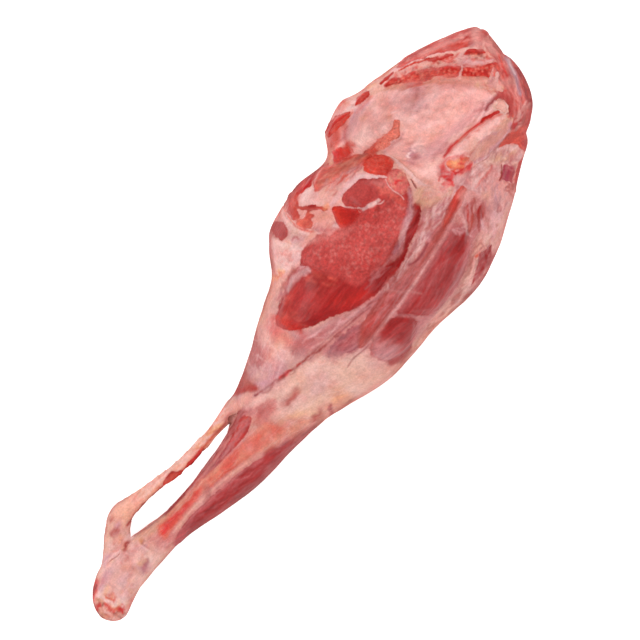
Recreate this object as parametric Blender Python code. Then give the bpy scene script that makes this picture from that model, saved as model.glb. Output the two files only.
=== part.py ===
"""Raw leg of lamb with the chump on, lying on its outer side with the inner side up.

X runs along the leg from the sawn hock to the chump, Y across it from the shin and knee
to the heel side, and Z up. The origin is under the middle of the leg, on the surface
that it lies on. Lengths in the tables are millimetres from the sawn end of the hock and
from the leg's own middle line.
"""

import math
from dataclasses import dataclass

import bmesh
import bpy
import numpy as np
from mathutils import Vector

MM = 0.001
LENGTH = 500.0
RING_STEP = 3.0
RING_POINTS = 130
OUTLINE_STEPS = 720
END_RINGS = 5
END_CROWDING = 1.6
TENDON_RING_POINTS = 24
TENDON_STEP = 3.0
FACETS = 9600

# The two edges of the leg seen from above, as (distance along the leg, distance across).
HEEL_EDGE = (
    (0, 20), (3, 27), (10, 34), (30, 40), (45, 40), (60, 34), (75, 28), (92, 22), (120, 18),
    (160, 16.5), (174, 18), (186, 27), (200, 30), (220, 35), (250, 44), (270, 50), (284, 61),
    (300, 70), (330, 71), (360, 63), (367, 65), (376, 74), (400, 77), (412, 70.5), (450, 56),
    (480, 39), (492, 30), (500, 22.5),
)
SHIN_EDGE = (
    (0, 17), (3, 10), (10, 5), (30, 8), (60, 4.5), (80, 1), (110, -11), (140, -22), (180, -30),
    (200, -35), (260, -61), (280, -64), (300, -66.5), (350, -77), (375, -74), (400, -67),
    (450, -51), (472, -40), (482, -31), (490, -17), (494, -4), (497, 5), (500, 13),
)
# Heights above the table: the highest line, and the under side before it is pressed flat.
TOP = (
    (0, 22), (4, 28), (15, 31), (45, 33), (62, 33), (90, 31), (120, 38), (160, 48), (200, 60),
    (240, 75), (290, 92), (340, 98), (375, 96), (410, 89), (450, 83), (485, 76), (500, 66),
)
UNDER = (
    (0, 9), (5, 3), (15, -0.8), (40, -0.8), (60, 1), (90, 5), (140, 6), (190, 3), (240, -0.5),
    (300, -2.5), (420, -2.5), (450, 0), (480, 7), (500, 22),
)
# How much of the height lies below the widest line, and how boxy a cut across the leg is.
EDGE_SHARE_HEEL = ((0, 0.5), (150, 0.5), (260, 0.46), (330, 0.56), (400, 0.66), (500, 0.6))
EDGE_SHARE_SHIN = ((0, 0.5), (150, 0.5), (260, 0.44), (400, 0.42), (500, 0.45))
FULLNESS = ((0, 2.2), (150, 2.2), (260, 2.3), (340, 2.7), (400, 2.6), (500, 2.8))
UNDER_FULLNESS = ((0, 2.1), (200, 2.1), (330, 2.15), (500, 2.3))
# Where the highest line runs between the two edges, from 0 at the shin side to 1.
CREST_SHARE = ((0, 0.5), (150, 0.5), (250, 0.52), (340, 0.62), (410, 0.74), (470, 0.7), (500, 0.5))

# The heel bone and its tendon: (along, across, height, half width) at points on its line.
TENDON_LINE = (
    (24, 27, 15, 8.5), (44, 36, 16, 9.5), (60, 44, 17.5, 9.8), (69, 48, 19, 8.8),
    (80, 45.6, 21, 6.8), (100, 39.2, 24, 4.9), (120, 32.2, 26, 4.9), (140, 27.8, 28, 4.7),
    (160, 24.6, 30, 4.9), (176, 23.8, 32, 5.4), (192, 21.5, 34, 6.0),
)
TENDON_FLATTEN = 0.86

TABLE_BLOCK_DEPTH = 60.0
TABLE_BLOCK_LENGTH = 700.0

FLESH_COLOUR = (0.55, 0.16, 0.13, 1.0)
FLESH_ROUGHNESS = 0.42


@dataclass(frozen=True)
class Form:
    """A swelling or a hollow in the upper side, on an oval turned about Z."""

    name: str
    along: float
    across: float
    half_length: float
    half_width: float
    turn: float
    rise: float
    flat: float = 0.0

    def lift(self, x, y):
        """The height that it adds at points x, y: full inside, fading to nothing at the oval."""
        angle = math.radians(self.turn)
        u = ((x - self.along) * math.cos(angle) + (y - self.across) * math.sin(angle)) / self.half_length
        v = ((y - self.across) * math.cos(angle) - (x - self.along) * math.sin(angle)) / self.half_width
        reach = np.clip((1.0 - np.sqrt(u * u + v * v)) / (1.0 - self.flat), 0.0, 1.0)
        return self.rise * reach * reach * (3.0 - 2.0 * reach)


FORMS = (
    Form("pelvic hollow", 424, 22, 68, 38, -32, -38, 0.25),
    Form("hollow towards the tail", 393, 48, 30, 19, -20, -13, 0.1),
    Form("loin strip on the hip bone", 430, -15, 40, 13, -16, 8, 0.2),
    Form("flank hollow", 432, -38, 46, 20, -14, -14),
    Form("seam under the cut face", 336, -17, 54, 10, 3, -10),
    Form("end of the seam", 380, -14, 26, 16, -20, -14),
    Form("front thigh muscle", 338, -48, 58, 20, -3, 6, 0.2),
    Form("knee end muscle", 280, -46, 26, 16, 0, 5, 0.2),
    Form("long inner muscle", 318, -28, 66, 8, -2, 4),
    Form("calf head", 264, -21, 24, 12, -22, 4),
    Form("back thigh muscle", 268, 20, 36, 20, 8, 3),
    Form("fat knob", 298, 57, 20, 17, -20, 5, 0.2),
    Form("shin bone", 126, 7, 62, 7, -13, 3),
    Form("ankle bone", 54, 18, 12, 10, 0, 4, 0.2),
    Form("hollow above the ankle", 70, 14, 14, 10, -10, -2),
)


def through(stations, x):
    """Values at x of the smooth curve through the stations, with no overshoot between them."""
    px, py = np.array(stations, float).T
    step = np.diff(px)
    slope = np.diff(py) / step
    w1 = 2 * step[1:] + step[:-1]
    w2 = step[1:] + 2 * step[:-1]
    same_way = slope[:-1] * slope[1:] > 0
    blend = np.divide(
        (w1 + w2) * slope[:-1] * slope[1:],
        w1 * slope[1:] + w2 * slope[:-1],
        out=np.zeros_like(w1),
        where=same_way,
    )
    tangent = np.concatenate([slope[:1], blend, slope[-1:]])
    i = np.clip(np.searchsorted(px, x, side="right") - 1, 0, len(step) - 1)
    t = (x - px[i]) / step[i]
    return (
        py[i] * (1 + 2 * t) * (1 - t) ** 2
        + tangent[i] * step[i] * t * (1 - t) ** 2
        + py[i + 1] * t * t * (3 - 2 * t)
        + tangent[i + 1] * step[i] * t * t * (t - 1)
    )


def ring_places():
    """Distances along the leg of its rings: evenly spaced, and closer at the two ends."""
    inner = np.linspace(RING_STEP, LENGTH - RING_STEP, round(LENGTH / RING_STEP) - 1)
    closing = RING_STEP * (np.arange(END_RINGS) / END_RINGS) ** END_CROWDING
    return np.concatenate([closing, inner, (LENGTH - closing)[::-1]])


def evenly(points, count):
    """The closed outline as count points evenly spaced along it."""
    loop = np.vstack([points, points[:1]])
    run = np.concatenate([[0.0], np.cumsum(np.linalg.norm(np.diff(loop, axis=0), axis=1))])
    at = np.linspace(0.0, run[-1], count, endpoint=False)
    return np.stack([np.interp(at, run, loop[:, k]) for k in range(loop.shape[1])], axis=1)


def cut_across(x):
    """The outline of a cut across the leg at x, as rows of (across, height, how far it faces up)."""
    heel, shin = through(HEEL_EDGE, x), through(SHIN_EDGE, x)
    top, under = through(TOP, x), through(UNDER, x)
    crest = shin + (heel - shin) * through(CREST_SHARE, x)
    turn = np.linspace(0.0, 2.0 * math.pi, OUTLINE_STEPS, endpoint=False)
    outward, upward = np.cos(turn), np.sin(turn)
    power = 2.0 / np.where(upward > 0, through(FULLNESS, x), through(UNDER_FULLNESS, x))
    reach = np.where(outward > 0, heel - crest, crest - shin)
    across = crest + reach * np.sign(outward) * abs(outward) ** power
    side = (across - shin) / (heel - shin)
    share = through(EDGE_SHARE_SHIN, x) * (1 - side) + through(EDGE_SHARE_HEEL, x) * side
    edge = under + (top - under) * share
    rise = abs(upward) ** power
    height = np.where(upward > 0, edge + (top - edge) * rise, edge - (edge - under) * rise)
    upper = np.sqrt(np.clip(upward, 0.0, 1.0))
    return evenly(np.stack([across, height, upper], axis=1), RING_POINTS)


def body_rings():
    """Rings of points round the leg, in millimetres, with the forms raised and sunk in them."""
    rings = []
    for x in ring_places():
        across, height, upper = cut_across(np.float64(x)).T
        for form in FORMS:
            height = height + upper * form.lift(x, across)
        rings.append(np.stack([np.full_like(across, x), across, height], axis=1))
    return rings


def tendon_rings():
    """Rings round the line of the heel bone and its tendon, in millimetres."""
    line = np.array(TENDON_LINE, float)
    rings = []
    turn = np.linspace(0.0, 2.0 * math.pi, TENDON_RING_POINTS, endpoint=False)
    for x in np.arange(line[0, 0], line[-1, 0] + 0.1, TENDON_STEP):
        across, height, radius = (through(line[:, [0, k]], np.float64(x)) for k in (1, 2, 3))
        ahead = through(line[:, [0, 1]], np.float64(min(x + 1.0, line[-1, 0])))
        behind = through(line[:, [0, 1]], np.float64(max(x - 1.0, line[0, 0])))
        direction = Vector((2.0, float(ahead - behind), 0.0)).normalized()
        sideways = np.array((-direction.y, direction.x, 0.0))
        ring = np.array((x, across, height)) + radius * (
            np.cos(turn)[:, None] * sideways
            + TENDON_FLATTEN * np.sin(turn)[:, None] * np.array((0.0, 0.0, 1.0))
        )
        rings.append(ring)
    return rings


def lofted(name, rings):
    """A closed mesh object with a skin of four-sided faces through the rings."""
    mesh = bmesh.new()
    origin = np.array((LENGTH / 2, 0.0, 0.0))
    loops = [[mesh.verts.new((point - origin) * MM) for point in ring] for ring in rings]
    for first, second in zip(loops, loops[1:]):
        for i in range(len(first)):
            j = (i + 1) % len(first)
            mesh.faces.new((first[i], first[j], second[j], second[i]))
    mesh.faces.new(reversed(loops[0]))
    mesh.faces.new(loops[-1])
    bmesh.ops.recalc_face_normals(mesh, faces=mesh.faces)
    data = bpy.data.meshes.new(name)
    mesh.to_mesh(data)
    mesh.free()
    data.shade_smooth()
    obj = bpy.data.objects.new(name, data)
    bpy.context.scene.collection.objects.link(obj)
    return obj


def as_cutter(obj):
    """Marks a helper that a Boolean uses, so that it isn't part of the leg."""
    obj.hide_render = True
    obj.display_type = "WIRE"
    return obj


def table_block():
    """A block below the table's surface, which presses the under side flat."""
    depth = TABLE_BLOCK_DEPTH * MM
    bpy.ops.mesh.primitive_cube_add(size=1.0, location=(0.0, 0.0, -depth / 2))
    block = bpy.context.object
    block.name = "table_block"
    block.scale = (TABLE_BLOCK_LENGTH * MM, TABLE_BLOCK_LENGTH * MM, depth)
    return as_cutter(block)


def boolean(obj, operation, other):
    """Adds a Boolean of obj with another mesh."""
    modifier = obj.modifiers.new(other.name, "BOOLEAN")
    modifier.operation = operation
    modifier.solver = "EXACT"
    modifier.object = other


def reduce_facets(obj):
    """Keeps about FACETS triangles, the most of them where the surface curves the most."""
    bpy.context.view_layer.update()
    graph = bpy.context.evaluated_depsgraph_get()
    mesh = obj.evaluated_get(graph).to_mesh()
    mesh.calc_loop_triangles()
    count = len(mesh.loop_triangles)
    modifier = obj.modifiers.new("fewer_facets", "DECIMATE")
    modifier.ratio = min(1.0, FACETS / count)
    modifier.use_collapse_triangulate = True


def flesh_material():
    """Plain moist red flesh."""
    material = bpy.data.materials.new("flesh")
    material.use_nodes = True
    shader = material.node_tree.nodes["Principled BSDF"]
    shader.inputs["Base Color"].default_value = FLESH_COLOUR
    shader.inputs["Roughness"].default_value = FLESH_ROUGHNESS
    shader.inputs["Metallic"].default_value = 0.0
    return material


def main():
    """Clears the scene and makes the leg."""
    for obj in list(bpy.data.objects):
        bpy.data.objects.remove(obj)
    leg = lofted("leg_of_lamb", body_rings())
    leg.data.materials.append(flesh_material())
    tendon = as_cutter(lofted("heel_and_tendon", tendon_rings()))
    boolean(leg, "UNION", tendon)
    reduce_facets(leg)
    boolean(leg, "DIFFERENCE", table_block())


main()
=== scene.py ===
"""Looks of a raw leg of lamb: the moist surface of its muscles, fat, membranes and bone.

The leg lies on its outer side. Its tissues are named by outlines seen from above, in
millimetres: X from the sawn hock towards the chump, Y from the leg's middle line towards
the heel. On the walls, Y gives way to the height above the table.
"""

import logging
import math
from dataclasses import dataclass, field
from enum import Enum
from typing import Callable, Dict, List, Optional, Sequence, Tuple, Union

import bpy
import numpy as np
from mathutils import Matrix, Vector


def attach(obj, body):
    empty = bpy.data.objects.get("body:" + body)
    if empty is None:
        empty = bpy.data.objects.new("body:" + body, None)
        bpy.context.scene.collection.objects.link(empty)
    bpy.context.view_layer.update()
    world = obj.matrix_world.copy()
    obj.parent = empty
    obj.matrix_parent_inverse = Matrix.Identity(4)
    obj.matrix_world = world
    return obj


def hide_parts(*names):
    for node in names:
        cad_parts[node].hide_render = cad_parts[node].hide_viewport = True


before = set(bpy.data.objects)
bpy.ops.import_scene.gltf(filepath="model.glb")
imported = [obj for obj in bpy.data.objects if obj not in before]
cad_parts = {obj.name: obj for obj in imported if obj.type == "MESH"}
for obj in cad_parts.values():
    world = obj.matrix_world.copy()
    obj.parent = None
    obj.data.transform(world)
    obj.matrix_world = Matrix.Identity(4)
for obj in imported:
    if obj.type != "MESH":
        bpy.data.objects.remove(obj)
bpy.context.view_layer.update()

MM = 0.001
NODE = "leg_of_lamb"
BODY = "root"
HALF_LENGTH = 250.0
SHEEN_WHITE = 0.027
BRIGHTNESS = 1.25
COARSE = 0.4

Point = Tuple[float, ...]
Colour = Tuple[float, float, float]
log = logging.getLogger("leg_of_lamb")


# --- small tools ------------------------------------------------------------------------


def smooth(value: np.ndarray, low: float = 0.0, high: float = 1.0) -> np.ndarray:
    """An S-shaped step from 0 at low to 1 at high."""
    t = np.clip((value - low) / (high - low), 0.0, 1.0)
    return t * t * (3.0 - 2.0 * t)


def blend(a: np.ndarray, b: Union[np.ndarray, float, Colour], share: np.ndarray) -> np.ndarray:
    """a where share is 0 and b where it is 1, for values or for colours.

    Args:
        a: Rows of values or colours.
        b: The value or colour to bring them towards.
        share: How far, for each row.

    Returns:
        The mixed rows.
    """
    if a.ndim == 2:
        share = share[:, None]
    return a * (1.0 - share) + np.asarray(b, float) * share


@dataclass(frozen=True)
class Unevenness:
    """Seeded smooth noise in space, the same on every run."""

    seed: int = 1

    def _corner(self, cell: np.ndarray) -> np.ndarray:
        """A number from 0 to 1 for each whole-numbered corner.

        Args:
            cell: Rows of whole x, y, z.

        Returns:
            The numbers.
        """
        x, y, z = (cell[:, k].astype(np.uint64) for k in range(3))
        mixed = x * np.uint64(374761393) + y * np.uint64(668265263) + z * np.uint64(2246822519)
        mixed = (mixed + np.uint64(self.seed * 3266489917)) & np.uint64(0xFFFFFFFF)
        mixed = ((mixed ^ (mixed >> np.uint64(13))) * np.uint64(1274126177)) & np.uint64(0xFFFFFFFF)
        mixed ^= mixed >> np.uint64(16)
        return mixed.astype(float) / 0xFFFFFFFF

    def at(self, points: np.ndarray, size: float, octaves: int = 1) -> np.ndarray:
        """The noise at some points.

        Args:
            points: Rows of x, y, z.
            size: The length of the largest lumps, in the units of the points.
            octaves: How many finer layers to add, each half as large and half as strong.

        Returns:
            Values from about -1 to 1.
        """
        total, weight, strength = np.zeros(len(points)), 0.0, 1.0
        for octave in range(octaves):
            scaled = points / size * 2.0**octave + 1000.0 + 17.0 * octave
            cell = np.floor(scaled)
            part = smooth(scaled - cell)
            value = np.zeros(len(points))
            for corner in range(8):
                step = np.array([corner & 1, corner >> 1 & 1, corner >> 2 & 1], float)
                share = np.prod(np.where(step == 1.0, part, 1.0 - part), axis=1)
                value += share * self._corner(cell + step)
            total += strength * (2.0 * value - 1.0)
            weight += strength
            strength *= 0.5
        return total / weight


# --- outlines ---------------------------------------------------------------------------


def rounded(points: np.ndarray, closed: bool, steps: int = 4) -> np.ndarray:
    """A smooth curve through the points, with steps points on each stretch.

    Args:
        points: Rows of x, y and any more values.
        closed: Whether the last point joins the first.
        steps: How many points each stretch gets.

    Returns:
        Rows along the curve.
    """
    count = len(points)
    if closed:
        before, after, far = (np.roll(points, -k, axis=0) for k in (-1, 1, 2))
        spans = count
    else:
        ends = np.vstack([2 * points[:1] - points[1:2], points, 2 * points[-1:] - points[-2:-1]])
        before, after, far = ends[:-3], ends[2:-1], ends[3:]
        points, spans = ends[1:-2], count - 1
    t = (np.arange(steps) / steps)[None, :, None]
    p0, p1, p2, p3 = (p[:spans, None, :] for p in (before, points, after, far))
    curve = 0.5 * (
        2 * p1 + (p2 - p0) * t + (2 * p0 - 5 * p1 + 4 * p2 - p3) * t**2
        + (3 * p1 - p0 - 3 * p2 + p3) * t**3
    )
    curve = curve.reshape(-1, points.shape[1])
    return curve if closed else np.vstack([curve, p2[-1]])


def to_segments(places: np.ndarray, start: np.ndarray, end: np.ndarray) -> Tuple[np.ndarray, np.ndarray]:
    """For each place, its distance to the nearest stretch, and which share of all the way that is.

    Args:
        places: Rows of x, y.
        start: The first end of each straight stretch.
        end: The second end of each straight stretch.

    Returns:
        The distances, and positions as stretch number plus share along that stretch.
    """
    best = np.full(len(places), np.inf)
    where = np.zeros(len(places))
    for k, (a, b) in enumerate(zip(start, end)):
        way = b - a
        share = np.clip(((places - a) @ way) / max(way @ way, 1e-9), 0.0, 1.0)
        distance = np.hypot(*(places - a - share[:, None] * way).T)
        nearer = distance < best
        best[nearer] = distance[nearer]
        where[nearer] = (k + share)[nearer]
    return best, where


@dataclass(frozen=True)
class Outline:
    """A closed rounded outline, seen from above or on a wall, in millimetres."""

    points: Tuple[Point, ...]

    def depth(self, places: np.ndarray, margin: float) -> np.ndarray:
        """How far inside the outline each place lies, and down to -margin outside it.

        Args:
            places: Rows of x, y, in millimetres.
            margin: How far outside still counts.

        Returns:
            The depths, in millimetres.
        """
        loop = rounded(np.array(self.points, float), closed=True)
        low, high = loop.min(axis=0) - margin, loop.max(axis=0) + margin
        near = np.all((places > low) & (places < high), axis=1)
        depth = np.full(len(places), -margin)
        if near.any():
            spot, start, end = places[near], loop, np.roll(loop, -1, axis=0)
            distance, _ = to_segments(spot, start, end)
            inside = np.zeros(len(spot), bool)
            for a, b in zip(start, end):
                if a[1] != b[1]:
                    crosses = (a[1] > spot[:, 1]) != (b[1] > spot[:, 1])
                    cut = a[0] + (spot[:, 1] - a[1]) * (b[0] - a[0]) / (b[1] - a[1])
                    inside ^= crosses & (spot[:, 0] < cut)
            depth[near] = np.maximum(np.where(inside, distance, -distance), -margin)
        return depth

    def middle(self) -> Point:
        """The mean of the outline's points."""
        return tuple(np.mean(np.array(self.points, float), axis=0)[:2])


@dataclass(frozen=True)
class Stroke:
    """A line of changing width: rows of (x, y, half width) in millimetres."""

    points: Tuple[Point, ...]

    def depth(self, places: np.ndarray, margin: float) -> np.ndarray:
        """How far inside the stroke each place lies, and down to -margin outside it.

        Args:
            places: Rows of x, y, in millimetres.
            margin: How far outside still counts.

        Returns:
            The depths, in millimetres.
        """
        line = rounded(np.array(self.points, float), closed=False)
        reach = margin + line[:, 2].max()
        low, high = line[:, :2].min(axis=0) - reach, line[:, :2].max(axis=0) + reach
        near = np.all((places > low) & (places < high), axis=1)
        depth = np.full(len(places), -margin)
        if near.any():
            distance, where = to_segments(places[near], line[:-1, :2], line[1:, :2])
            width = np.interp(where, np.arange(len(line)), line[:, 2])
            depth[near] = np.maximum(width - distance, -margin)
        return depth

    def middle(self) -> Point:
        """The mean of the line's points."""
        return tuple(np.mean(np.array(self.points, float), axis=0)[:2])


# --- tissues ----------------------------------------------------------------------------


class Tone(Enum):
    """Colours of the tissues, as display red, green and blue from 0 to 255."""

    DARK = (168, 50, 34)
    DEEPEST = (162, 22, 20)
    CUT = (194, 75, 72)
    BROWN = (188, 77, 74)
    BRIGHT = (216, 72, 60)
    VIVID = (222, 64, 64)
    ORANGE_RED = (214, 85, 63)
    SALMON = (226, 99, 86)
    SHANK = (162, 42, 39)
    WEDGE = (177, 52, 44)
    COVERED = (167, 57, 57)
    MAUVE = (173, 80, 84)
    MAUVE_RED = (178, 84, 78)
    MAUVE_PINK = (199, 119, 119)
    FASCIA = (211, 132, 127)
    LILAC = (199, 141, 140)
    COOL_LILAC = (211, 150, 160)
    PALE_LILAC = (230, 168, 169)
    HOCK = (243, 195, 190)
    PINK = (233, 158, 150)
    PEACH = (220, 141, 121)
    TENDON = (247, 179, 158)
    GOLD = (247, 180, 128)
    CREAM = (237, 174, 161)
    CREAM_SHADE = (222, 161, 138)
    WHITE_FAT = (249, 201, 191)
    YELLOW_FAT = (237, 185, 152)
    LINING = (257, 194, 186)
    LINING_PALE = (275, 240, 232)
    CUT_BONE = (197, 56, 50)
    MARROW_RED = (219, 107, 102)
    OUTER_DARK = (176, 12, 16)
    FLANK_RED = (190, 44, 40)
    OUTER_RED = (214, 90, 83)
    GRANULAR_PINK = (245, 143, 125)
    MAROON = (153, 55, 51)
    VESSEL = (160, 73, 74)
    VEIN = (149, 67, 72)
    FLECK = (206, 51, 36)
    HOCK_TAN = (215, 144, 123)
    # Mauve of the hollow beside the ankle bone, as painted shade.
    ANKLE_SHADE = (172, 104, 118)
    MARROW = (206, 132, 92)
    # Dark red of the slot's inner end, darkened as painted shadow.
    POCKET_SHADE = (130, 52, 50)
    STRIP = (182, 98, 96)
    SHIN_RED = (224, 105, 91)
    SHIN_CORE = (218, 71, 61)
    ROSE = (222, 88, 99)
    MUSCLE_MAUVE = (191, 93, 95)
    BIG = (166, 42, 33)
    KNEE = (232, 181, 168)
    KNEE_RED = (202, 115, 111)
    KNEE_MAUVE = (193, 131, 130)
    CALF = (166, 96, 103)
    LONG = (180, 84, 79)
    SHEET = (192, 114, 115)
    PINK_END = (208, 133, 132)
    HAZE = (185, 103, 104)
    LINE = (210, 138, 134)
    END = (184, 81, 72)
    SIDE_FAT = (197, 139, 127)
    FLANK = (228, 168, 161)
    AITCH = (207, 85, 75)
    ROSE_FACE = (218, 128, 122)
    BACK_FAT = (229, 151, 143)
    YELLOW_CREAM = (238, 186, 158)
    FLANK_PALE = (223, 163, 161)
    BAND = (204, 84, 75)
    BAND_SALMON = (217, 105, 90)
    LOBE = (234, 177, 172)
    CRIMSON = (190, 35, 52)
    CRIMSON_MAUVE = (174, 67, 82)
    BAND_LILAC = (192, 145, 156)
    # Tan, used for some marks and for painted shade under rims, ridges and membranes.
    TAN = (226, 155, 138)
    LINING_WARM = (260, 198, 184)
    LINING_LILAC = (249, 194, 195)
    # Whitest pink, used mostly for painted highlights on the lining and the hip.
    LINING_WHITE_AND_HIGHLIGHT = (275, 237, 234)
    # Brown of a few marks, and painted shade along contours and under edges.
    BROWN_AND_SHADE = (151, 79, 72)
    ORANGE = (243, 147, 110)
    WHITE = (243, 197, 192)

    def linear(self) -> Colour:
        """The colour as scene-linear values, without the little white that the wet sheen adds.

        Returns:
            Red, green and blue from 0 to about 1.
        """
        values = (
            c / 12.92 if c <= 0.04045 else ((c + 0.055) / 1.055) ** 2.4
            for c in (part / 255.0 for part in self.value)
        )
        return tuple(max(value - SHEEN_WHITE, 0.006) / BRIGHTNESS for value in values)


class Tissue(Enum):
    """What a patch is made of, which says what it changes."""

    LEAN = "bare muscle"
    COVER = "fat, lining or sinew that hides the muscle"
    VEIL = "thin membrane that the muscle shows through"
    STAIN = "a change of colour only"
    SINEW = "a thin white line"
    # Also laid as painted shadow under edges and flaps.
    BLOOD = "dark wet blood"
    FORM = "relief only"


class Side(Enum):
    """The side of the leg that a patch lies on."""

    TOP = "inner side, seen from above"
    HEEL_WALL = "wall on the heel and tail side, by length and height"
    SHIN_WALL = "wall on the knee and flank side, by length and height"
    CHUMP_END = "sawn end of the chump, by width and height"
    UNDER = "outer side, seen from above"


@dataclass(frozen=True)
class Patch:
    """One stretch of tissue with its colour and its relief.

    edge is how softly it ends and rag how ragged that end is, in millimetres. rise lifts
    it, reaching its height over the distance crown inside its edge. turn is the direction
    of its fibres in degrees, and grain is 1 where they are cut across.
    """

    name: str
    tissue: Tissue
    shape: Union[Outline, Stroke]
    tone: Tone = Tone.CREAM
    strength: float = 1.0
    edge: float = 1.0
    rag: float = 0.35
    rise: float = 0.0
    crown: float = 3.0
    grain: Optional[float] = None
    turn: Optional[float] = None
    side: Side = Side.TOP


def pairs(numbers: Sequence[float]) -> Tuple[Point, ...]:
    """Numbers taken two by two."""
    return tuple(zip(numbers[::2], numbers[1::2]))


def patch(
    tissue: Tissue, name: str, tone: Tone, points: Sequence[float], width: float = 0.0, **looks: object
) -> Patch:
    """A patch on a line that thins towards its ends where it has a half width, or on an outline.

    Args:
        tissue: What kind of tissue it is.
        name: The patch's name.
        tone: Its colour.
        points: x and y in turn, along the line or round the outline.
        width: The half width of a line, or 0 for an outline.
        looks: Other values of the patch.

    Returns:
        The patch.
    """
    spots = pairs(points)
    if not width:
        return Patch(name, tissue, Outline(spots), tone, **looks)
    last = len(spots) - 1
    swell = [width * (0.4 + 0.6 * math.sin(math.pi * (0.5 + k) / (last + 1))) for k in range(last + 1)]
    stroke = Stroke(tuple((*spot, half) for spot, half in zip(spots, swell)))
    return Patch(name, tissue, stroke, tone, **looks)


def lean(name: str, tone: Tone, points: Sequence[float], **looks: object) -> Patch:
    """Bare muscle."""
    return patch(Tissue.LEAN, name, tone, points, **looks)


def cover(name: str, tone: Tone, points: Sequence[float], **looks: object) -> Patch:
    """Fat, lining or sinew over the muscle."""
    return patch(Tissue.COVER, name, tone, points, **looks)


def veil(name: str, tone: Tone, points: Sequence[float], strength: float, **looks: object) -> Patch:
    """Thin membrane over the muscle."""
    return patch(Tissue.VEIL, name, tone, points, strength=strength, **{"edge": 2.5, **looks})


def stain(name: str, tone: Tone, points: Sequence[float], strength: float, **looks: object) -> Patch:
    """A soft change of colour."""
    return patch(Tissue.STAIN, name, tone, points, strength=strength, **{"edge": 3.0, **looks})


def sinew(name: str, points: Sequence[float], strength: float = 1.0, **looks: object) -> Patch:
    """A thin white line of sinew."""
    return patch(Tissue.SINEW, name, Tone.WHITE, points, strength=strength, **{"edge": 0.9, **looks})


def blood(name: str, points: Sequence[float], strength: float = 1.0, **looks: object) -> Patch:
    """A dark wet line or spot of blood, also laid as painted shadow under edges and flaps."""
    return patch(Tissue.BLOOD, name, Tone.MAROON, points, strength=strength, **{"edge": 0.9, **looks})


def form(name: str, points: Sequence[float], rise: float, crown: float, **looks: object) -> Patch:
    """A swelling or a hollow with no colour of its own."""
    return patch(Tissue.FORM, name, Tone.CREAM, points, rise=rise, crown=crown, **looks)


def streaks(
    name: str, tone: Tone, area: Sequence[float], count: int, length: float, width: float, turn: float,
    strength: float, spread: float = 8.0, **looks: object,
) -> List[Patch]:
    """Many short lines strewn over an area.

    Args:
        name: The name that they share.
        tone: Their colour.
        area: The outline that they start in.
        count: How many.
        length: Their usual length.
        width: Their usual half width.
        turn: Their usual direction, in degrees.
        strength: How much they colour what is there.
        spread: How far they stray from that direction, in degrees.
        looks: Other values of each patch.

    Returns:
        The lines.
    """
    dice = np.random.default_rng(sum(name.encode()))
    ground = Outline(pairs(area))
    low, high = np.min(ground.points, axis=0), np.max(ground.points, axis=0)
    looks = {"strength": strength, "edge": 1.0, "rag": 0.05, **looks}
    lines: List[Patch] = []
    while len(lines) < count:
        start = dice.uniform(low, high)
        angle = math.radians(turn + dice.normal(0.0, spread))
        reach, bend = length * dice.uniform(0.4, 1.6), dice.normal(0.0, 0.12)
        half = width * dice.uniform(0.6, 1.5)
        if ground.depth(start[None, :], 1.0)[0] <= 0.0:
            continue
        along = np.array([math.cos(angle), math.sin(angle)]) * reach
        middle = start + along * 0.5 + np.array([-along[1], along[0]]) * bend
        points = [*start, *middle, *(start + along)]
        lines.append(patch(Tissue.STAIN, f"{name} {len(lines) + 1}", tone, points, half, **looks))
    return lines


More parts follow.
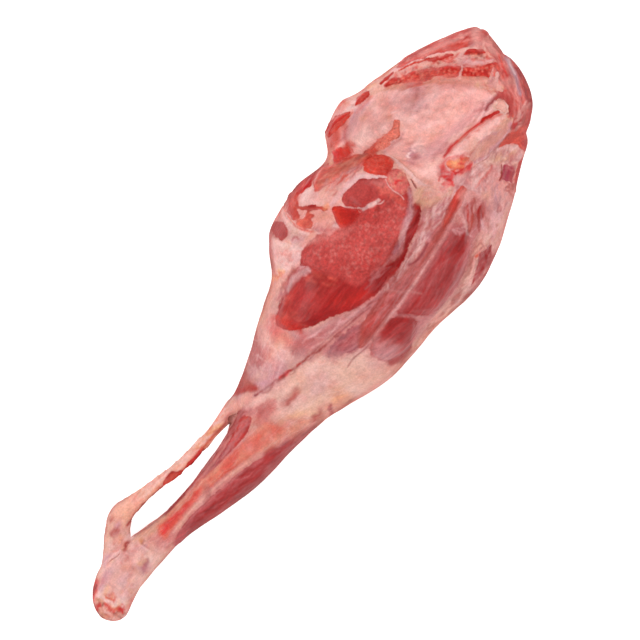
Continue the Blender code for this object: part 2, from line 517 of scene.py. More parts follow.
def hock() -> List[Patch]:
    """The sawn hock joint, the ankle bone and the heel bone.

    Returns:
        The patches, in the order that they are laid.
    """
    skin = [12, 10, 14, 30, 30, 36, 50, 42, 64, 50, 66, 32, 74, 24, 76, 8, 40, 9]
    sawn = [-4, 16, -3, 24, 2, 29, 6, 30, 9.6, 26, 9, 20, 10, 14, 12.6, 9, 12, 3, 3, 3, -2, 9]
    return [
        cover("hock skin", Tone.HOCK, [-6, 45, 30, 46, 60, 60, 78, 58, 80, 36, 66, 32, 78, 22, 80, -2, 40,
            0, -6, 0], edge=5.0, grain=0.35),
        stain("cream of the ankle", Tone.CREAM, [38, 30, 48, 33, 60, 28, 70, 26, 78, 18, 74, 7, 60, 8, 44,
            9, 38, 18], 0.75, edge=6.0),
        stain("tan of the ankle", Tone.CREAM_SHADE, [64, 24, 72, 22, 78, 18, 74, 10, 66, 10, 62, 16], 0.6,
            edge=5.0),
        stain("peach side", Tone.CREAM_SHADE, [12, 7, 30, 9.6, 50, 7, 70, 5], 0.85, width=2.2),
        # Painted shade along the lower contour of the hock.
        stain("painted shade of the lower side", Tone.BROWN_AND_SHADE, [12, 5, 20, 5.8, 30, 8, 46, 6, 60, 4.6, 78, 2.6], 0.55,
            width=0.6, edge=1.4),
        stain("red side", Tone.SALMON, [13, 6, 18, 6.4, 25, 8], 0.7, width=1.0, edge=1.6, rag=0.8),
        stain("peach heel edge", Tone.CREAM_SHADE, [12, 35, 30, 40.6, 48, 47, 62, 54, 72, 55], 0.8,
            width=2.0),
        # Painted shade along the heel contour of the hock.
        stain("painted shade of the hock's heel edge", Tone.BROWN_AND_SHADE, [10, 33.6, 24, 39.2, 40, 44.6, 56, 52, 66, 55.8, 76, 54],
            0.5, width=0.5, edge=1.4),
        stain("lilac of the hock", Tone.LILAC, [18, 30, 34, 33, 40, 26, 40, 14, 28, 13, 20, 18], 0.5,
            edge=5.0),
        stain("cream fleck band", Tone.CREAM, [20, 27, 30, 26.6, 40, 24, 46, 26], 0.8, width=1.6, edge=3.0),
        stain("salmon under the heel", Tone.PEACH, [42, 40, 50, 38, 60, 37.6], 0.5, width=2.6, edge=4.0),
        stain("heel bone", Tone.CREAM_SHADE, [50, 43, 58, 50, 66, 54, 74, 53, 80, 48, 74, 43, 66, 40, 56,
            39], 0.7),
        stain("orange of the heel", Tone.PEACH, [68, 52, 75, 50.6, 82, 46], 0.8, width=2.6, edge=3.0),
        cover("sawn end", Tone.HOCK_TAN, sawn, rag=1.6, edge=1.2, grain=0.9),
        *streaks("chip of the sawn end", Tone.CREAM, sawn, 34, 2.2, 0.5, 60, 0.8, 60),
        *streaks("pit of the sawn end", Tone.BROWN_AND_SHADE, sawn, 40, 1.6, 0.35, 60, 0.7, 60),
        stain("brown rim of the sawn end", Tone.BROWN_AND_SHADE, [1, 18, 2, 24, 5, 28.6, 8, 31], 0.7, width=0.7,
            edge=1.2, rag=1.0),
        stain("red of the rim", Tone.FLECK, [3, 24.4, 5, 26, 6.6, 25], 0.9, width=0.9, edge=1.0, rag=1.2),
        stain("rim", Tone.ORANGE_RED, [9, 21, 9, 18, 10.6, 15.4, 12, 13, 13.6, 11, 13, 9.4], 0.9, width=1.5,
            edge=1.2, rag=1.4),
        stain("vivid of the rim", Tone.FLECK, [9.6, 17.6, 11, 14.6, 13.4, 11.6, 12.6, 10], 0.9, width=0.9,
            edge=1.0, rag=1.4),
        stain("rim spots", Tone.ORANGE_RED, [13.6, 22, 15.4, 24.4, 17, 23, 19, 21.2, 17, 19.6, 15, 21], 0.9,
            edge=1.2, rag=1.8),
        *streaks("fleck of the rim", Tone.FLECK, [8, 9, 8, 24, 20, 25, 19, 19, 15, 9], 20, 1.4, 0.45, 40,
            0.75, 60),
        stain("torn lower rim", Tone.PALE_LILAC, [10, 6, 13, 5.4, 15, 6.4], 0.9, width=0.8, edge=0.9,
            rag=1.6),
        # Painted shade along the lower rim.
        stain("painted shade of the lower rim", Tone.BROWN_AND_SHADE, [8, 6.4, 12, 6.8, 16, 5.4, 22, 6.6], 0.6, width=0.5,
            edge=0.9, rag=1.4),
        stain("cut vessel edge", Tone.SALMON, [7.6, 30, 13, 33, 20.6, 36.2], 0.9, width=1.9, edge=1.2,
            rag=1.2),
        stain("cut vessel", Tone.FLECK, [9.6, 32, 14, 34, 21, 36.2], 1.0, width=1.5, edge=1.0, rag=0.8),
        blood("dark of the cut vessel", [9.8, 32, 12, 33, 15, 34.4, 18, 35.4], 0.9, width=0.9, rag=0.8),
        stain("bruise by the rim", Tone.COOL_LILAC, [18, 32, 24, 33.6, 31, 33], 0.9, width=1.8),
        stain("bruise above the crease", Tone.COOL_LILAC, [34, 38.6, 38, 39.4, 41, 37.6], 1.0, width=1.6,
            edge=2.4),
        # Painted shade in the hollow beside the ankle bone and above it.
        stain("painted shade above the ankle", Tone.HOCK_TAN, [40, 26, 42.6, 20, 42, 14, 45, 11.6], 0.85, width=1.5,
            edge=2.4, rag=0.8),
        stain("lilac ankle", Tone.PALE_LILAC, [46, 20, 50, 25, 58, 27, 62, 22, 60, 16, 52, 18], 0.7,
            edge=4.0),
        stain("ankle hollow", Tone.ANKLE_SHADE, [44, 12.6, 45.6, 16.6, 50, 18.4, 54.6, 17, 55.6, 13, 51, 10.8,
            47, 10.6], 1.0, edge=3.0, rag=0.8),
        stain("dark of the ankle hollow", Tone.MAUVE, [48, 13.6, 50.6, 15.4, 53, 13.8], 0.6, width=1.3,
            edge=2.0),
        stain("lilac of the ankle bone", Tone.COOL_LILAC, [56.6, 24.6, 59.6, 22, 61, 18], 0.9, width=1.3,
            edge=1.8),
        # Painted highlights on the ankle bone.
        stain("painted highlight of the ankle bone", Tone.WHITE, [54.4, 12, 57.4, 14.4, 59.4, 17.6, 60.2, 21], 1.0,
            width=1.1, edge=1.2),
        stain("second painted highlight of the ankle bone", Tone.WHITE, [54.6, 18, 56.6, 15.6], 0.8, width=0.8, edge=1.2),
        stain("dark line by the ankle", Tone.MAUVE, [60.8, 18, 61.2, 23.5], 0.8, width=0.45, edge=0.9),
        stain("red dot", Tone.MAUVE_RED, [33.4, 14.6, 34, 17], 1.0, width=1.0, edge=1.2),
        *streaks("shade of the hock", Tone.MAUVE_PINK, skin, 50, 5.0, 0.8, 10, 0.35, 30, edge=2.6),
        *streaks("fleck of the hock", Tone.SALMON, skin, 30, 1.8, 0.35, 20, 0.35, 60),
        *streaks("white fleck of the hock", Tone.CREAM, skin, 50, 4.4, 0.6, 14, 0.45, 30, edge=2.2),
        *streaks("yellow of the hock", Tone.GOLD, skin, 16, 3.0, 0.8, 0, 0.35, 60, edge=1.8),
        blood("crease", [36, 36.8, 40, 36, 43, 35, 46, 34.2], 0.7, width=0.5, rise=-0.5, crown=0.8),
        stain("pale lip of the crease", Tone.WHITE, [36, 38, 42, 36.8, 48, 35.2], 0.6, width=0.5, edge=1.2),
        stain("crease shade", Tone.MAUVE_RED, [50, 32.4, 53, 31.6, 56, 31.6, 60, 32, 61, 29.8], 1.0,
            width=1.4, edge=1.6, rag=1.6),
        blood("spots of the crease", [52, 32.2, 54.6, 31.4, 58, 31], 0.45, width=0.6, rag=1.6),
        form("crease fold", [36, 37.6, 45, 34.6, 56, 32.4, 62, 31], -0.7, 1.4, width=1.4),
        stain("marrow spot", Tone.MARROW, [60.8, 24.4, 61.6, 27.6, 64.2, 27.2, 64, 24.8], 1.0, edge=1.2),
        stain("dark of the marrow spot", Tone.BROWN_AND_SHADE, [61.4, 24.2, 63.6, 24.2], 0.8, width=0.5,
            edge=0.9),
        stain("bruises of the heel", Tone.MAUVE_PINK, [53, 45.6, 57, 46.8, 62, 45, 62.6, 42.6, 58, 41.4, 54,
            43], 0.9, edge=2.0, rag=1.4),
        stain("red of the heel bruise", Tone.MAUVE_RED, [55, 44.6, 58, 45, 60, 43], 0.75, width=1.0,
            edge=1.6, rag=1.0),
        stain("bruise of the heel tip", Tone.MAUVE_RED, [60, 51, 64, 53.6, 67.6, 53.4, 67, 51, 63, 50],
            0.85, edge=1.8, rag=1.2),
        stain("lilac of the heel neck", Tone.COOL_LILAC, [62, 46, 66, 45.6, 70, 44.4], 0.8, width=1.5,
            edge=2.0),
    ]


def tendon() -> List[Patch]:
    """The heel tendon with the strip of meat left on it.

    Returns:
        The patches, in the order that they are laid.
    """
    cord = [84, 47.6, 110, 41, 150, 31, 172, 28, 162, 22, 140, 26, 120, 31, 90, 38]
    return [
        cover("tendon", Tone.TENDON, [66, 58, 80, 54, 100, 46, 120, 40, 140, 34, 165, 31, 184, 30, 180, 20,
            160, 18, 130, 22, 105, 30, 84, 36, 70, 38], edge=3.0, turn=-17),
        stain("pink of the tendon", Tone.HOCK, [84, 46, 100, 41.6, 120, 35.6, 140, 31], 0.5, width=2),
        stain("tan of the tendon", Tone.CREAM_SHADE, [120, 37, 140, 32.6, 160, 29.6, 178, 28], 0.6,
            width=1.8),
        stain("gold of the tendon", Tone.GOLD, [142, 28, 153, 25, 162, 22.6], 0.7, width=1.8),
        # Painted shade along the tendon's contour.
        stain("painted shade along the tendon's edge", Tone.BROWN_AND_SHADE, [66, 55.6, 78, 53, 96, 46.4, 120, 38.8, 145, 33, 170,
            30.2], 0.6, width=0.6, edge=1.0, rag=0.4),
        stain("red lower edge", Tone.WEDGE, [66, 39.8, 80, 38.8, 92, 37.2, 104, 34.4], 0.9, width=0.9,
            edge=1.0, rag=0.6),
        *streaks("tendon streak", Tone.ORANGE_RED, cord, 30, 14, 0.35, -16, 0.4, 5),
        *streaks("tendon shine", Tone.WHITE, cord, 24, 12, 0.4, -16, 0.5, 5),
        lean("meat on the tendon", Tone.BRIGHT, [103.6, 33.8, 107, 35, 111, 35.4, 115.6, 34, 118, 31, 122,
            28.6, 130, 27.4, 138, 26.8, 142, 25.4, 138, 23, 128, 23.4, 120, 25.6, 113, 28.6, 107, 31.6],
            edge=0.8, rise=1.0, crown=1.6, turn=-16),
        stain("light of the lobe", Tone.SALMON, [107, 33.6, 111, 33.2, 115, 31.6], 0.9, width=1.2,
            edge=1.4),
        stain("dark of the lobe", Tone.DEEPEST, [110, 34.8, 114, 34.4, 117, 31.6, 119, 29.4], 0.6,
            width=0.5, edge=0.9),
        stain("wet meat on the tendon", Tone.DEEPEST, [120, 26.6, 126, 25.4, 134, 24.8, 141, 24.6], 0.9,
            width=1.3, edge=1.0),
        stain("vivid meat on the tendon", Tone.VIVID, [128, 26.8, 134, 26.2, 139, 25.4], 0.6, width=0.8,
            edge=1.0),
        stain("red fade", Tone.ORANGE_RED, [140, 25.2, 150, 23.6, 160, 21.4, 166, 20.4], 0.8, width=0.8,
            edge=1.2),
        # Dark red tissue at the slot's deep inner end, with painted shadow of its depth.
        lean("pocket_shade", Tone.POCKET_SHADE, [163, 16.6, 166, 19.4, 169, 21, 173, 20.6, 176, 18.8, 175, 16.8, 170,
            16.4], edge=0.8, rise=-3.0, crown=1.8),
        blood("painted shadow in the pocket", [165, 18, 169, 18.4, 174, 17.8], 0.8, width=0.9),
        stain("rim of the pocket", Tone.BROWN, [165, 20.6, 168.6, 22, 173, 21.6, 177, 19.2], 0.8, width=0.6,
            edge=1.0),
        stain("pale foot of the tendon", Tone.LINING_WHITE_AND_HIGHLIGHT, [61, 32, 67, 28, 74, 25.6, 79, 24.6], 0.75,
            width=2.6, edge=2.4, rag=0.6),
    ]


def shank() -> List[Patch]:
    """The shin bone under its skin and the muscles beside it.

    Returns:
        The patches, in the order that they are laid.
    """
    top = [76, 20, 84, 18.6, 92, 17.6, 100, 16.6, 110, 14.8, 120, 12.6, 130, 10.4, 140, 8, 150, 4.6, 160,
        1.4, 170, -1, 180, -3]
    low = [184, -16, 176, -17, 168, -15, 158, -10, 150, -5.4, 140, -1.2, 130, 2, 120, 4.6, 110, 6.6, 100, 8,
        90, 9.4, 80, 10, 74, 12]
    muscle = [73, 4.4, 84, 7, 94, 6.4, 104, 4.4, 114, 1.6, 124, -1.4, 134, -4.4, 144, -7.4, 154, -11.4, 164,
        -16, 174, -20.6, 184, -25, 194, -30, 206, -36, 200, -48, 150, -44, 110, -26, 80, -12, 70, 0]
    belly = [84, 5, 100, 3, 130, -5, 160, -16, 192, -31, 176, -30, 150, -24, 120, -13, 96, -3]
    return [
        cover("knee skin", Tone.LILAC, [178, 34, 200, 40, 240, 52, 262, 44, 246, 24, 252, 6, 240, -4, 214,
            2, 186, 14], edge=5.0, turn=12),
        cover("knee fat", Tone.KNEE, [186, 2, 230, -4, 250, -10, 262, -32, 262, -60, 280, -70, 250, -66,
            210, -52, 184, -40, 176, -20], edge=6.0, turn=-25),
        cover("shin fascia", Tone.FASCIA, [66, 26, 90, 22, 120, 19, 160, 19, 180, 20, 190, 0, 200, -30, 190,
            -40, 150, -34, 110, -20, 70, -4], edge=4.0, turn=-15),
        stain("tan above the shin bone", Tone.CREAM_SHADE, [60, 30, 68, 27, 76, 22.4, 90, 19.4, 106, 16.6],
            0.9, width=2.2),
        stain("shade above the shin bone", Tone.BROWN_AND_SHADE, [62, 31.6, 70, 28.6, 78, 25, 88, 21.4], 0.7,
            width=0.6, edge=1.2),
        lean("upper strip", Tone.STRIP, [84, 23, 92, 21.8, 104, 20.8, 116, 18.8, 128, 16.8, 140, 16.4, 160,
            16.4, 176, 17.4, 184, 15.6, 182, 12, 160, 12.4, 140, 12.4, 128, 13.8, 116, 16.2, 104, 18.2, 92,
            20], edge=0.9, rag=0.3, rise=0.5, crown=2.0, turn=-5),
        stain("crimson upper strip", Tone.SHANK, [88, 21.2, 98, 20, 110, 18.4, 122, 16.6, 130, 15.4], 1.0,
            width=1.4, edge=1.2, rag=0.3),
        blood("dark edge of the strip", [90, 22.4, 100, 21, 112, 19.4, 122, 17.8], 0.4, width=0.45),
        *streaks("strand of the strip", Tone.MAUVE_PINK, [124, 16, 140, 16.4, 176, 17, 180, 13, 150, 12.4,
            130, 13], 20, 14, 0.4, -3, 0.7, 4),
        *streaks("dark strand of the strip", Tone.MAROON, [124, 16, 140, 16.4, 176, 17, 180, 13, 150, 12.4,
            130, 13], 12, 12, 0.3, -3, 0.5, 4),
        lean("calf wedge", Tone.WEDGE, [112, 14.6, 126, 13, 140, 12, 154, 12, 166, 12.4, 174, 12.6, 178, 11,
            179, 8.6, 176, 5.6, 168, 4.2, 158, 5.4, 146, 8, 130, 11], edge=1.0, rag=0.3, rise=0.9,
            crown=2.4, turn=-8),
        stain("mauve of the wedge", Tone.MAUVE, [114, 14.4, 128, 12.6, 140, 11, 152, 9.6, 158, 9], 0.9,
            width=1.8, edge=2.4),
        stain("bright wedge end", Tone.BRIGHT, [156, 8.4, 164, 9.4, 172, 9.6], 0.55, width=2),
        stain("pink tip of the wedge", Tone.SALMON, [176, 10.4, 178, 8.6], 0.6, width=1.2, edge=1.6),
        *streaks("strand of the wedge", Tone.MAUVE_PINK, [114, 14, 140, 11.6, 166, 11, 174, 8, 150, 8.4],
            16, 12, 0.35, -7, 0.6, 4),
        # Painted highlight along the wedge.
        stain("painted highlight over the wedge", Tone.FASCIA, [108, 17, 124, 14.6, 144, 12.6, 160, 12.8], 0.9,
            width=0.6, edge=0.9, rag=0.2),
        cover("shin bone", Tone.SHIN_RED, top + low, edge=1.6, rag=0.6, rise=0.7, crown=3.0, turn=-14),
        stain("upper light of the bone", Tone.PEACH, [84, 17.8, 100, 16, 116, 12.8, 132, 9, 146, 5.2], 0.85,
            width=1.4, edge=1.6, rag=0.5),
        stain("pale end of the bone", Tone.PEACH, [148, 2, 156, -2, 166, -3, 178, -5], 0.85, width=3.0,
            edge=3.0, rag=0.8),
        stain("pale foot of the bone", Tone.PEACH, [146, -3, 156, -8, 166, -13.6, 178, -17], 0.8, width=2.2,
            edge=2.4, rag=0.8),
        stain("crimson start", Tone.VIVID, [77, 15.6, 81, 15.4, 88, 14.6, 94, 13], 0.95, width=2.1,
            edge=2.4, rag=0.45),
        stain("crimson rose", Tone.ROSE, [92, 11.4, 98, 11, 104, 10], 0.9, width=1.5, edge=2.0, rag=0.45),
        stain("red core", Tone.SHIN_CORE, [100, 12.4, 108, 11.4, 118, 9, 126, 7.6], 0.8, width=1.5,
            edge=2.0, rag=0.45),
        stain("crimson stretch", Tone.VIVID, [136, 5.8, 141, 5.4, 147, 3.4, 152, 1.8], 1.0, width=1.8,
            edge=1.8, rag=0.45),
        stain("red of the crimson stretch", Tone.FLECK, [139, 5.6, 143, 4.8, 147, 3.6], 0.8, width=0.8,
            edge=1.2, rag=0.9),
        stain("far stretch", Tone.SHIN_RED, [158, 0, 164, -3, 172, -7, 181, -11], 0.9, width=3.0, edge=3.0,
            rag=0.45),
        stain("crimson far stretch", Tone.VIVID, [162, -3.4, 167, -6.4, 174, -9.4], 0.6, width=1.6,
            edge=2.0, rag=0.45),
        stain("far fleck", Tone.FLECK, [179, -10, 183, -12.4], 0.5, width=0.8, edge=1.4, rag=1.0),
        *streaks("streak of the shin bone", Tone.FLECK, top + low, 50, 14, 0.5, -15, 0.22, 4, edge=2.0),
        *streaks("light of the shin bone", Tone.PEACH, top + low, 50, 14, 0.5, -15, 0.25, 4, edge=2.0),
        lean("shin muscle", Tone.SHANK, muscle, edge=1.0, rag=0.3, rise=0.8, crown=4.0, turn=-19),
        stain("mauve start of the muscle", Tone.MUSCLE_MAUVE, [74, 4.6, 84, 4.8, 96, 3.6, 106, 1.6, 116,
            -1], 0.85, width=2.4, edge=2.0, rag=0.3),
        stain("mauve upper skin", Tone.MUSCLE_MAUVE, [118, -3, 134, -7.6, 150, -12.6, 166, -19, 182, -26,
            196, -33], 0.7, width=3.2, edge=2.4, rag=0.3),
        stain("pale upper skin", Tone.MAUVE_PINK, [128, -4, 142, -8, 156, -13, 170, -20, 184, -26], 0.5,
            width=1.0, edge=1.6, rag=0.3),
        stain("dark heart of the shin", Tone.BIG, [98, -3, 112, -8, 130, -14, 148, -20, 164, -25], 0.5,
            width=3, edge=4.0),
        stain("pale far end", Tone.MAUVE_RED, [180, -25, 190, -29.6, 202, -35], 0.7, width=3.4, edge=3.0),
        *streaks("shin streak", Tone.HAZE, belly, 90, 24, 0.35, -21, 0.3, 2),
        *streaks("shin shade", Tone.DEEPEST, belly, 80, 24, 0.4, -21, 0.4, 2),
        stain("edge of the shin muscle", Tone.BROWN_AND_SHADE, [84, -0.6, 100, -7, 120, -15, 145, -23.4, 170,
            -28.6, 190, -32.6], 0.5, width=0.5, edge=1.2),
        cover("fascia line", Tone.FASCIA, [73, 9, 84, 9, 94, 8, 104, 6.2, 114, 4, 124, 1.4, 134, -1.8, 144,
            -5.2, 154, -9, 162, -13], width=1.9, edge=1.1, rag=0.3, rise=0.4, turn=-18),
        stain("light of the fascia line", Tone.CREAM, [80, 9.4, 94, 8.6, 108, 6, 122, 2.4, 136, -2, 150,
            -7], 0.7, width=0.5, edge=1.0, rag=0.3),
        stain("second line of the fascia", Tone.MAUVE_PINK, [84, 6.4, 100, 4, 116, 0, 130, -4, 142, -7.6],
            0.7, width=0.4, edge=1.0, rag=0.2),
        stain("peach far fascia", Tone.PEACH, [166, -12.6, 176, -16, 188, -21.6, 198, -27], 0.8, width=2.4,
            edge=3.0),
        stain("lean beside the shin", Tone.STRIP, [112, 2, 116, 4, 119, 6], 0.8, width=2.6, edge=2.4,
            rag=0.6),
        stain("mauve of the calf", Tone.STRIP, [152, -24, 160, -26, 169, -28], 0.6, width=3.4, edge=3.0,
            rag=0.6),
        stain("red of the calf", Tone.COVERED, [161, -16, 166, -16, 170, -17], 0.7, width=2.6, edge=2.4,
            rag=0.6),
        stain("deep calf", Tone.COVERED, [161, -22, 166, -25, 169, -28], 0.75, width=3.0, edge=2.6,
            rag=0.6),
    ]


def knee() -> List[Patch]:
    """The skin and fat over the knee.

    Returns:
        The patches, in the order that they are laid.
    """
    skin = [205, 30, 232, 36, 246, 20, 244, 4, 216, 4, 204, 14]
    fat = [184, 0, 226, -4, 250, -14, 262, -36, 258, -56, 226, -44, 194, -28]
    return [
        stain("cream of the skin", Tone.CREAM, [220, 18, 226, 31, 240, 38, 250, 36, 244, 26, 238, 14, 230,
            8], 1.0, edge=5.0),
        stain("peach of the skin", Tone.PEACH, [226, 34, 238, 38, 250, 42, 266, 47], 0.6, width=3,
            edge=4.0),
        stain("grey of the knee", Tone.LILAC, [214, -10, 228, -12, 236, -18, 226, -25, 214, -20], 0.55,
            edge=5.0),
        stain("pale knee fat", Tone.WHITE_FAT, [226, -8, 240, -14, 250, -26, 256, -44, 246, -40, 236, -26,
            226, -16], 0.4, edge=6.0),
        stain("peach of the knee fat", Tone.PEACH, [228, -26, 236, -30, 246, -40, 238, -42, 228, -36], 0.6,
            edge=5.0),
        stain("peach knee edge", Tone.PEACH, [186, -22, 204, -30, 222, -38, 244, -50, 264, -58], 0.85,
            width=3.4, edge=5.0),
        stain("orange of the knee edge", Tone.GOLD, [222, -35, 230, -39.6, 240, -45], 0.5, width=2.2,
            edge=4.0),
        stain("tan knee edge", Tone.HOCK_TAN, [200, -35, 212, -39, 226, -44, 246, -53, 264, -60.6], 0.85,
            width=1.8, edge=2.4),
        stain("shade of the knee edge", Tone.BROWN_AND_SHADE, [196, -33.6, 212, -40.4, 230, -46.6, 248, -55, 264,
            -62], 0.65, width=0.7, edge=1.2, rag=0.6),
        stain("yellow of the knee", Tone.YELLOW_FAT, [190, -12, 198, -16, 204, -24, 206, -30], 0.5, width=3,
            edge=4.0),
        stain("gold of the knee", Tone.GOLD, [196, -16, 201, -22], 0.45, width=1.8, edge=3.0),
        stain("cream heel band", Tone.CREAM, [222, 36, 240, 40.4, 256, 44.6, 272, 49, 284, 56], 0.95,
            width=3.0, edge=2.6),
        stain("tan heel edge", Tone.HOCK_TAN, [204, 30.6, 216, 35, 232, 39.6, 250, 43, 268, 48.6], 0.8,
            width=1.0, edge=1.8, rag=0.5),
        stain("shade of the heel edge", Tone.BROWN_AND_SHADE, [178, 28, 192, 29, 206, 31, 222, 37.6, 240, 42,
            256, 45, 270, 50], 0.6, width=0.6, edge=1.2, rag=0.5),
        stain("red of the calf end", Tone.MAUVE_RED, [182, 30, 192, 31, 203, 31, 203.6, 25, 202, 19, 199,
            14.6, 194, 19, 188, 24], 1.0, edge=2.0, rag=0.8),
        stain("deep red of the calf end", Tone.WEDGE, [186, 27.4, 192, 24, 198, 18], 0.65, width=1.6,
            edge=2.4, rag=0.8),
        stain("pale calf end", Tone.PINK, [178, 24, 184, 20, 192, 13], 0.8, width=2.6),
        stain("red under the skin", Tone.MAUVE_RED, [209, 25, 213, 32, 221, 37, 232, 39, 226, 31, 219, 24,
            213, 22], 0.9, edge=2.8, rag=1.0),
        stain("brown under the skin", Tone.BROWN, [213, 29, 218, 32, 222, 29], 0.35, width=2.0, edge=3.0),
        stain("mauve by the vein", Tone.COOL_LILAC, [203, 24, 209, 15, 216, 8, 208, 9.6, 202, 14], 0.75,
            edge=3.0),
        stain("pale heart of the skin", Tone.PALE_LILAC, [210, 20, 220, 14, 230, 14], 0.6, width=4,
            edge=4.0),
        *streaks("line of the skin", Tone.WHITE, skin, 14, 7, 0.3, 75, 0.45, 22),
        *streaks("shade of the skin", Tone.MAUVE_PINK, skin, 34, 6, 0.5, 40, 0.45, 40, edge=2.0),
        stain("rose of the skin", Tone.KNEE_MAUVE, [204, 26, 216, 32, 232, 37, 246, 40], 0.4, width=4,
            edge=6.0),
        *streaks("fleck of the knee fat", Tone.ORANGE_RED, fat, 14, 2.4, 0.5, -20, 0.2, 50, edge=1.6),
        *streaks("shine of the knee fat", Tone.WHITE, fat, 40, 7, 0.6, -30, 0.25, 30, edge=2.4),
        *streaks("shade of the knee fat", Tone.HOCK_TAN, fat, 34, 6, 0.7, -25, 0.22, 40, edge=2.6),
        stain("red below the wedge", Tone.KNEE_RED, [176, 1.6, 182, 6.6, 190, 8, 196, 5, 197, -0.6, 190, -3,
            182, -2], 0.85, edge=2.6, rag=1.2),
        stain("red heart below the wedge", Tone.WEDGE, [179, 2.4, 185, 4.4, 190, 1], 0.35, width=1.6,
            edge=2.4, rag=1.2),
        stain("cream below the wedge", Tone.KNEE, [188, -6, 194, -8, 200, -12], 0.7, width=2.4, edge=3.0),
        stain("red patch of the knee", Tone.MAUVE_RED, [197, -4, 203, -4.6, 210, -6, 214, -9, 207, -10.8,
            200, -8.6], 0.8, edge=3.6, rag=1.0),
        stain("red heart of the patch", Tone.WEDGE, [201, -7, 206, -8.6, 210, -8.8], 0.4, width=1.3,
            edge=1.8, rag=0.8),
        stain("pale patch", Tone.WHITE_FAT, [184, 15, 190, 11.6, 198, 6], 0.5, width=1.6),
        stain("red by the edge", Tone.MAUVE_RED, [199.6, -29, 204, -27.6, 209, -29, 208, -32, 202, -31.8],
            0.75, edge=2.6, rag=1.2),
        stain("red heart by the edge", Tone.WEDGE, [201, -30, 204.4, -30.4, 207, -30], 0.45, width=0.8,
            edge=1.0, rag=1.0),
        stain("crimson by the edge", Tone.MAUVE, [209.6, -39, 213, -38, 216, -35, 213, -36], 0.8, width=1.0,
            edge=1.2, rag=0.8),
        stain("mauve of the knee", Tone.KNEE_MAUVE, [234, 9, 238, 12, 245, 9, 250, 3, 248, -2, 240, -2, 235,
            3], 0.95, edge=2.6, rag=1.0),
        stain("mauve under the vein", Tone.KNEE_MAUVE, [236, -6, 246, -8.4, 256, -11.6], 0.7, width=1.8,
            edge=2.4),
        *streaks("strand beside the vein", Tone.MAUVE_PINK, [236, 6, 262, -2, 292, -12, 286, -16, 250, -6,
            238, -2], 30, 10, 0.4, -20, 0.5, 8),
        form("knee crease", [248, -38, 240, -20, 228, -8], -0.6, 3.0, width=3),
    ]


def knee_vein() -> List[Patch]:
    """The vein that crosses the knee and runs along the inner muscle.

    Returns:
        The patches, in the order that they are laid.
    """
    vein = [191, 15, 197, 12.6, 204, 9.8, 211, 7.4, 218, 4.2, 226, 1, 236, -2.4, 250, -5.6, 264, -9.6, 278,
        -14, 290, -18, 302, -21.6]
    second = [236, -4.6, 248, -7, 262, -11, 276, -15.4, 290, -20]
    return [
        form("vein bed", vein[6:], -0.3, 2.0, width=2.0),
        stain("vein bed shade", Tone.KNEE_MAUVE, vein, 0.4, width=1.0, edge=1.6, rag=0.2),
        stain("vein", Tone.VEIN, vein, 0.5, width=0.4, edge=0.9, rag=0.1, rise=0.3, crown=0.8),
        stain("second line of the vein", Tone.VEIN, second, 0.75, width=0.4, edge=0.8, rag=0.3),
        stain("light between the vein's lines", Tone.FASCIA, [240, -4.2, 256, -8.4, 276, -14], 0.7,
            width=0.35, edge=0.8, rag=0.2),
        stain("red of the vein", Tone.VIVID, [214.6, 5.6, 218, 4.6, 222, 2.6], 0.95, width=1.0, edge=1.0,
            rag=0.6),
        stain("dark of the red of the vein", Tone.VEIN, [216, 5.6, 219.6, 4, 222, 3], 0.8, width=0.4,
            edge=0.8),
        stain("dot of the vein", Tone.VEIN, [194.6, 14.6, 196, 13.6], 0.9, width=0.8, edge=0.9, rag=0.8),
        stain("end dots of the vein", Tone.FLECK, [228, 0.4, 231, -1], 0.8, width=0.6, edge=0.9, rag=0.8),
        *streaks("dash of the vein", Tone.MAROON, [196, 14, 234, -1, 262, -10, 300, -20.6, 299, -22, 262,
            -12.4, 232, -3.6, 195, 11], 28, 5, 0.3, -19, 0.6, 4),
    ]


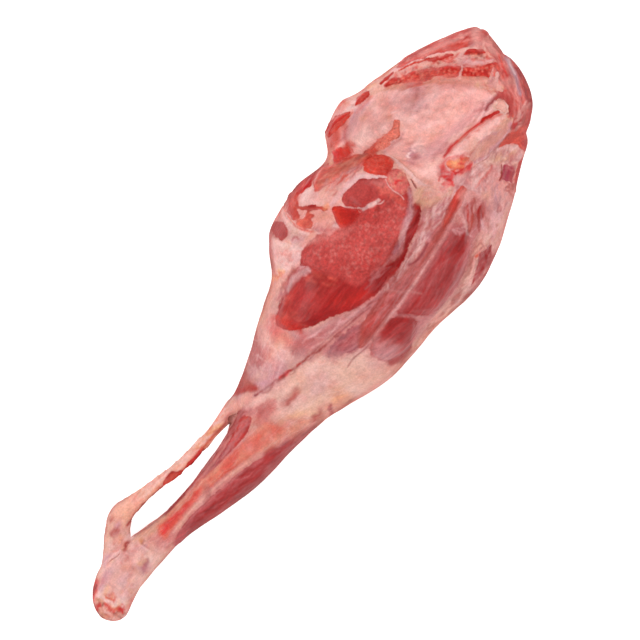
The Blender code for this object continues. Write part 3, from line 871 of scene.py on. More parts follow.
def thigh() -> List[Patch]:
    """The large inner muscle of the thigh: bare and dark at its left, cut across at its right.

    Returns:
        The patches, in the order that they are laid.
    """
    return [
        cover("membrane of the thigh", Tone.MAUVE_PINK, [238, 10, 246, 10, 256, 3, 268, -4, 284, -13, 300,
            -20, 296, -24, 278, -20, 262, -14, 248, -10, 240, 0], edge=3.0, turn=-24, grain=0.15),
        stain("mauve of the membrane", Tone.MAUVE_RED, [234, 8, 240, 8, 248, 4, 256, 0], 0.5, width=1.6,
            edge=3.0),
        stain("pale membrane", Tone.LILAC, [250, 6, 262, -0.6, 276, -8, 290, -15], 0.85, width=1.2,
            edge=2.0),
        *streaks("streak of the membrane", Tone.PALE_LILAC, [242, 8, 262, -2, 294, -18, 280, -17, 256, -9,
            244, -4], 22, 12, 0.3, -27, 0.5),
        lean("inner muscle", Tone.DARK, [243.4, 22, 243.6, 27, 246, 30.4, 251, 32.4, 258, 34.4, 267, 37,
            278, 38.6, 289, 38.4, 298, 41.2, 306, 40.6, 312, 38.2, 316, 35, 317, 31, 322, 29, 327, 25.6,
            334, 22.4, 342, 22, 346, 36, 356, 37, 364, 35, 368, 28, 374, 22, 381, 19, 381, 10, 376, 2, 371,
            -3, 366, -6.4, 371, -7, 374, -8.6, 369, -13, 362, -16.4, 350, -19.4, 338, -21.4, 326, -22.6,
            314, -22.2, 303, -20, 294, -16.6, 286, -12.6, 279, -8, 272, -3, 264, 2.4, 257, 7, 251, 11.6,
            246.6, 16.4], rise=1.5, crown=5.0, edge=1.6, rag=0.3, turn=-6),
        stain("soft tip", Tone.MARROW_RED, [238.6, 15, 239, 22, 240.6, 28, 244, 31.6], 0.9, width=3.6,
            edge=5.0),
        stain("orange tip", Tone.CUT_BONE, [249, 12, 250.6, 20, 250, 27, 248, 31], 0.75, width=2.8,
            edge=2.4, rag=0.5),
        stain("bright of the tip", Tone.BRIGHT, [247, 19, 248.4, 25, 249, 30], 0.6, width=1.5, edge=2.0,
            rag=0.6),
        stain("warm heart", Tone.BRIGHT, [256, 28, 263, 32, 274, 31, 272, 26, 262, 24], 0.3, edge=4.0),
        stain("sheen of the muscle", Tone.CUT, [258, 22, 266, 24, 278, 22, 288, 18, 284, 12, 268, 12], 0.3,
            edge=6.0),
        stain("soft sheen", Tone.MAUVE_RED, [251, 26, 254, 32], 0.4, width=1.6, edge=3.0),
        stain("deep red heart", Tone.DARK, [272, 2, 282, -4, 292, -10], 0.6, width=5, edge=5.0),
        stain("orange lower heart", Tone.CUT_BONE, [280, 2, 290, -8, 298, -16], 0.5, width=4.0, edge=5.0),
        *streaks("fibre of the inner muscle", Tone.CUT, [250, 14, 254, 34, 284, 32, 290, 8, 282, -2, 266,
            6], 30, 16, 0.3, -3, 0.35, 4),
        *streaks("dark fibre of the inner muscle", Tone.MAROON, [254, 12, 256, 34, 284, 32, 292, 8, 290, -8,
            268, 4], 24, 12, 0.3, -4, 0.22, 5),
        *streaks("pit of the inner muscle", Tone.MAROON, [274, 30, 296, 30, 299, 4, 286, 6], 26, 5, 0.6,
            -84, 0.28, 8, edge=1.4),
        *streaks("light of the folds", Tone.SALMON, [280, 30, 297, 32, 299, 12, 286, 14], 18, 5, 0.5, -80,
            0.35, 10, edge=1.4),
        *streaks("shine of the tip", Tone.SALMON, [248, 14, 254, 32, 266, 34, 262, 22], 20, 5, 0.5, -70,
            0.25, 20, edge=1.4),
        # Painted shade in the folds of the inner muscle.
        stain("painted fold shade", Tone.MAROON, [287, 29, 287.8, 24, 288.4, 16, 289.4, 8], 0.3, width=0.9,
            edge=1.8),
        stain("second painted fold shade", Tone.MAROON, [292, 24, 293.6, 17, 295, 10], 0.3, width=0.8, edge=1.8),
        stain("third painted fold shade", Tone.MAROON, [278, 25, 279, 20, 279.4, 16], 0.35, width=0.7, edge=1.8),
        veil("upper membrane", Tone.MAUVE_PINK, [259, 35.6, 268, 38.4, 278, 39.4, 286, 38.6, 289.4, 36, 290,
            30, 288, 27.4, 285, 29.4, 279, 32, 272, 34, 265, 34.6], 0.8, edge=1.6, rag=1.0),
        stain("white of the upper membrane", Tone.LILAC, [270, 35, 278, 34.6, 285, 33.4, 289, 31], 0.9,
            width=1.5, edge=2.0, rag=0.8),
        stain("red through the membrane", Tone.MAUVE_RED, [268, 39.2, 276, 39.4, 282, 39], 0.8, width=1.0,
            edge=1.6, rag=0.8),
        cover("rolled end of the membrane", Tone.PALE_LILAC, [287, 37, 289.4, 34.6, 289.8, 31, 288.4, 28],
            width=0.7, edge=0.9, rag=0.8, rise=0.4),
        lean("cut face", Tone.CUT, [291, 38.6, 298, 41, 306, 40.4, 312, 38, 316, 35, 317, 31, 322, 29, 327,
            25.6, 334, 22.4, 341, 22, 345, 20, 349, 17.4, 354, 15, 359, 15, 363, 20, 366, 24, 369, 20, 368,
            10, 368.6, 2, 366, -4, 360, -6, 350, -7.6, 338, -9, 326, -12, 316, -9, 306, -7, 300, -5, 299, 2,
            297, 10, 294.6, 18, 292, 25, 290.6, 32], edge=2.2, rag=0.9, grain=1.0, rise=0.4, crown=2.0),
        # Painted shade along the fold at the left of the cut face.
        stain("painted shade left of the cut face", Tone.BROWN, [293.6, 32, 296, 20, 299, 6, 301, -3], 0.5, width=2.0,
            edge=3.0),
        stain("pink bloom of the cut face", Tone.MARROW_RED, [312, 20, 324, 8, 340, 0, 356, 2], 0.3,
            width=6, edge=8.0),
        stain("pink top of the cut face", Tone.ROSE_FACE, [316, 28, 322, 26, 330, 21, 336, 20], 0.6,
            width=2.2, edge=4.0, rag=1.0),
        stain("pink right of the cut face", Tone.ROSE_FACE, [363, 26, 366, 20, 366, 12], 0.7, width=2.4,
            edge=3.0, rag=1.0),
        stain("dark top of the cut face", Tone.BROWN, [300, 38, 306, 36, 312, 33], 0.5, width=2.0,
            edge=4.0),
        stain("dark behind the wedge", Tone.BROWN, [328, 20, 338, 18, 346, 13, 352, 11], 0.7, width=3.0,
            edge=4.0),
        stain("red behind the wedge", Tone.CUT_BONE, [334, 20, 342, 16, 348, 12], 0.3, width=1.6, edge=3.0),
        *streaks("fleck of the cut face", Tone.ROSE_FACE, [300, 34, 316, 28, 342, 14, 362, 10, 366, -2, 340,
            -7, 318, -8, 302, -2], 160, 1.2, 0.35, 15, 0.45, 60),
        *streaks("pit of the cut face", Tone.BROWN, [300, 34, 316, 28, 342, 14, 362, 10, 366, -2, 340, -7,
            318, -8, 302, -2], 160, 1.4, 0.35, -30, 0.4, 60),
        stain("orange strip of the cut face", Tone.SALMON, [361, 24, 363.6, 18, 365, 10, 364, 2], 0.6,
            width=1.6, edge=2.4, rag=0.8),
        stain("deep band", Tone.DEEPEST, [299, -13, 302, -8.4, 310, -8.6, 317, -11.4, 323, -15.6, 330,
            -18.6, 338, -19, 330, -22, 314, -21.6, 303, -19], 0.85, edge=2.2, rag=0.6),
        *streaks("light of the deep band", Tone.MAUVE_PINK, [297, -10, 302, -6, 318, -10, 326, -15, 312,
            -15, 300, -14], 9, 8, 0.3, -14, 0.45),
        veil("brown band", Tone.MAUVE_PINK, [318, -11, 330, -10.4, 347, -8.8, 358, -6.8, 367, -3, 376, 3,
            374, -3, 365, -8.2, 353, -10.8, 346, -14, 339, -17.6, 330, -17, 324, -14], 0.75, edge=2.2,
            rag=0.8),
        stain("mauve of the band", Tone.COOL_LILAC, [332, -12, 344, -11.4, 356, -8.4, 367, -4, 374, 1], 0.6,
            width=1.4, edge=2.0, rag=0.6),
        *streaks("streak of the band", Tone.PALE_LILAC, [326, -12, 344, -10, 366, -4, 374, 1, 362, -8, 344,
            -14], 14, 9, 0.25, 14, 0.6),
        stain("dark strip", Tone.DEEPEST, [342, -17.4, 351, -15, 361, -12.4, 371, -9], 0.85, width=2.2,
            edge=1.6),
        stain("fibre of the dark strip", Tone.CUT, [350, -13.4, 360, -11, 369, -7.6], 0.5, width=0.5,
            edge=1.2),
        lean("brown round muscle", Tone.BROWN, [340.6, 31, 341.4, 35.4, 344, 38.4, 350, 38.6, 357, 36.6,
            361.4, 33, 363.6, 28, 363, 22.6, 360, 18.6, 355, 17.8, 349.6, 19.4, 345, 23, 342, 27], edge=1.0,
            grain=0.7, rise=0.7, crown=2.4),
        stain("dark of the round muscle", Tone.DARK, [346, 24, 353, 22, 360, 24], 0.4, width=1.6, edge=3.0),
        lean("bright wedge", Tone.CUT_BONE, [325.8, 28, 327.4, 32, 330.6, 37, 333.6, 40.2, 336, 39.6, 338.6,
            36, 341, 31, 342.6, 26.4, 341.8, 23, 338.4, 21.8, 333.4, 22.4, 328.4, 24.8], edge=1.0,
            grain=0.5, rise=0.6, crown=2.0, turn=-60),
        stain("orange of the wedge", Tone.BRIGHT, [329, 29, 332, 34, 335, 38], 0.6, width=1.4, edge=2.0),
        stain("dark of the wedge", Tone.DEEPEST, [334, 24, 339, 25, 339, 31], 0.5, width=1.6, edge=2.4),
        lean("right red muscle", Tone.BRIGHT, [368.4, 33, 370, 37.4, 374, 39.4, 378.4, 38.2, 382.4, 35.4,
            385.6, 31, 387.4, 27, 386.4, 22.8, 382.8, 20.6, 378, 20.4, 374.4, 21.6, 371.2, 26], edge=1.0,
            grain=0.8, rise=0.8, crown=2.4),
        *streaks("fleck of the right muscle", Tone.SALMON, [369, 33, 374, 38, 382, 34, 386, 26, 380, 21,
            374, 23], 30, 1.6, 0.4, -40, 0.6, 60),
        stain("dark side of the right muscle", Tone.CUT_BONE, [372, 25, 376, 22, 382, 22], 0.6, width=1.2,
            edge=2.0),
        lean("lower right muscle", Tone.MARROW_RED, [368.4, 18, 372, 19.8, 378, 19, 382, 17, 382.6, 12, 380,
            7, 375, 4.4, 370, 4.8, 368, 11], edge=1.2, grain=0.8, rise=0.4),
        *streaks("fleck of the lower right muscle", Tone.PEACH, [369, 17, 378, 18, 382, 12, 376, 5, 370, 6],
            26, 2.0, 0.4, -30, 0.55, 60),
        stain("bright dot", Tone.VIVID, [373, 12.6, 375.4, 12.6, 377, 11.6], 0.95, width=1.2, edge=0.9,
            rag=1.2),
        cover("seam round the brown muscle", Tone.PALE_LILAC, [336, 42.6, 343, 41.4, 351, 40, 358, 38,
            363.6, 35.6, 366, 32.6, 368, 28, 370.4, 24, 372.6, 20.6], width=1.4, edge=1.0, rag=0.5,
            grain=0.3),
        stain("white of the seam", Tone.WHITE, [350, 40.2, 358, 38, 364, 35.4, 367, 31, 369.6, 25.6], 0.8,
            width=0.7, edge=1.0),
        sinew("seam left of the brown muscle", [339.6, 38, 340.4, 32, 342.4, 27, 344.6, 23], 0.8,
            width=0.4),
        cover("seam below the brown muscle", Tone.LILAC, [343.6, 24.6, 347, 20.6, 350.6, 17.6, 354, 15.4,
            358, 14], width=1.0, edge=1.0, rag=0.8, grain=0.3),
        stain("white below the brown muscle", Tone.WHITE, [349, 18.4, 352.4, 16, 357, 15.4], 0.9, width=0.8,
            edge=1.0, rag=0.8),
        sinew("branch of the seam", [352, 16.6, 355, 13.4, 358.4, 12.6], 0.8, width=0.5),
        sinew("line of the lower right", [371, 20, 368.6, 16.6, 367.6, 12, 367.8, 6, 366.4, 2], 0.85,
            width=0.35),
        sinew("branch of the lower right", [367.6, 12, 371, 15.4, 373, 18.6], 0.6, width=0.3),
        sinew("curl of the lower right", [368, 5, 372, 2.6, 376, 4], 0.6, width=0.3),
        blood("dark fibre", [340, 10.4, 347, 10.2, 351, 12.4], 0.4, width=0.5),
        *streaks("dark fibre near the seam", Tone.MAROON, [338, 14, 352, 14, 350, 8, 340, 8], 8, 4, 0.35,
            20, 0.5),
        blood("slit by the hip", [378.6, -2, 380, 1.6, 381.4, 5], 0.75, width=0.9, rise=-1.2, crown=1.0),
        sinew("lip of the slit", [380.6, -3.4, 382.4, 1, 383.6, 6], 0.7, width=0.4),
        form("step of the cut face", [290.6, 36, 292, 26, 295, 14, 298.6, 2], -0.6, 1.2, width=1.2),
        stain("deep heart of the cut face", Tone.DARK, [262, 26, 268, 25, 276, 24], 0.75, width=3.2,
            edge=3.0, rag=0.6),
        stain("pink by the fold", Tone.PINK, [302, 44, 306, 42, 309, 40], 0.8, width=2.6, edge=2.4,
            rag=0.8),
        stain("rose of the upper face", Tone.MARROW_RED, [312, 34, 318, 32, 325, 26], 0.6, width=3.0,
            edge=2.6, rag=0.6),
        stain("rose by the fold", Tone.ROSE_FACE, [311, 37, 316, 35, 319, 33], 0.6, width=2.6, edge=2.4,
            rag=0.8),
        stain("rose under the fold", Tone.MARROW_RED, [321, 27, 326, 25, 329, 22], 0.6, width=2.8, edge=2.6,
            rag=0.8),
    ]


def behind_the_thigh() -> List[Patch]:
    """The muscles, fat and bone between the cut face and the heel side.

    Returns:
        The patches, in the order that they are laid.
    """
    band = [338, 57, 341, 59.6, 347, 62.4, 354.4, 62.6, 358.4, 60.2, 361.5, 57, 367, 53.8, 372.6, 49.2, 378,
        45.2, 383, 42.8, 389, 40.6, 395, 40.4, 399, 38, 395, 34, 387, 34.8, 381, 36.6, 375, 39, 367, 42.4,
        359, 46.2, 351, 50.8, 343.4, 54]
    seam = [338, 54, 344, 53, 352, 49.6, 360, 45, 368, 41, 356, 40, 344, 41, 337, 44]
    lobes = [311, 46, 313, 55, 317, 55.6, 323, 54, 323, 50, 318, 45.6]
    return [
        cover("fat behind the thigh", Tone.BACK_FAT, [288, 41, 300, 43, 314, 40, 318, 30, 330, 24, 342, 28,
            342, 40, 366, 39, 384, 37, 400, 40, 392, 62, 376, 74, 350, 66, 330, 74, 300, 74, 276, 60, 268,
            50, 278, 41], edge=1.4, rag=1.2),
        stain("white fat knob", Tone.WHITE, [276, 47, 284, 58, 292, 64, 294, 58, 300, 54, 310, 60, 314, 68,
            308, 50, 300, 42, 290, 41, 280, 43], 0.9, edge=3.0),
        *streaks("pink of the knob", Tone.PINK, [280, 46, 286, 57, 292, 54, 292, 43, 284, 43], 26, 3, 0.6,
            60, 0.5, 70, edge=1.4),
        *streaks("red of the knob", Tone.SALMON, [280, 44, 286, 52, 296, 54, 306, 44, 290, 42], 10, 2, 0.3,
            30, 0.4, 70),
        stain("lilac fat", Tone.LILAC, [298, 54, 306, 56, 309, 50, 308, 44, 300, 44], 0.55, edge=3.0),
        stain("lilac by the groove", Tone.LILAC, [308, 68, 306, 61, 305.6, 54, 307, 47], 0.6, width=1.4,
            edge=2.4),
        stain("ochre of the fat", Tone.GOLD, [271, 48.6, 274, 46, 277, 49], 0.7, width=1.4, edge=1.6,
            rag=1.4),
        stain("red of the ochre", Tone.SALMON, [272.6, 48, 274.6, 44.6, 276, 47.6], 0.7, width=0.6,
            edge=1.2, rag=1.0),
        # Painted shade along the contour beside the knob.
        stain("shade of the knob edge", Tone.BROWN_AND_SHADE, [268, 50.6, 276, 54.4, 283, 61, 290, 67, 298,
            69.8], 0.85, width=1.1, edge=2.0, rag=0.6),
        stain("grey painted shade of the knob edge", Tone.MAUVE_PINK, [284, 61, 290, 65.4, 296, 68.4], 0.9, width=2.2,
            edge=2.4),
        stain("vein of the knob", Tone.COOL_LILAC, [300.6, 52.6, 302.6, 51, 302, 48.4, 304.4, 47], 1.0,
            width=1.2, edge=1.6, rag=1.0),
        stain("dark of the knob vein", Tone.MAUVE, [301, 52, 303.4, 50.6, 302.6, 48], 0.8, width=0.5,
            edge=1.0, rag=0.6),
        lean("oval of the knob", Tone.BROWN, [295.2, 61, 296.4, 65.6, 299.4, 69, 303.2, 69.4, 306.2, 67,
            306, 62.4, 303.4, 58, 299.4, 56.4, 296, 57.6], edge=1.0, grain=0.6, rise=-0.3),
        stain("heart of the oval", Tone.COVERED, [300, 60, 302, 65], 0.5, width=2.4, edge=4.0),
        stain("rim of the oval", Tone.MAROON, [296, 57.6, 294.8, 61.6, 296, 66, 299.4, 69.4], 0.5,
            width=0.5, edge=1.0),
        sinew("white of the oval", [307, 67, 306.6, 61.6, 304, 57, 299, 55.4], 0.5, width=0.5),
        form("lumps of the knob", [282, 53, 290, 49], 1.2, 4.0, width=4),
        form("groove of the knob", [318, 71, 312, 65, 309.6, 57, 310.4, 49, 314, 42], -1.1, 1.2, width=1.0),
        stain("line in the groove", Tone.SALMON, [316, 68, 312, 62, 310, 56.4, 309.9, 50, 311.4, 44.5,
            314.4, 39.4], 0.9, width=0.45, edge=0.9),
        stain("pale lip of the groove", Tone.WHITE, [314.6, 70, 309.6, 64, 307.8, 58, 307.8, 51, 309.4, 45],
            0.7, width=0.8, edge=1.4),
        lean("band muscle", Tone.BAND, [312.2, 58.3, 313, 61, 315.8, 65, 318.9, 68.2, 322.1, 70.6, 325.4,
            72, 329, 71, 331, 68, 331.4, 66, 329.2, 64.2, 326.8, 64.6, 325.2, 61.9, 323.7, 61.1, 320.9, 61,
            318.9, 58.3, 315.8, 57], edge=1.0, rag=0.5, grain=0.5, rise=0.9, crown=2.0, turn=50),
        stain("deep of the band muscle", Tone.COVERED, [315, 61, 319, 65.6, 324, 68.6, 328, 67.6], 0.5,
            width=1.6, edge=2.6),
        stain("white fleck of the band", Tone.PINK, [321.6, 62.6, 323, 63.6, 324, 63.8], 0.8, width=0.4,
            edge=0.8),
        stain("brown edge of the band muscle", Tone.MAROON, [318, 70, 324, 72.4, 330, 70.8, 336, 69], 0.7,
            width=0.8, edge=1.2, rag=0.5),
        lean("salmon oval", Tone.BAND_SALMON, [310.6, 54.8, 313, 56.1, 316.6, 56, 318.9, 54.4, 320.5, 53.2,
            322.1, 54.8, 323.7, 54, 323.3, 50, 321.7, 47.3, 319.7, 48.5, 318.1, 45.3, 315.8, 43.7, 313.4,
            44.5, 311.4, 48.5], edge=1.1, rag=0.6, grain=0.5, rise=0.6, crown=1.6),
        stain("deep of the salmon oval", Tone.BAND, [320, 52, 321.4, 49.6], 0.9, width=1.6, edge=2.0),
        *streaks("fleck of the lobes", Tone.BAND, lobes, 18, 2.4, 0.5, 40, 0.5, 60),
        cover("white nick", Tone.PINK, [317.6, 57, 320.4, 57.6, 321.8, 55.6, 320.6, 53.6, 319.4, 54.4,
            318.6, 55.4], edge=1.0, rag=0.8),
        cover("white lobe", Tone.LOBE, [324.6, 58.6, 326.4, 60.9, 329.2, 61.7, 333.9, 62.6, 337, 61.4,
            338.8, 59.1, 338, 55.6, 337, 53.2, 336.6, 48, 336, 43, 333.4, 46.4, 330.8, 50, 330, 54, 327.6,
            56.4], rag=0.8, rise=0.8, crown=2.4, edge=1.2),
        stain("white of the white lobe", Tone.WHITE, [328, 60, 333, 60.4, 336, 58.6], 0.7, width=1.5,
            edge=2.4),
        stain("pink of the white lobe", Tone.PINK, [334, 56, 334.6, 51, 335, 46], 0.7, width=1.6, edge=2.4),
        stain("mauve of the white lobe", Tone.MAUVE_PINK, [336, 56, 341, 58, 340, 54.4], 0.6, width=1.2,
            edge=2.0),
        lean("red strip", Tone.AITCH, [321.6, 60.6, 323.4, 57.4, 325.4, 53.6, 327.6, 49.4, 330, 45, 331.4,
            43], width=1.45, edge=1.0, rise=0.7, crown=1.4, turn=-60),
        stain("red of the strip", Tone.COVERED, [323.4, 57, 325.4, 53, 328, 48], 0.5, width=0.6, edge=1.4),
        stain("orange of the strip", Tone.ORANGE, [331.4, 44.6, 333.4, 44.2, 335, 44.8], 0.85, width=1.6,
            edge=1.6, rag=0.6),
        lean("dark nick of the strip", Tone.WEDGE, [326.6, 55.4, 328.4, 54.4, 330, 50.8, 329.2, 50.2, 327.6,
            52.6], edge=0.9, rag=0.6),
        cover("cream lobe", Tone.PINK, [318.5, 43, 319.7, 46.1, 322.9, 46.5, 326.8, 46.1, 329.2, 43, 330.8,
            39.8, 330, 36.7, 327.2, 33.5, 324.4, 34.2, 320.5, 36.6, 318, 40], rag=0.8, rise=1.0, crown=2.4,
            edge=1.2),
        stain("peach of the cream lobe", Tone.PEACH, [322, 44, 326, 42, 328, 38], 0.6, width=2.0, edge=3.0),
        cover("white streak of the lobe", Tone.MAUVE_PINK, [313.6, 40.4, 316.4, 37.4, 318.6, 34, 322, 30.8,
            325.4, 30.6], width=1.9, edge=1.4, rag=1.2),
        *streaks("white strand of the lobe", Tone.WHITE, [312, 42, 318, 38, 326, 32, 322, 29, 315, 34], 16,
            4, 0.35, -50, 0.6, 20),
        *streaks("lilac strand below the lobe", Tone.LILAC, [317, 31, 326, 29, 330, 24, 322, 27], 12, 4,
            0.4, -30, 0.7, 20),
        lean("muscle behind the clot", Tone.BAND, [343, 67, 347.4, 65.8, 354.4, 64, 358.4, 61.4, 360, 59,
            354, 60, 347, 62], edge=1.2, rag=0.6, turn=-20),
        lean("bright edge muscle", Tone.CUT_BONE, [329.4, 66, 331, 70, 336, 69.4, 342.6, 68.4, 347, 66, 349,
            63.6, 345, 62, 341.8, 61.6, 338.6, 60.9, 335.5, 62.5, 332.3, 62.8], edge=1.0, rise=0.5,
            turn=-10, rag=0.5),
        stain("crimson of the edge muscle", Tone.CRIMSON, [334, 65.6, 339, 65.4, 343, 64.4, 345, 64], 0.9,
            width=1.5, edge=1.6, rag=0.6),
        stain("pink fleck of the edge muscle", Tone.SALMON, [336, 65.8, 339, 66.2], 0.8, width=0.5,
            edge=1.0, rag=0.6),
        blood("clot of the edge muscle", [336, 63, 340, 62.8, 344, 63.4], 0.45, width=0.6, rag=0.8),
        stain("dark edge", Tone.MAROON, [330, 70, 336, 69.4, 342, 68.6, 348, 66, 354, 64.2, 358, 61.8], 0.8,
            width=0.9, edge=1.0, rag=0.7),
        stain("mauve rim", Tone.MAUVE_RED, [358, 60.6, 361, 58.4, 364, 57.4], 0.8, width=1.2, edge=2.0,
            rag=0.8),
        lean("aitch bone band", Tone.AITCH, band, edge=1.1, rag=0.7, rise=1.2, crown=2.4, turn=-32),
        stain("deep of the band", Tone.COVERED, [344, 57.6, 350, 55.6, 358, 52.4, 366, 48.4, 374, 43.8, 382,
            39.6], 0.7, width=1.4, edge=2.2, rag=0.3),
        stain("orange top of the band", Tone.SALMON, [346, 60.6, 354, 59.6, 361, 55.4, 368, 51, 376, 45.4],
            0.6, width=0.9, edge=1.8),
        stain("pale line of the band", Tone.PINK, [342, 59.6, 348, 61, 354, 61], 0.5, width=0.6, edge=1.2),
        *streaks("streak of the band", Tone.PEACH, [340, 58, 352, 60, 372, 47, 392, 38, 384, 36.6, 362, 47,
            344, 55], 34, 12, 0.35, -30, 0.35, 6),
        *streaks("dark streak of the band", Tone.MAROON, [340, 58, 352, 60, 372, 47, 392, 38, 384, 36.6,
            362, 47, 344, 55], 26, 9, 0.3, -30, 0.25, 6),
        stain("orange end of the band", Tone.SALMON, [380, 40, 386, 38.6, 394, 37.6], 0.8, width=2.2,
            edge=2.4),
        lean("lower strip of the band", Tone.BAND_SALMON, [355, 41.4, 361, 40.8, 368, 40, 376, 38.4],
            width=1.3, edge=1.3, rag=0.7, turn=-10),
        stain("pink below the band", Tone.PINK, seam, 0.7, edge=3.0),
        stain("white by the seam", Tone.WHITE, [341, 42.6, 348, 44, 356, 42, 362, 40.6, 354, 41, 346, 41.4],
            0.75, edge=1.6, rag=0.8),
        *streaks("lilac by the seam", Tone.LILAC, seam, 26, 7, 0.5, -16, 0.5, 12),
        *streaks("salmon by the seam", Tone.SALMON, seam, 16, 5, 0.35, -18, 0.5, 14),
        stain("brown fleck", Tone.BROWN, [341.6, 45.8, 344, 45, 346.4, 43.9], 0.8, width=0.7, edge=1.0,
            rag=0.8),
        stain("red fleck", Tone.AITCH, [351.4, 47, 355, 46.2, 359.6, 44.8], 0.9, width=0.85, edge=1.0,
            rag=0.6),
        stain("line of the seam", Tone.MAUVE, [361, 43.6, 367, 41.6, 373, 39.6], 0.6, width=0.5, edge=1.0,
            rag=0.6),
        lean("bright hip patch", Tone.FLECK, [363, 57.1, 367.4, 60, 369, 61.7, 371.8, 61.2, 374.9, 61.7,
            376.9, 59.5, 378.1, 56.4, 378.5, 52.4, 377.3, 49.3, 375.3, 48.2, 374.1, 50.6, 371.8, 51.4,
            368.6, 53, 364.7, 55.4], edge=1.1, rag=0.6, rise=0.6, turn=60),
        stain("vivid of the hip patch", Tone.VIVID, [369.6, 59.4, 374, 58.6, 376, 54], 0.7, width=1.8,
            edge=2.4),
        stain("fade of the hip patch", Tone.SALMON, [364.6, 56.4, 369, 53, 374.4, 49.4], 0.5, width=1.0,
            edge=2.0),
        cover("white hip membrane", Tone.PEACH, [358, 62, 364, 63, 369, 70, 374, 69.4, 379, 64, 374, 62.6,
            368, 62.6, 363, 59.6], rag=1.2, rise=0.4, edge=2.0),
        stain("cream of the hip", Tone.CREAM, [380, 46.4, 386, 44.6, 392, 43], 0.6, width=1.4, edge=2.4),
        stain("rose over the clot", Tone.BAND, [322, 63, 327, 66, 329, 68], 0.8, width=2.4, edge=2.0,
            rag=0.6),
        blood("contour of the tail muscle", [327, 71.4, 334, 70.6, 342, 68.2, 350, 65, 358, 61], 0.5,
            width=0.5, rag=0.6),
    ]


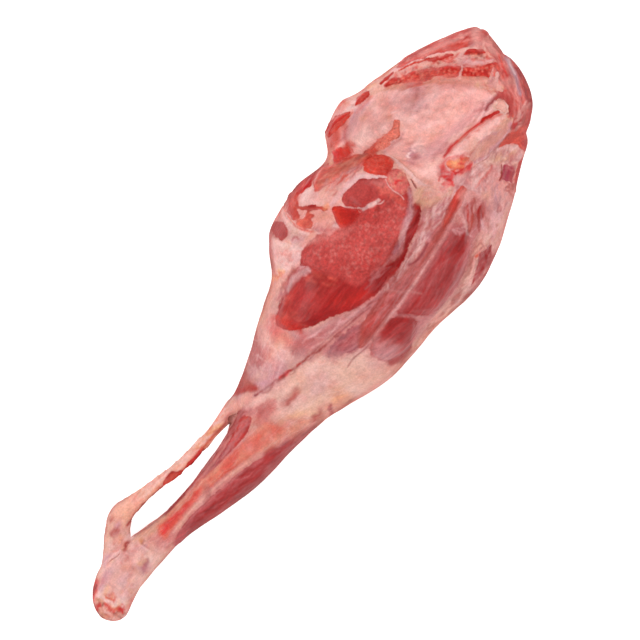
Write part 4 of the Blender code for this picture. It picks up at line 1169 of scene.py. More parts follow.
def front_of_the_thigh() -> List[Patch]:
    """The muscles, fascia lines and fat between the inner muscle and the knee side.

    Returns:
        The patches, in the order that they are laid.
    """
    sheet = [302, -21.6, 316, -23.2, 332, -23.6, 346, -22, 360, -18.6, 368, -15, 380, -17, 392, -21, 402,
        -24, 396, -28, 376, -27, 360, -28, 344, -28.8, 328, -27.4, 314, -25.4]
    knee_end = [262, -44, 262.8, -38.6, 267, -35.2, 274, -33.8, 282, -34, 290, -36, 296, -40, 300, -46,
        300.6, -52, 296.6, -56, 290.6, -58.4, 284, -60, 276, -58.6, 268, -54.4, 263, -49]
    front = [297, -38.6, 306, -38, 320, -38, 340, -37.6, 356, -37.4, 368, -37.4, 374, -41, 375, -47, 368,
        -54, 360, -58.6, 348, -62.6, 330, -63.4, 316, -61.6, 308, -58, 303, -50]
    ends = [372, -38, 386, -35, 400, -34, 412, -40, 414, -50, 404, -60, 386, -60, 374, -58]
    edge = [262, -60, 284, -61, 304, -61, 330, -65, 346, -64, 362, -60, 374, -58, 374, -64, 346, -72, 300,
        -74, 266, -68]
    return [
        cover("front fascia", Tone.MAUVE_PINK, [246, -9, 262, -14, 300, -21, 340, -22, 374, -12, 400, -18,
            412, -30, 420, -64, 380, -78, 340, -82, 300, -66, 290, -58, 270, -38, 256, -27], edge=3.0,
            turn=-8),
        cover("fat before the knee end", Tone.KNEE, [236, -16, 246, -27, 258, -31, 262, -36, 262, -50, 268,
            -57, 280, -62, 290, -70, 250, -66, 232, -50], edge=3.0, turn=-30, grain=0.2),
        stain("peach before the knee end", Tone.PEACH, [244, -40, 252, -50, 264, -59], 0.4, width=4,
            edge=6.0),
        lean("calf head", Tone.CALF, [246, -13, 251, -11.8, 258, -12.4, 266, -14.4, 273, -17.4, 278, -20.8,
            275, -25, 268, -28.6, 261, -28.6, 254, -24.6, 248, -18.6], edge=3.0, rag=0.3, turn=-20,
            rise=0.7, crown=5.0),
        stain("dark of the calf head", Tone.COVERED, [256, -17, 263, -20, 270, -23], 0.6, width=3.0,
            edge=4.0),
        stain("pale start of the calf head", Tone.KNEE_MAUVE, [246, -13, 247, -17, 250, -22], 0.8,
            width=2.4, edge=4.0),
        *streaks("strand of the calf head", Tone.MAUVE_PINK, [248, -13, 262, -14, 276, -21, 270, -27, 256,
            -24], 26, 9, 0.4, -24, 0.4, 8),
        lean("long inner muscle", Tone.LONG, [262, -29.6, 269, -25, 279, -22, 292, -21.4, 304, -22.4, 312,
            -24.6, 326, -27.4, 342, -28.8, 358, -28.8, 370, -28.6, 384, -27, 396, -27, 400, -30, 386, -33,
            366, -35.8, 344, -36.4, 322, -36.2, 302, -35.6, 284, -34, 270, -32.8], edge=1.4, rag=0.25,
            turn=-3, rise=0.9, crown=3.4),
        stain("warm of the long muscle", Tone.WEDGE, [274, -27.6, 290, -29, 306, -30.6, 322, -33], 0.6,
            width=2.6, edge=3.0),
        *streaks("strand of the long muscle", Tone.MAUVE_PINK, [274, -24, 300, -23, 340, -30, 372, -30, 370,
            -34, 320, -35, 284, -33], 50, 14, 0.35, -4, 0.4, 4),
        veil("skin of the long muscle", Tone.MAUVE_PINK, [306, -25, 318, -27, 334, -30.6, 352, -31, 366,
            -30.6, 350, -27, 334, -24.6, 320, -23], 0.7, edge=2.2, rag=0.4),
        stain("pink gap before the long muscle", Tone.MAUVE_PINK, [280, -20.6, 292, -20.4, 304, -21.4], 0.8,
            width=0.9, edge=1.6),
        cover("sheet of membrane", Tone.SHEET, sheet, edge=2.0, rag=0.4, rise=0.3, grain=0.15),
        stain("mauve shade of the sheet", Tone.KNEE_MAUVE, [308, -23.4, 322, -26, 340, -27, 356, -24.8, 370,
            -21.6], 0.7, width=1.6, rag=0.4),
        stain("lower shade of the sheet", Tone.MAUVE_RED, [314, -26.4, 330, -28.4, 350, -28.6], 0.7,
            width=0.8, edge=1.4, rag=0.4),
        stain("shine of the sheet", Tone.PALE_LILAC, [340, -23.6, 354, -21.4, 368, -17], 0.8, width=1.3,
            edge=2.0, rag=0.5),
        stain("grey of the sheet", Tone.COOL_LILAC, [352, -25, 366, -21, 380, -20, 392, -23], 0.7,
            width=2.2, edge=3.0, rag=0.5),
        *streaks("white of the sheet", Tone.WHITE, sheet, 50, 10, 0.28, 3, 0.55, 9),
        *streaks("mauve of the sheet", Tone.MAUVE_RED, sheet, 36, 10, 0.35, 3, 0.45, 8),
        stain("fold of the sheet", Tone.VEIN, [330, -26.8, 335, -29.4, 341, -30.4, 350, -29.6], 0.9,
            width=0.6, edge=0.8, rise=-0.5, crown=0.8, rag=0.2),
        lean("bright fibres", Tone.AITCH, [366, -33, 368.6, -30.8, 376, -30, 382, -29.6, 385.8, -27.4,
            390.6, -26.8, 396.6, -28, 400, -30.6, 394, -33, 388, -34.2, 382, -34.6, 372, -34.2], edge=1.4,
            rag=0.4, turn=-4, rise=0.4),
        stain("brightest fibres", Tone.FLECK, [376, -32, 386, -30, 394, -29.8], 0.4, width=1.4, edge=2.0),
        stain("dark fibres", Tone.MAROON, [366, -33.6, 378, -33.2, 390, -31.4], 0.4, width=0.6, edge=1.0,
            rag=0.4),
        lean("knee end muscle", Tone.COVERED, knee_end, edge=2.2, rag=0.25, turn=-18, rise=1.5, crown=5.0),
        stain("pink of the knee end", Tone.PINK_END, [260, -44, 263, -36, 270, -35.6, 274, -42, 275, -49,
            268, -53, 263, -50], 0.7, edge=7.0, rag=0.4),
        stain("lilac of the knee end", Tone.COOL_LILAC, [268, -42, 270, -46, 274, -49], 0.3, width=2,
            edge=4.0),
        stain("red foot of the knee end", Tone.WEDGE, [266, -54, 274, -57.6, 284, -59, 290, -57], 0.7,
            width=1.6, edge=3.0),
        *streaks("strand of the knee end", Tone.LILAC, [262, -40, 270, -35, 276, -40, 274, -52, 265, -52],
            34, 6, 0.4, -35, 0.2, 10, edge=1.8),
        *streaks("fibre of the knee end", Tone.DEEPEST, [272, -36, 292, -38, 300, -50, 288, -58, 274, -55],
            30, 9, 0.4, -15, 0.2, 8),
        lean("long front muscle", Tone.COVERED, front, edge=2.0, rag=0.25, turn=2, rise=1.5, crown=6.0),
        stain("red of the front muscle", Tone.DARK, [314, -50, 330, -49, 348, -47, 366, -44], 0.3, width=5,
            edge=6.0),
        stain("left of the front muscle", Tone.WEDGE, [304, -44, 314, -50, 322, -58], 0.3, width=3,
            edge=4.0),
        stain("haze of the front muscle", Tone.HAZE, [300, -39.6, 314, -39.6, 334, -39.4, 352, -39, 366,
            -39], 0.8, width=1.8, edge=3.4, rag=0.2),
        stain("lower haze", Tone.HAZE, [312, -61, 332, -62.6, 348, -61, 362, -56], 0.7, width=1.4, edge=3.0,
            rag=0.3),
        *streaks("fibre of the front muscle", Tone.HAZE, front, 70, 20, 0.35, 1, 0.25, 3),
        *streaks("shade of the front muscle", Tone.DEEPEST, front, 40, 18, 0.4, 1, 0.22, 3),
        stain("fascia line of the thigh", Tone.LINE, [262, -33.2, 276, -34, 290, -35.2, 304, -36.4, 320,
            -36.8, 340, -37, 356, -36.6, 370, -36, 384, -35, 398, -33.8], 0.85, width=0.9, edge=1.9,
            rag=0.2, rise=-0.4, crown=1.4),
        stain("light of the fascia line", Tone.PALE_LILAC, [288, -35.2, 304, -36.4, 320, -36.8, 340, -37],
            0.45, width=0.4, edge=0.9, rag=0.1),
        stain("dark start of the fascia line", Tone.VEIN, [246, -30, 252, -29.8, 258, -31.2, 264, -33, 268,
            -33.6], 0.7, width=0.45, edge=0.8, rag=0.1),
        stain("slanting line", Tone.LINE, [303, -20, 308, -26, 312.6, -34, 318.4, -44.4], 0.5, width=0.4,
            edge=1.3, rag=0.1),
        stain("second slanting line", Tone.MAUVE_PINK, [294, -37, 298, -43, 302, -50, 306, -58], 0.7,
            width=0.8, edge=1.4, rise=-0.5, crown=1.4, rag=0.2),
        stain("wedge of pink below", Tone.MAUVE_PINK, [284, -60.6, 292, -58.6, 300, -57, 306, -60, 316,
            -63.6, 330, -65, 346, -64.4], 0.85, width=1.4, edge=1.8, rag=0.4),
        veil("haze of the front end", Tone.MAUVE_PINK, [366, -37, 370, -43, 370, -50, 364, -58, 376, -60,
            382, -50, 380, -38], 0.75, edge=3.4, rag=0.8),
        *streaks("torn strand", Tone.PALE_LILAC, [366, -36, 372, -38, 374, -48, 372, -53, 368, -46], 10, 4,
            0.3, -60, 0.5, 30),
        lean("end muscle", Tone.END, [376, -46, 380.9, -39, 384.6, -37.2, 390.6, -38, 395, -39.6, 388.4,
            -43.4, 381, -48.2, 375, -50, 372, -49.4], edge=1.4, rag=0.4, turn=30, rise=0.4),
        stain("pale stripe of the end muscle", Tone.LILAC, [370.6, -49, 375.6, -44.4, 380, -40, 384, -37],
            0.9, width=0.9, edge=1.4, rag=0.3),
        stain("deep of the end muscle", Tone.WEDGE, [380, -43, 387, -40.6, 393, -40.6], 0.6, width=1.8,
            edge=2.6),
        lean("second end muscle", Tone.COVERED, [376, -55, 380, -52.6, 385, -50, 389, -47.4, 393, -45.8,
            398.4, -46.8, 393, -50.2, 388, -52, 383.4, -53.4, 379, -56], edge=1.4, rag=0.5, turn=24,
            rise=0.3),
        stain("bright fleck of the end muscle", Tone.WEDGE, [386, -49.6, 392, -48, 399, -46.8], 0.9,
            width=1.5, edge=1.4, rag=0.6),
        stain("dark fleck of the end muscle", Tone.MAROON, [388, -48.4, 393, -47, 398, -46.4], 0.5,
            width=0.5, edge=0.9, rag=0.4),
        *streaks("strand of the end muscles", Tone.PALE_LILAC, ends, 44, 14, 0.35, 30, 0.35, 8),
        *streaks("red of the end muscles", Tone.MAUVE_RED, ends, 40, 12, 0.5, 30, 0.45, 8),
        *streaks("shade of the end muscles", Tone.VESSEL, ends, 12, 6, 0.3, 30, 0.3, 10),
        cover("knee side fat", Tone.SIDE_FAT, edge + [258, -64], edge=2.4, rag=0.5, rise=0.3, turn=-12),
        stain("peach knee side", Tone.PEACH, [262, -61, 280, -63, 300, -65, 324, -68], 0.6, width=1.8),
        stain("mauve knee side", Tone.MAUVE_RED, [326, -68, 342, -66, 360, -62, 376, -60], 0.6, width=2.2,
            edge=3.0, rag=0.6),
        # Painted shade along the knee side contour.
        stain("painted shade of the knee side edge", Tone.BROWN_AND_SHADE, [262, -62.4, 284, -64.6, 304, -69, 326, -72.6, 346,
            -76.6, 364, -77], 0.65, width=0.8, edge=1.4, rag=0.5),
        *streaks("streak of the knee side", Tone.MAUVE_RED, edge, 40, 14, 0.35, -14, 0.5, 6),
        *streaks("shine of the knee side", Tone.CREAM, edge, 40, 14, 0.4, -14, 0.6, 6),
        cover("flank fat", Tone.FLANK, [374, -60, 390, -57.6, 404, -54, 412, -58, 404, -66, 386, -72, 374,
            -76, 372, -66], edge=3.0, rag=0.6),
        *streaks("streak of the flank fat", Tone.MAUVE_RED, [374, -60, 404, -54, 410, -60, 386, -72, 374,
            -70], 30, 8, 0.4, 20, 0.45, 16),
        *streaks("shine of the flank fat", Tone.PALE_LILAC, [374, -60, 404, -54, 410, -60, 386, -72, 374,
            -70], 30, 8, 0.5, 20, 0.6, 16),
        stain("spots of the flank", Tone.VESSEL, [397, -58, 400, -57, 403, -55], 0.8, width=1.0, edge=1.4,
            rag=1.2),
        lean("small dark cut", Tone.COVERED, [342, -71.6, 348, -70, 353, -68, 358, -66.2, 361, -65.4, 364,
            -63, 366, -65.6, 370, -66.2, 374.6, -68, 372, -69.6, 366, -70.6, 362, -72.8, 354, -73, 348,
            -72.6], edge=0.9, rag=0.4, rise=-0.9, crown=1.4, turn=4),
        *streaks("grain of the dark cut", Tone.DEEPEST, [344, -71, 362, -65, 374, -69, 366, -75, 350, -75],
            30, 6, 0.4, 4, 0.5, 20),
        *streaks("light of the dark cut", Tone.MAUVE_PINK, [344, -71, 362, -65, 374, -69, 366, -75, 350,
            -75], 20, 4, 0.3, 10, 0.5, 20),
        stain("torn rim of the dark cut", Tone.PINK, [342, -70, 350, -66.6, 358, -63.4, 364, -62.6, 371,
            -66], 0.85, width=0.7, edge=0.9, rag=0.8),
        stain("peach tip of the dark cut", Tone.ORANGE_RED, [361, -63.2, 364, -64], 0.9, width=1, edge=1.0),
        stain("red of the cut edge", Tone.COVERED, [266, -54, 272, -57, 280, -58], 0.85, width=3.4,
            edge=2.8, rag=0.6),
        stain("dark under the flap", Tone.BIG, [350, -15, 355, -17, 359, -18], 0.7, width=2.2, edge=2.6,
            rag=0.6),
        stain("pink by the cleft", Tone.PINK, [380, -14, 388, -16, 397, -16], 0.75, width=2.6, edge=2.6,
            rag=0.8),
        stain("pale by the flank", Tone.PINK, [391, -32, 395, -35, 399, -38], 0.6, width=3.2, edge=2.8,
            rag=0.8),
    ]


def pelvis() -> List[Patch]:
    """The lining of the pelvic hollow and the strip of loin and bone along its front.

    Returns:
        The patches, in the order that they are laid.
    """
    return [
        cover("lining", Tone.LINING, [370, 66, 384, 66, 400, 65, 420, 66, 430, 58, 440, 48, 450, 36, 458,
            24, 462, 14, 468, 2, 468, -10, 455, -16, 430, -12, 405, -8, 396, -14, 388, -18, 382, -12, 382,
            -2, 385, 8, 388, 20, 387, 30, 394, 38, 378, 48, 374, 56], edge=2.0, rag=0.8, grain=0.25,
            turn=-30),
        stain("pale lining", Tone.LINING_PALE, [382, 50, 392, 54, 404, 52, 414, 46, 404, 42, 390, 44], 0.9,
            edge=5.0),
        stain("lilac lining", Tone.LINING_LILAC, [378, 62, 390, 63, 402, 64, 412, 62, 412, 57, 400, 58, 384,
            56], 0.8, edge=4.0),
        stain("grey rim of the lining", Tone.COOL_LILAC, [377, 62.6, 384, 61, 394, 61.6, 404, 62.6, 410,
            60], 0.9, width=1.3, edge=2.4),
        stain("salmon rim of the lining", Tone.SALMON, [379, 65.4, 390, 63.6, 400, 65.6], 0.5, width=0.7,
            edge=1.4),
        stain("golden patch", Tone.GOLD, [402, 42.6, 407, 44, 411, 41.4], 0.4, width=1.8),
        stain("small golden patch", Tone.GOLD, [399, 57, 401, 56], 0.5, width=1.0, edge=2.0),
        stain("salmon shade of the lining", Tone.PEACH, [396, 44, 406, 41, 412, 44, 420, 50], 0.2,
            width=2.0, edge=4.0),
        stain("pink bloom", Tone.LINING_WARM, [404, 22, 416, 28, 436, 20, 446, 8, 440, 0, 424, 4, 410, 10],
            0.5, edge=7.0),
        stain("salmon glow", Tone.LINING_WARM, [416, 6, 424, 10, 436, 6, 444, 0], 0.6, width=3.0, edge=5.0),
        stain("grey heart", Tone.COOL_LILAC, [421, 36, 424, 41, 431, 43, 438, 41, 443, 36, 442, 31, 436, 28,
            428, 29, 423, 31], 0.75, edge=4.0, rag=2.0),
        stain("dark of the grey heart", Tone.MAUVE_PINK, [427, 33, 431, 31, 437, 33, 438.6, 36, 435, 37],
            0.75, edge=3.0, rag=1.0),
        stain("spot of the grey heart", Tone.MAUVE_RED, [435.6, 34, 437.4, 33], 0.7, width=0.8, edge=1.6),
        # Painted highlights on the lining round the grey heart.
        stain("painted highlight of the grey heart", Tone.LINING_WHITE_AND_HIGHLIGHT, [426, 44.4, 432, 42, 438, 41], 0.8, width=0.9,
            edge=2.0, rag=0.8),
        stain("painted highlight by the grey heart", Tone.LINING_WHITE_AND_HIGHLIGHT, [420, 46, 424, 48, 428, 47, 426, 43], 0.9,
            edge=3.0),
        stain("painted highlight on the lining", Tone.LINING_WHITE_AND_HIGHLIGHT, [436, 26, 441, 29, 447, 27, 448, 23, 442, 21, 437, 22.6],
            0.85, edge=3.0),
        stain("painted highlight left of the heart", Tone.LINING_WHITE_AND_HIGHLIGHT, [416, 41, 417, 34, 419, 28, 415, 30, 413, 37],
            0.6, edge=3.0),
        *streaks("fold of the lining", Tone.LINING_WHITE_AND_HIGHLIGHT, [384, 52, 404, 56, 430, 52, 446, 30, 456, 4, 430,
            0, 406, 8, 394, 30], 60, 9, 0.7, -28, 0.3, 24, edge=2.4),
        *streaks("shade of a fold", Tone.MAUVE_PINK, [384, 52, 404, 56, 430, 52, 446, 30, 456, 4, 430, 0,
            406, 8, 394, 30], 34, 8, 0.4, -28, 0.22, 24, edge=1.8),
        blood("fine fold", [430.6, 42.6, 432.6, 43, 434.4, 42], 0.35, width=0.3),
        # Painted shade under the rim of the backbone.
        stain("painted shade under the rim", Tone.TAN, [440, 42, 446, 35, 452, 27, 457, 18, 461, 9, 464, 0, 466, -6],
            0.85, width=1.8, edge=2.6),
        stain("mauve under the rim", Tone.MAUVE_PINK, [444, 30, 450, 24, 455, 15, 459, 6], 0.4, width=1.6,
            edge=3.4),
        stain("yellow cream by the hip", Tone.YELLOW_CREAM, [371, -8, 375, -3, 380, -4, 384, -10, 388, -15,
            392, -20, 390, -24, 384, -22, 376, -18, 371, -13], 0.8, edge=3.0, rag=0.8),
        *streaks("strand by the hip", Tone.WHITE, [372, -6, 384, -6, 392, -20, 380, -20], 24, 4, 0.35, -50,
            0.6, 30),
        *streaks("shade by the hip", Tone.TAN, [372, -6, 384, -6, 392, -20, 380, -20], 20, 4, 0.4, -50, 0.6,
            30),
        blood("crumbs by the hip", [389, -21, 391, -24], 0.5, width=0.5, rag=1.2),
        stain("yellow of the rim", Tone.YELLOW_FAT, [464.6, 2, 467, -3, 468.6, -9], 0.8, width=1.8,
            edge=2.4),
        stain("mauve of the hip", Tone.COOL_LILAC, [392.6, 13, 396, 17.6, 400, 17, 404, 13.6, 404.4, 9.6,
            399, 8, 394.6, 9.6], 0.9, edge=2.6, rag=1.6),
        stain("brown of the hip", Tone.MAUVE_PINK, [396, 11, 400, 9.6, 403, 11], 0.8, width=1.3, edge=2.0),
        # Painted highlights on the hip.
        stain("painted highlight on the hip", Tone.LINING_WHITE_AND_HIGHLIGHT, [393.6, 14, 395, 16.4, 397.6, 16], 1.0, width=0.9,
            edge=1.2, rag=1.2),
        stain("second painted highlight on the hip", Tone.LINING_WHITE_AND_HIGHLIGHT, [400, 14, 403, 16.4, 406, 15], 0.8, width=1.0,
            edge=1.6, rag=0.8),
        stain("mauve streak of the hip", Tone.COOL_LILAC, [400, 9, 408, 6, 416, 3.6], 0.6, width=1.2),
        stain("lilac above the loin", Tone.LINING_LILAC, [402, 4, 412, 0, 424, -2, 438, -6, 452, -11, 464,
            -12], 0.9, width=3.0, edge=4.0),
        stain("mauve above the loin", Tone.MAUVE_PINK, [402, -1, 410, -2.6, 418, -3], 0.6, width=1.0,
            edge=2.4, rag=0.8),
        stain("pale above the loin", Tone.LINING_WHITE_AND_HIGHLIGHT, [420, -3.6, 434, -7.6, 446, -12, 454, -15], 0.7,
            width=1.0, edge=2.0),
        *streaks("streak above the loin", Tone.PALE_LILAC, [404, 0, 430, -5, 460, -14, 450, -15, 424, -6],
            20, 8, 0.3, -18, 0.6, 10),
        stain("mauve of the corner", Tone.MAUVE_PINK, [448, -8, 451, -10, 455, -9], 0.8, width=1.0,
            edge=2.0, rag=0.8),
        blood("slit of the corner", [453.4, -4.6, 455, -6.8, 456.6, -8.8], 0.7, width=0.45),
        stain("shade of the hip", Tone.TAN, [387, 24, 386.4, 16, 385, 8, 384.6, 0, 387, -8], 0.7, width=2.0,
            edge=2.6),
        stain("edge of the hip", Tone.WHITE, [388.6, 31, 387, 24, 385.6, 16, 384.4, 8, 382.6, 0, 383.6, -6],
            0.9, width=0.6, edge=1.2),
        stain("rose beside the hip", Tone.SALMON, [389, 18, 391, 10, 393, 4], 0.35, width=1.2, edge=3.0),
        form("edge of the hip", [388, 27, 386.6, 16, 384, 4, 383, -6], 1.0, 1.8, width=1.3),
        form("ripple", [396, 30, 408, 22, 418, 10, 424, -2], -0.7, 2.0, width=1.6),
        form("second ripple", [410, 44, 420, 36, 430, 22, 436, 6], 0.8, 2.4, width=1.6),
        form("third ripple", [430, 46, 440, 34, 448, 18, 452, 2], -0.6, 2.2, width=1.4),
        lean("granular bone end", Tone.GRANULAR_PINK, [386, 37, 391, 37.6, 396, 38.4, 401, 37.4, 406, 36.6,
            411.4, 37, 412.4, 34, 409, 31, 405, 28.4, 401.4, 27.4, 398.6, 30.4, 394, 31.4, 388.4, 32.6],
            edge=1.0, rag=0.9, grain=1.0, rise=1.2, crown=1.6),
        *streaks("fleck of the bone end", Tone.CREAM, [388, 36, 398, 37, 411, 35, 402, 29, 396, 32], 40,
            0.9, 0.4, 20, 0.55, 60),
        *streaks("red of the bone end", Tone.BRIGHT, [388, 36, 398, 37, 411, 35, 402, 29, 396, 32], 14, 1.6,
            0.35, 20, 0.5, 60),
        stain("shade under the bone end", Tone.MAUVE_PINK, [388, 31, 394, 29.6, 399, 28, 402, 26, 407,
            27.4], 0.6, width=0.8, edge=1.8),
        cover("loin strip", Tone.PINK, [398, -8, 404, -6.6, 412, -7, 421, -8.4, 432, -12, 442, -16, 450,
            -19, 456, -23, 458, -28, 456, -30.6, 450, -29, 440, -25.6, 434, -22.8, 428, -22, 421, -20, 414,
            -24, 405, -23, 398, -18, 394, -12], edge=1.4, rag=0.8, rise=1.0, crown=3.0, turn=-22,
            grain=0.3),
        stain("peach of the loin strip", Tone.PEACH, [440, -22, 448, -25, 455, -28], 0.9, width=2.0,
            edge=3.0),
        stain("light of the loin strip", Tone.LINING_LILAC, [416, -14, 426, -17.6, 438, -21], 0.5,
            width=1.2, edge=2.4),
        stain("salmon of the loin strip", Tone.SALMON, [414, -10, 422, -11.6, 434, -15, 446, -20, 453, -24],
            0.8, width=1.8, edge=2.4, rag=0.6),
        *streaks("streak of the loin strip", Tone.SALMON, [404, -8, 420, -10, 456, -26, 440, -24, 420, -18,
            408, -14], 26, 9, 0.4, -24, 0.5, 8),
        *streaks("pale streak of the loin strip", Tone.WHITE, [404, -8, 420, -10, 456, -26, 440, -24, 420,
            -18, 408, -14], 26, 9, 0.4, -24, 0.55, 8),
        stain("red nick of the strip", Tone.BRIGHT, [427, -12.6, 429.4, -14.4], 0.7, width=1.0, edge=1.4),
        stain("red foot of the strip", Tone.WEDGE, [418, -19.6, 422, -20.6, 428.6, -22.8], 0.8, width=0.55,
            edge=1.0, rag=0.5),
        stain("ochre foot of the strip", Tone.CREAM_SHADE, [436, -24, 443, -27.6, 450, -30.6, 456, -31.6],
            0.8, width=0.9, edge=1.6, rag=0.8),
        stain("brown of the ochre foot", Tone.BROWN_AND_SHADE, [447.6, -30, 450.6, -30.6, 453, -30], 0.7,
            width=0.5, edge=0.9, rag=1.2),
        stain("start of the red line", Tone.CRIMSON, [408.6, -6, 412.6, -5.9, 416, -6.1, 422, -7.8], 0.9,
            width=1.0, edge=1.0, rise=-0.6, crown=1.2, rag=0.3),
        stain("crimson start of the line", Tone.VIVID, [408, -6.4, 413, -6, 418, -6], 0.7, width=1.1,
            edge=1.2, rag=0.6),
        stain("red line of the loin", Tone.VIVID, [420, -7.6, 427.4, -9.3, 434.7, -11.4, 439, -13.2, 443,
            -14.6, 447, -16], 1.0, width=0.8, edge=1.1, rag=0.2),
        lean("bright line of the loin", Tone.CUT_BONE, [443, -14.6, 447.4, -16.4, 450, -18.2, 453.7, -20,
            456.4, -21.2], width=1.5, edge=1.0, rag=0.2, rise=-0.4),
        stain("vivid line of the loin", Tone.VIVID, [444, -15.6, 449, -18, 455, -20.8], 0.7, width=0.6,
            edge=1.0, rag=0.4),
        sinew("white of the loin line", [420, -9.6, 430, -12.6, 440, -16.6, 447, -19.6], 0.85, width=0.4),
        sinew("white above the loin line", [420, -6, 430, -9, 440, -12.4], 0.5, width=0.3),
        lean("orange loin end", Tone.ORANGE_RED, [400, -19.8, 401, -16.1, 402.6, -13, 406.3, -10.8, 410.5,
            -13, 413.7, -16.1, 416.8, -20.3, 416.3, -23, 414.7, -24.5, 411.6, -24, 406.3, -21.9, 402,
            -20.3], edge=1.1, rag=0.6, grain=0.6, rise=0.8, crown=2.0),
        stain("red foot of the orange end", Tone.VIVID, [400, -18.6, 405, -21.4, 410, -23.4, 414, -22.6],
            0.9, width=2.0, edge=2.0, rag=0.8),
        stain("orange glow", Tone.ORANGE, [406.4, -14, 409, -15.6, 411, -18], 0.9, width=2.2, edge=2.2,
            rag=1.0),
        stain("gold of the orange end", Tone.GOLD, [408, -13.6, 411, -15.6], 0.7, width=1.0, edge=1.6),
        *streaks("fleck of the orange end", Tone.VIVID, [400, -17, 408, -13, 415, -20, 411, -24], 14, 2.2,
            0.4, -30, 0.6, 50),
        stain("crimson haze", Tone.MAUVE_PINK, [388, -18, 393, -15, 398, -9, 403, -8, 399, -15, 396, -21,
            391, -20], 0.7, edge=2.0, rag=1.6),
        *streaks("crimson spot", Tone.VIVID, [388, -18, 393, -15, 399, -9, 404, -9, 399, -16, 396, -22, 391,
            -20], 22, 1.6, 0.6, 50, 0.8, 60),
        stain("crimson dot", Tone.CRIMSON, [388.4, -17.2, 389.6, -17.8], 1.0, width=0.9, edge=1.0, rag=0.8),
        stain("second crimson dot", Tone.CRIMSON, [394.4, -16, 395.4, -18.6, 395.4, -21], 1.0, width=0.9,
            edge=1.0, rag=0.8),
        stain("third crimson dot", Tone.CRIMSON, [397.4, -11.6, 399.4, -10.6], 0.8, width=0.7, edge=1.0,
            rag=0.8),
        stain("salmon ring", Tone.SALMON, [401, -12, 403.6, -9.4, 400.4, -8.4], 0.7, width=0.7, edge=1.2,
            rag=0.8),
        cover("lilac flank membrane", Tone.COOL_LILAC, [415.8, -25.6, 417.9, -22.6, 424.2, -22.2, 430.5,
            -22.6, 436.8, -24.5, 442, -27.2, 445.3, -29.8, 449.5, -31.9, 453.7, -32.4, 452.6, -34.5, 443.2,
            -34, 434.7, -33.5, 425.3, -31.9, 420, -28.7], edge=1.0, rise=0.8, crown=2.0, grain=0.2,
            rag=0.4),
        stain("shade of the flank membrane", Tone.TAN, [418, -24, 428, -23.6, 438, -26], 0.6, width=1.0,
            edge=2.0),
        stain("pink of the flank membrane", Tone.PINK, [420, -26, 428, -27, 436, -30], 0.6, width=2.0,
            edge=3.0),
        *streaks("streak of the flank membrane", Tone.MAUVE_PINK, [416, -24, 430, -24, 450, -33, 436, -33,
            420, -28], 22, 6, 0.3, -18, 0.5, 14),
        # Painted shadow under the edge of the flank membrane.
        blood("painted shadow under the membrane's edge", [411, -26.8, 417, -29, 423, -31.6, 430, -33.4], 0.5, width=0.45,
            rise=-1.0, crown=1.0),
        stain("brown painted shadow under the membrane", Tone.BROWN_AND_SHADE, [430, -33.4, 440, -35, 448, -35.6], 0.6,
            width=0.5, edge=1.0),
        cover("whitish flank membrane", Tone.FLANK_PALE, [396, -22, 404, -25, 412, -28.4, 420, -31.6, 430,
            -34, 438, -38, 443, -44, 442, -50, 436, -52, 424, -44, 412, -46, 402, -44, 398, -34], edge=1.6,
            rag=1.4, grain=0.3, turn=20),
        stain("pink of the whitish membrane", Tone.PINK, [402, -28, 412, -33, 420, -36, 412, -40, 404, -36],
            0.7, edge=3.0),
        stain("yellow flank", Tone.YELLOW_FAT, [424, -36, 430, -38, 436, -42, 440, -46, 432, -46, 426, -41],
            0.85, edge=3.0),
        stain("olive of the flank", Tone.TAN, [430, -37, 436, -39.6, 440, -42], 0.6, width=1.3, edge=2.6),
        *streaks("streak of the whitish membrane", Tone.WHITE, [398, -26, 412, -30, 430, -36, 438, -44, 420,
            -43, 402, -42], 40, 9, 0.4, 12, 0.6, 24),
        *streaks("mauve streak of the membrane", Tone.HAZE, [396, -24, 412, -30, 430, -36, 434, -48, 418,
            -44, 400, -44], 40, 8, 0.35, 18, 0.5, 22),
        stain("salmon crease of the flank", Tone.SALMON, [402, -37, 408, -37.4, 416, -38.6, 421, -38], 0.6,
            width=0.45, edge=1.0),
        stain("lilac of the lower flank", Tone.LILAC, [396, -48, 404, -46, 412, -48, 412, -56, 402, -60,
            394, -56], 0.8, edge=4.0),
        stain("lilac shade of the flank", Tone.COOL_LILAC, [404, -54, 408, -51, 413, -50], 0.8, width=1.4,
            edge=2.4, rag=0.8),
        *streaks("streak of the lower flank", Tone.PINK, [394, -44, 412, -44, 414, -56, 398, -62], 26, 8,
            0.5, 20, 0.6, 18),
        stain("mauve flecks of the flank", Tone.MAUVE, [396, -59, 399, -58.4, 401, -57], 0.7, width=0.6,
            edge=1.2, rag=1.2),
        lean("mauve flank cut", Tone.CRIMSON_MAUVE, [416.6, -49.4, 418.6, -47, 421.6, -46.4, 427.6, -45,
            429, -48.6, 429.4, -51.4, 427.6, -54, 423, -55.4, 418.4, -57, 417.4, -53.4], edge=1.0, rag=0.6,
            rise=-0.4, turn=20),
        stain("light of the flank cut", Tone.MAUVE_PINK, [417, -49.4, 422, -48.8, 428, -47], 0.6, width=0.7,
            edge=1.4),
        blood("slit of the flank cut", [415.8, -48.4, 419.4, -46.8, 424, -44.6, 425.6, -43.6], 0.9,
            width=0.7, rag=0.4),
        stain("red of the flank cut", Tone.MAUVE_RED, [418.4, -55.6, 424, -53.4, 430, -52.4], 0.6,
            width=1.2, edge=1.6),
        *streaks("strand by the flank cut", Tone.MAUVE_PINK, [424, -44, 434, -45, 434, -52, 426, -52], 12,
            4, 0.4, -60, 0.6, 24),
        lean("flank edge muscle", Tone.FLANK_RED, [416.4, -61.6, 418.4, -58.4, 425, -56.4, 431, -53.6,
            435.6, -52.6, 441, -54, 440, -60, 430, -66, 418, -68], edge=1.0, rag=0.5, turn=16),
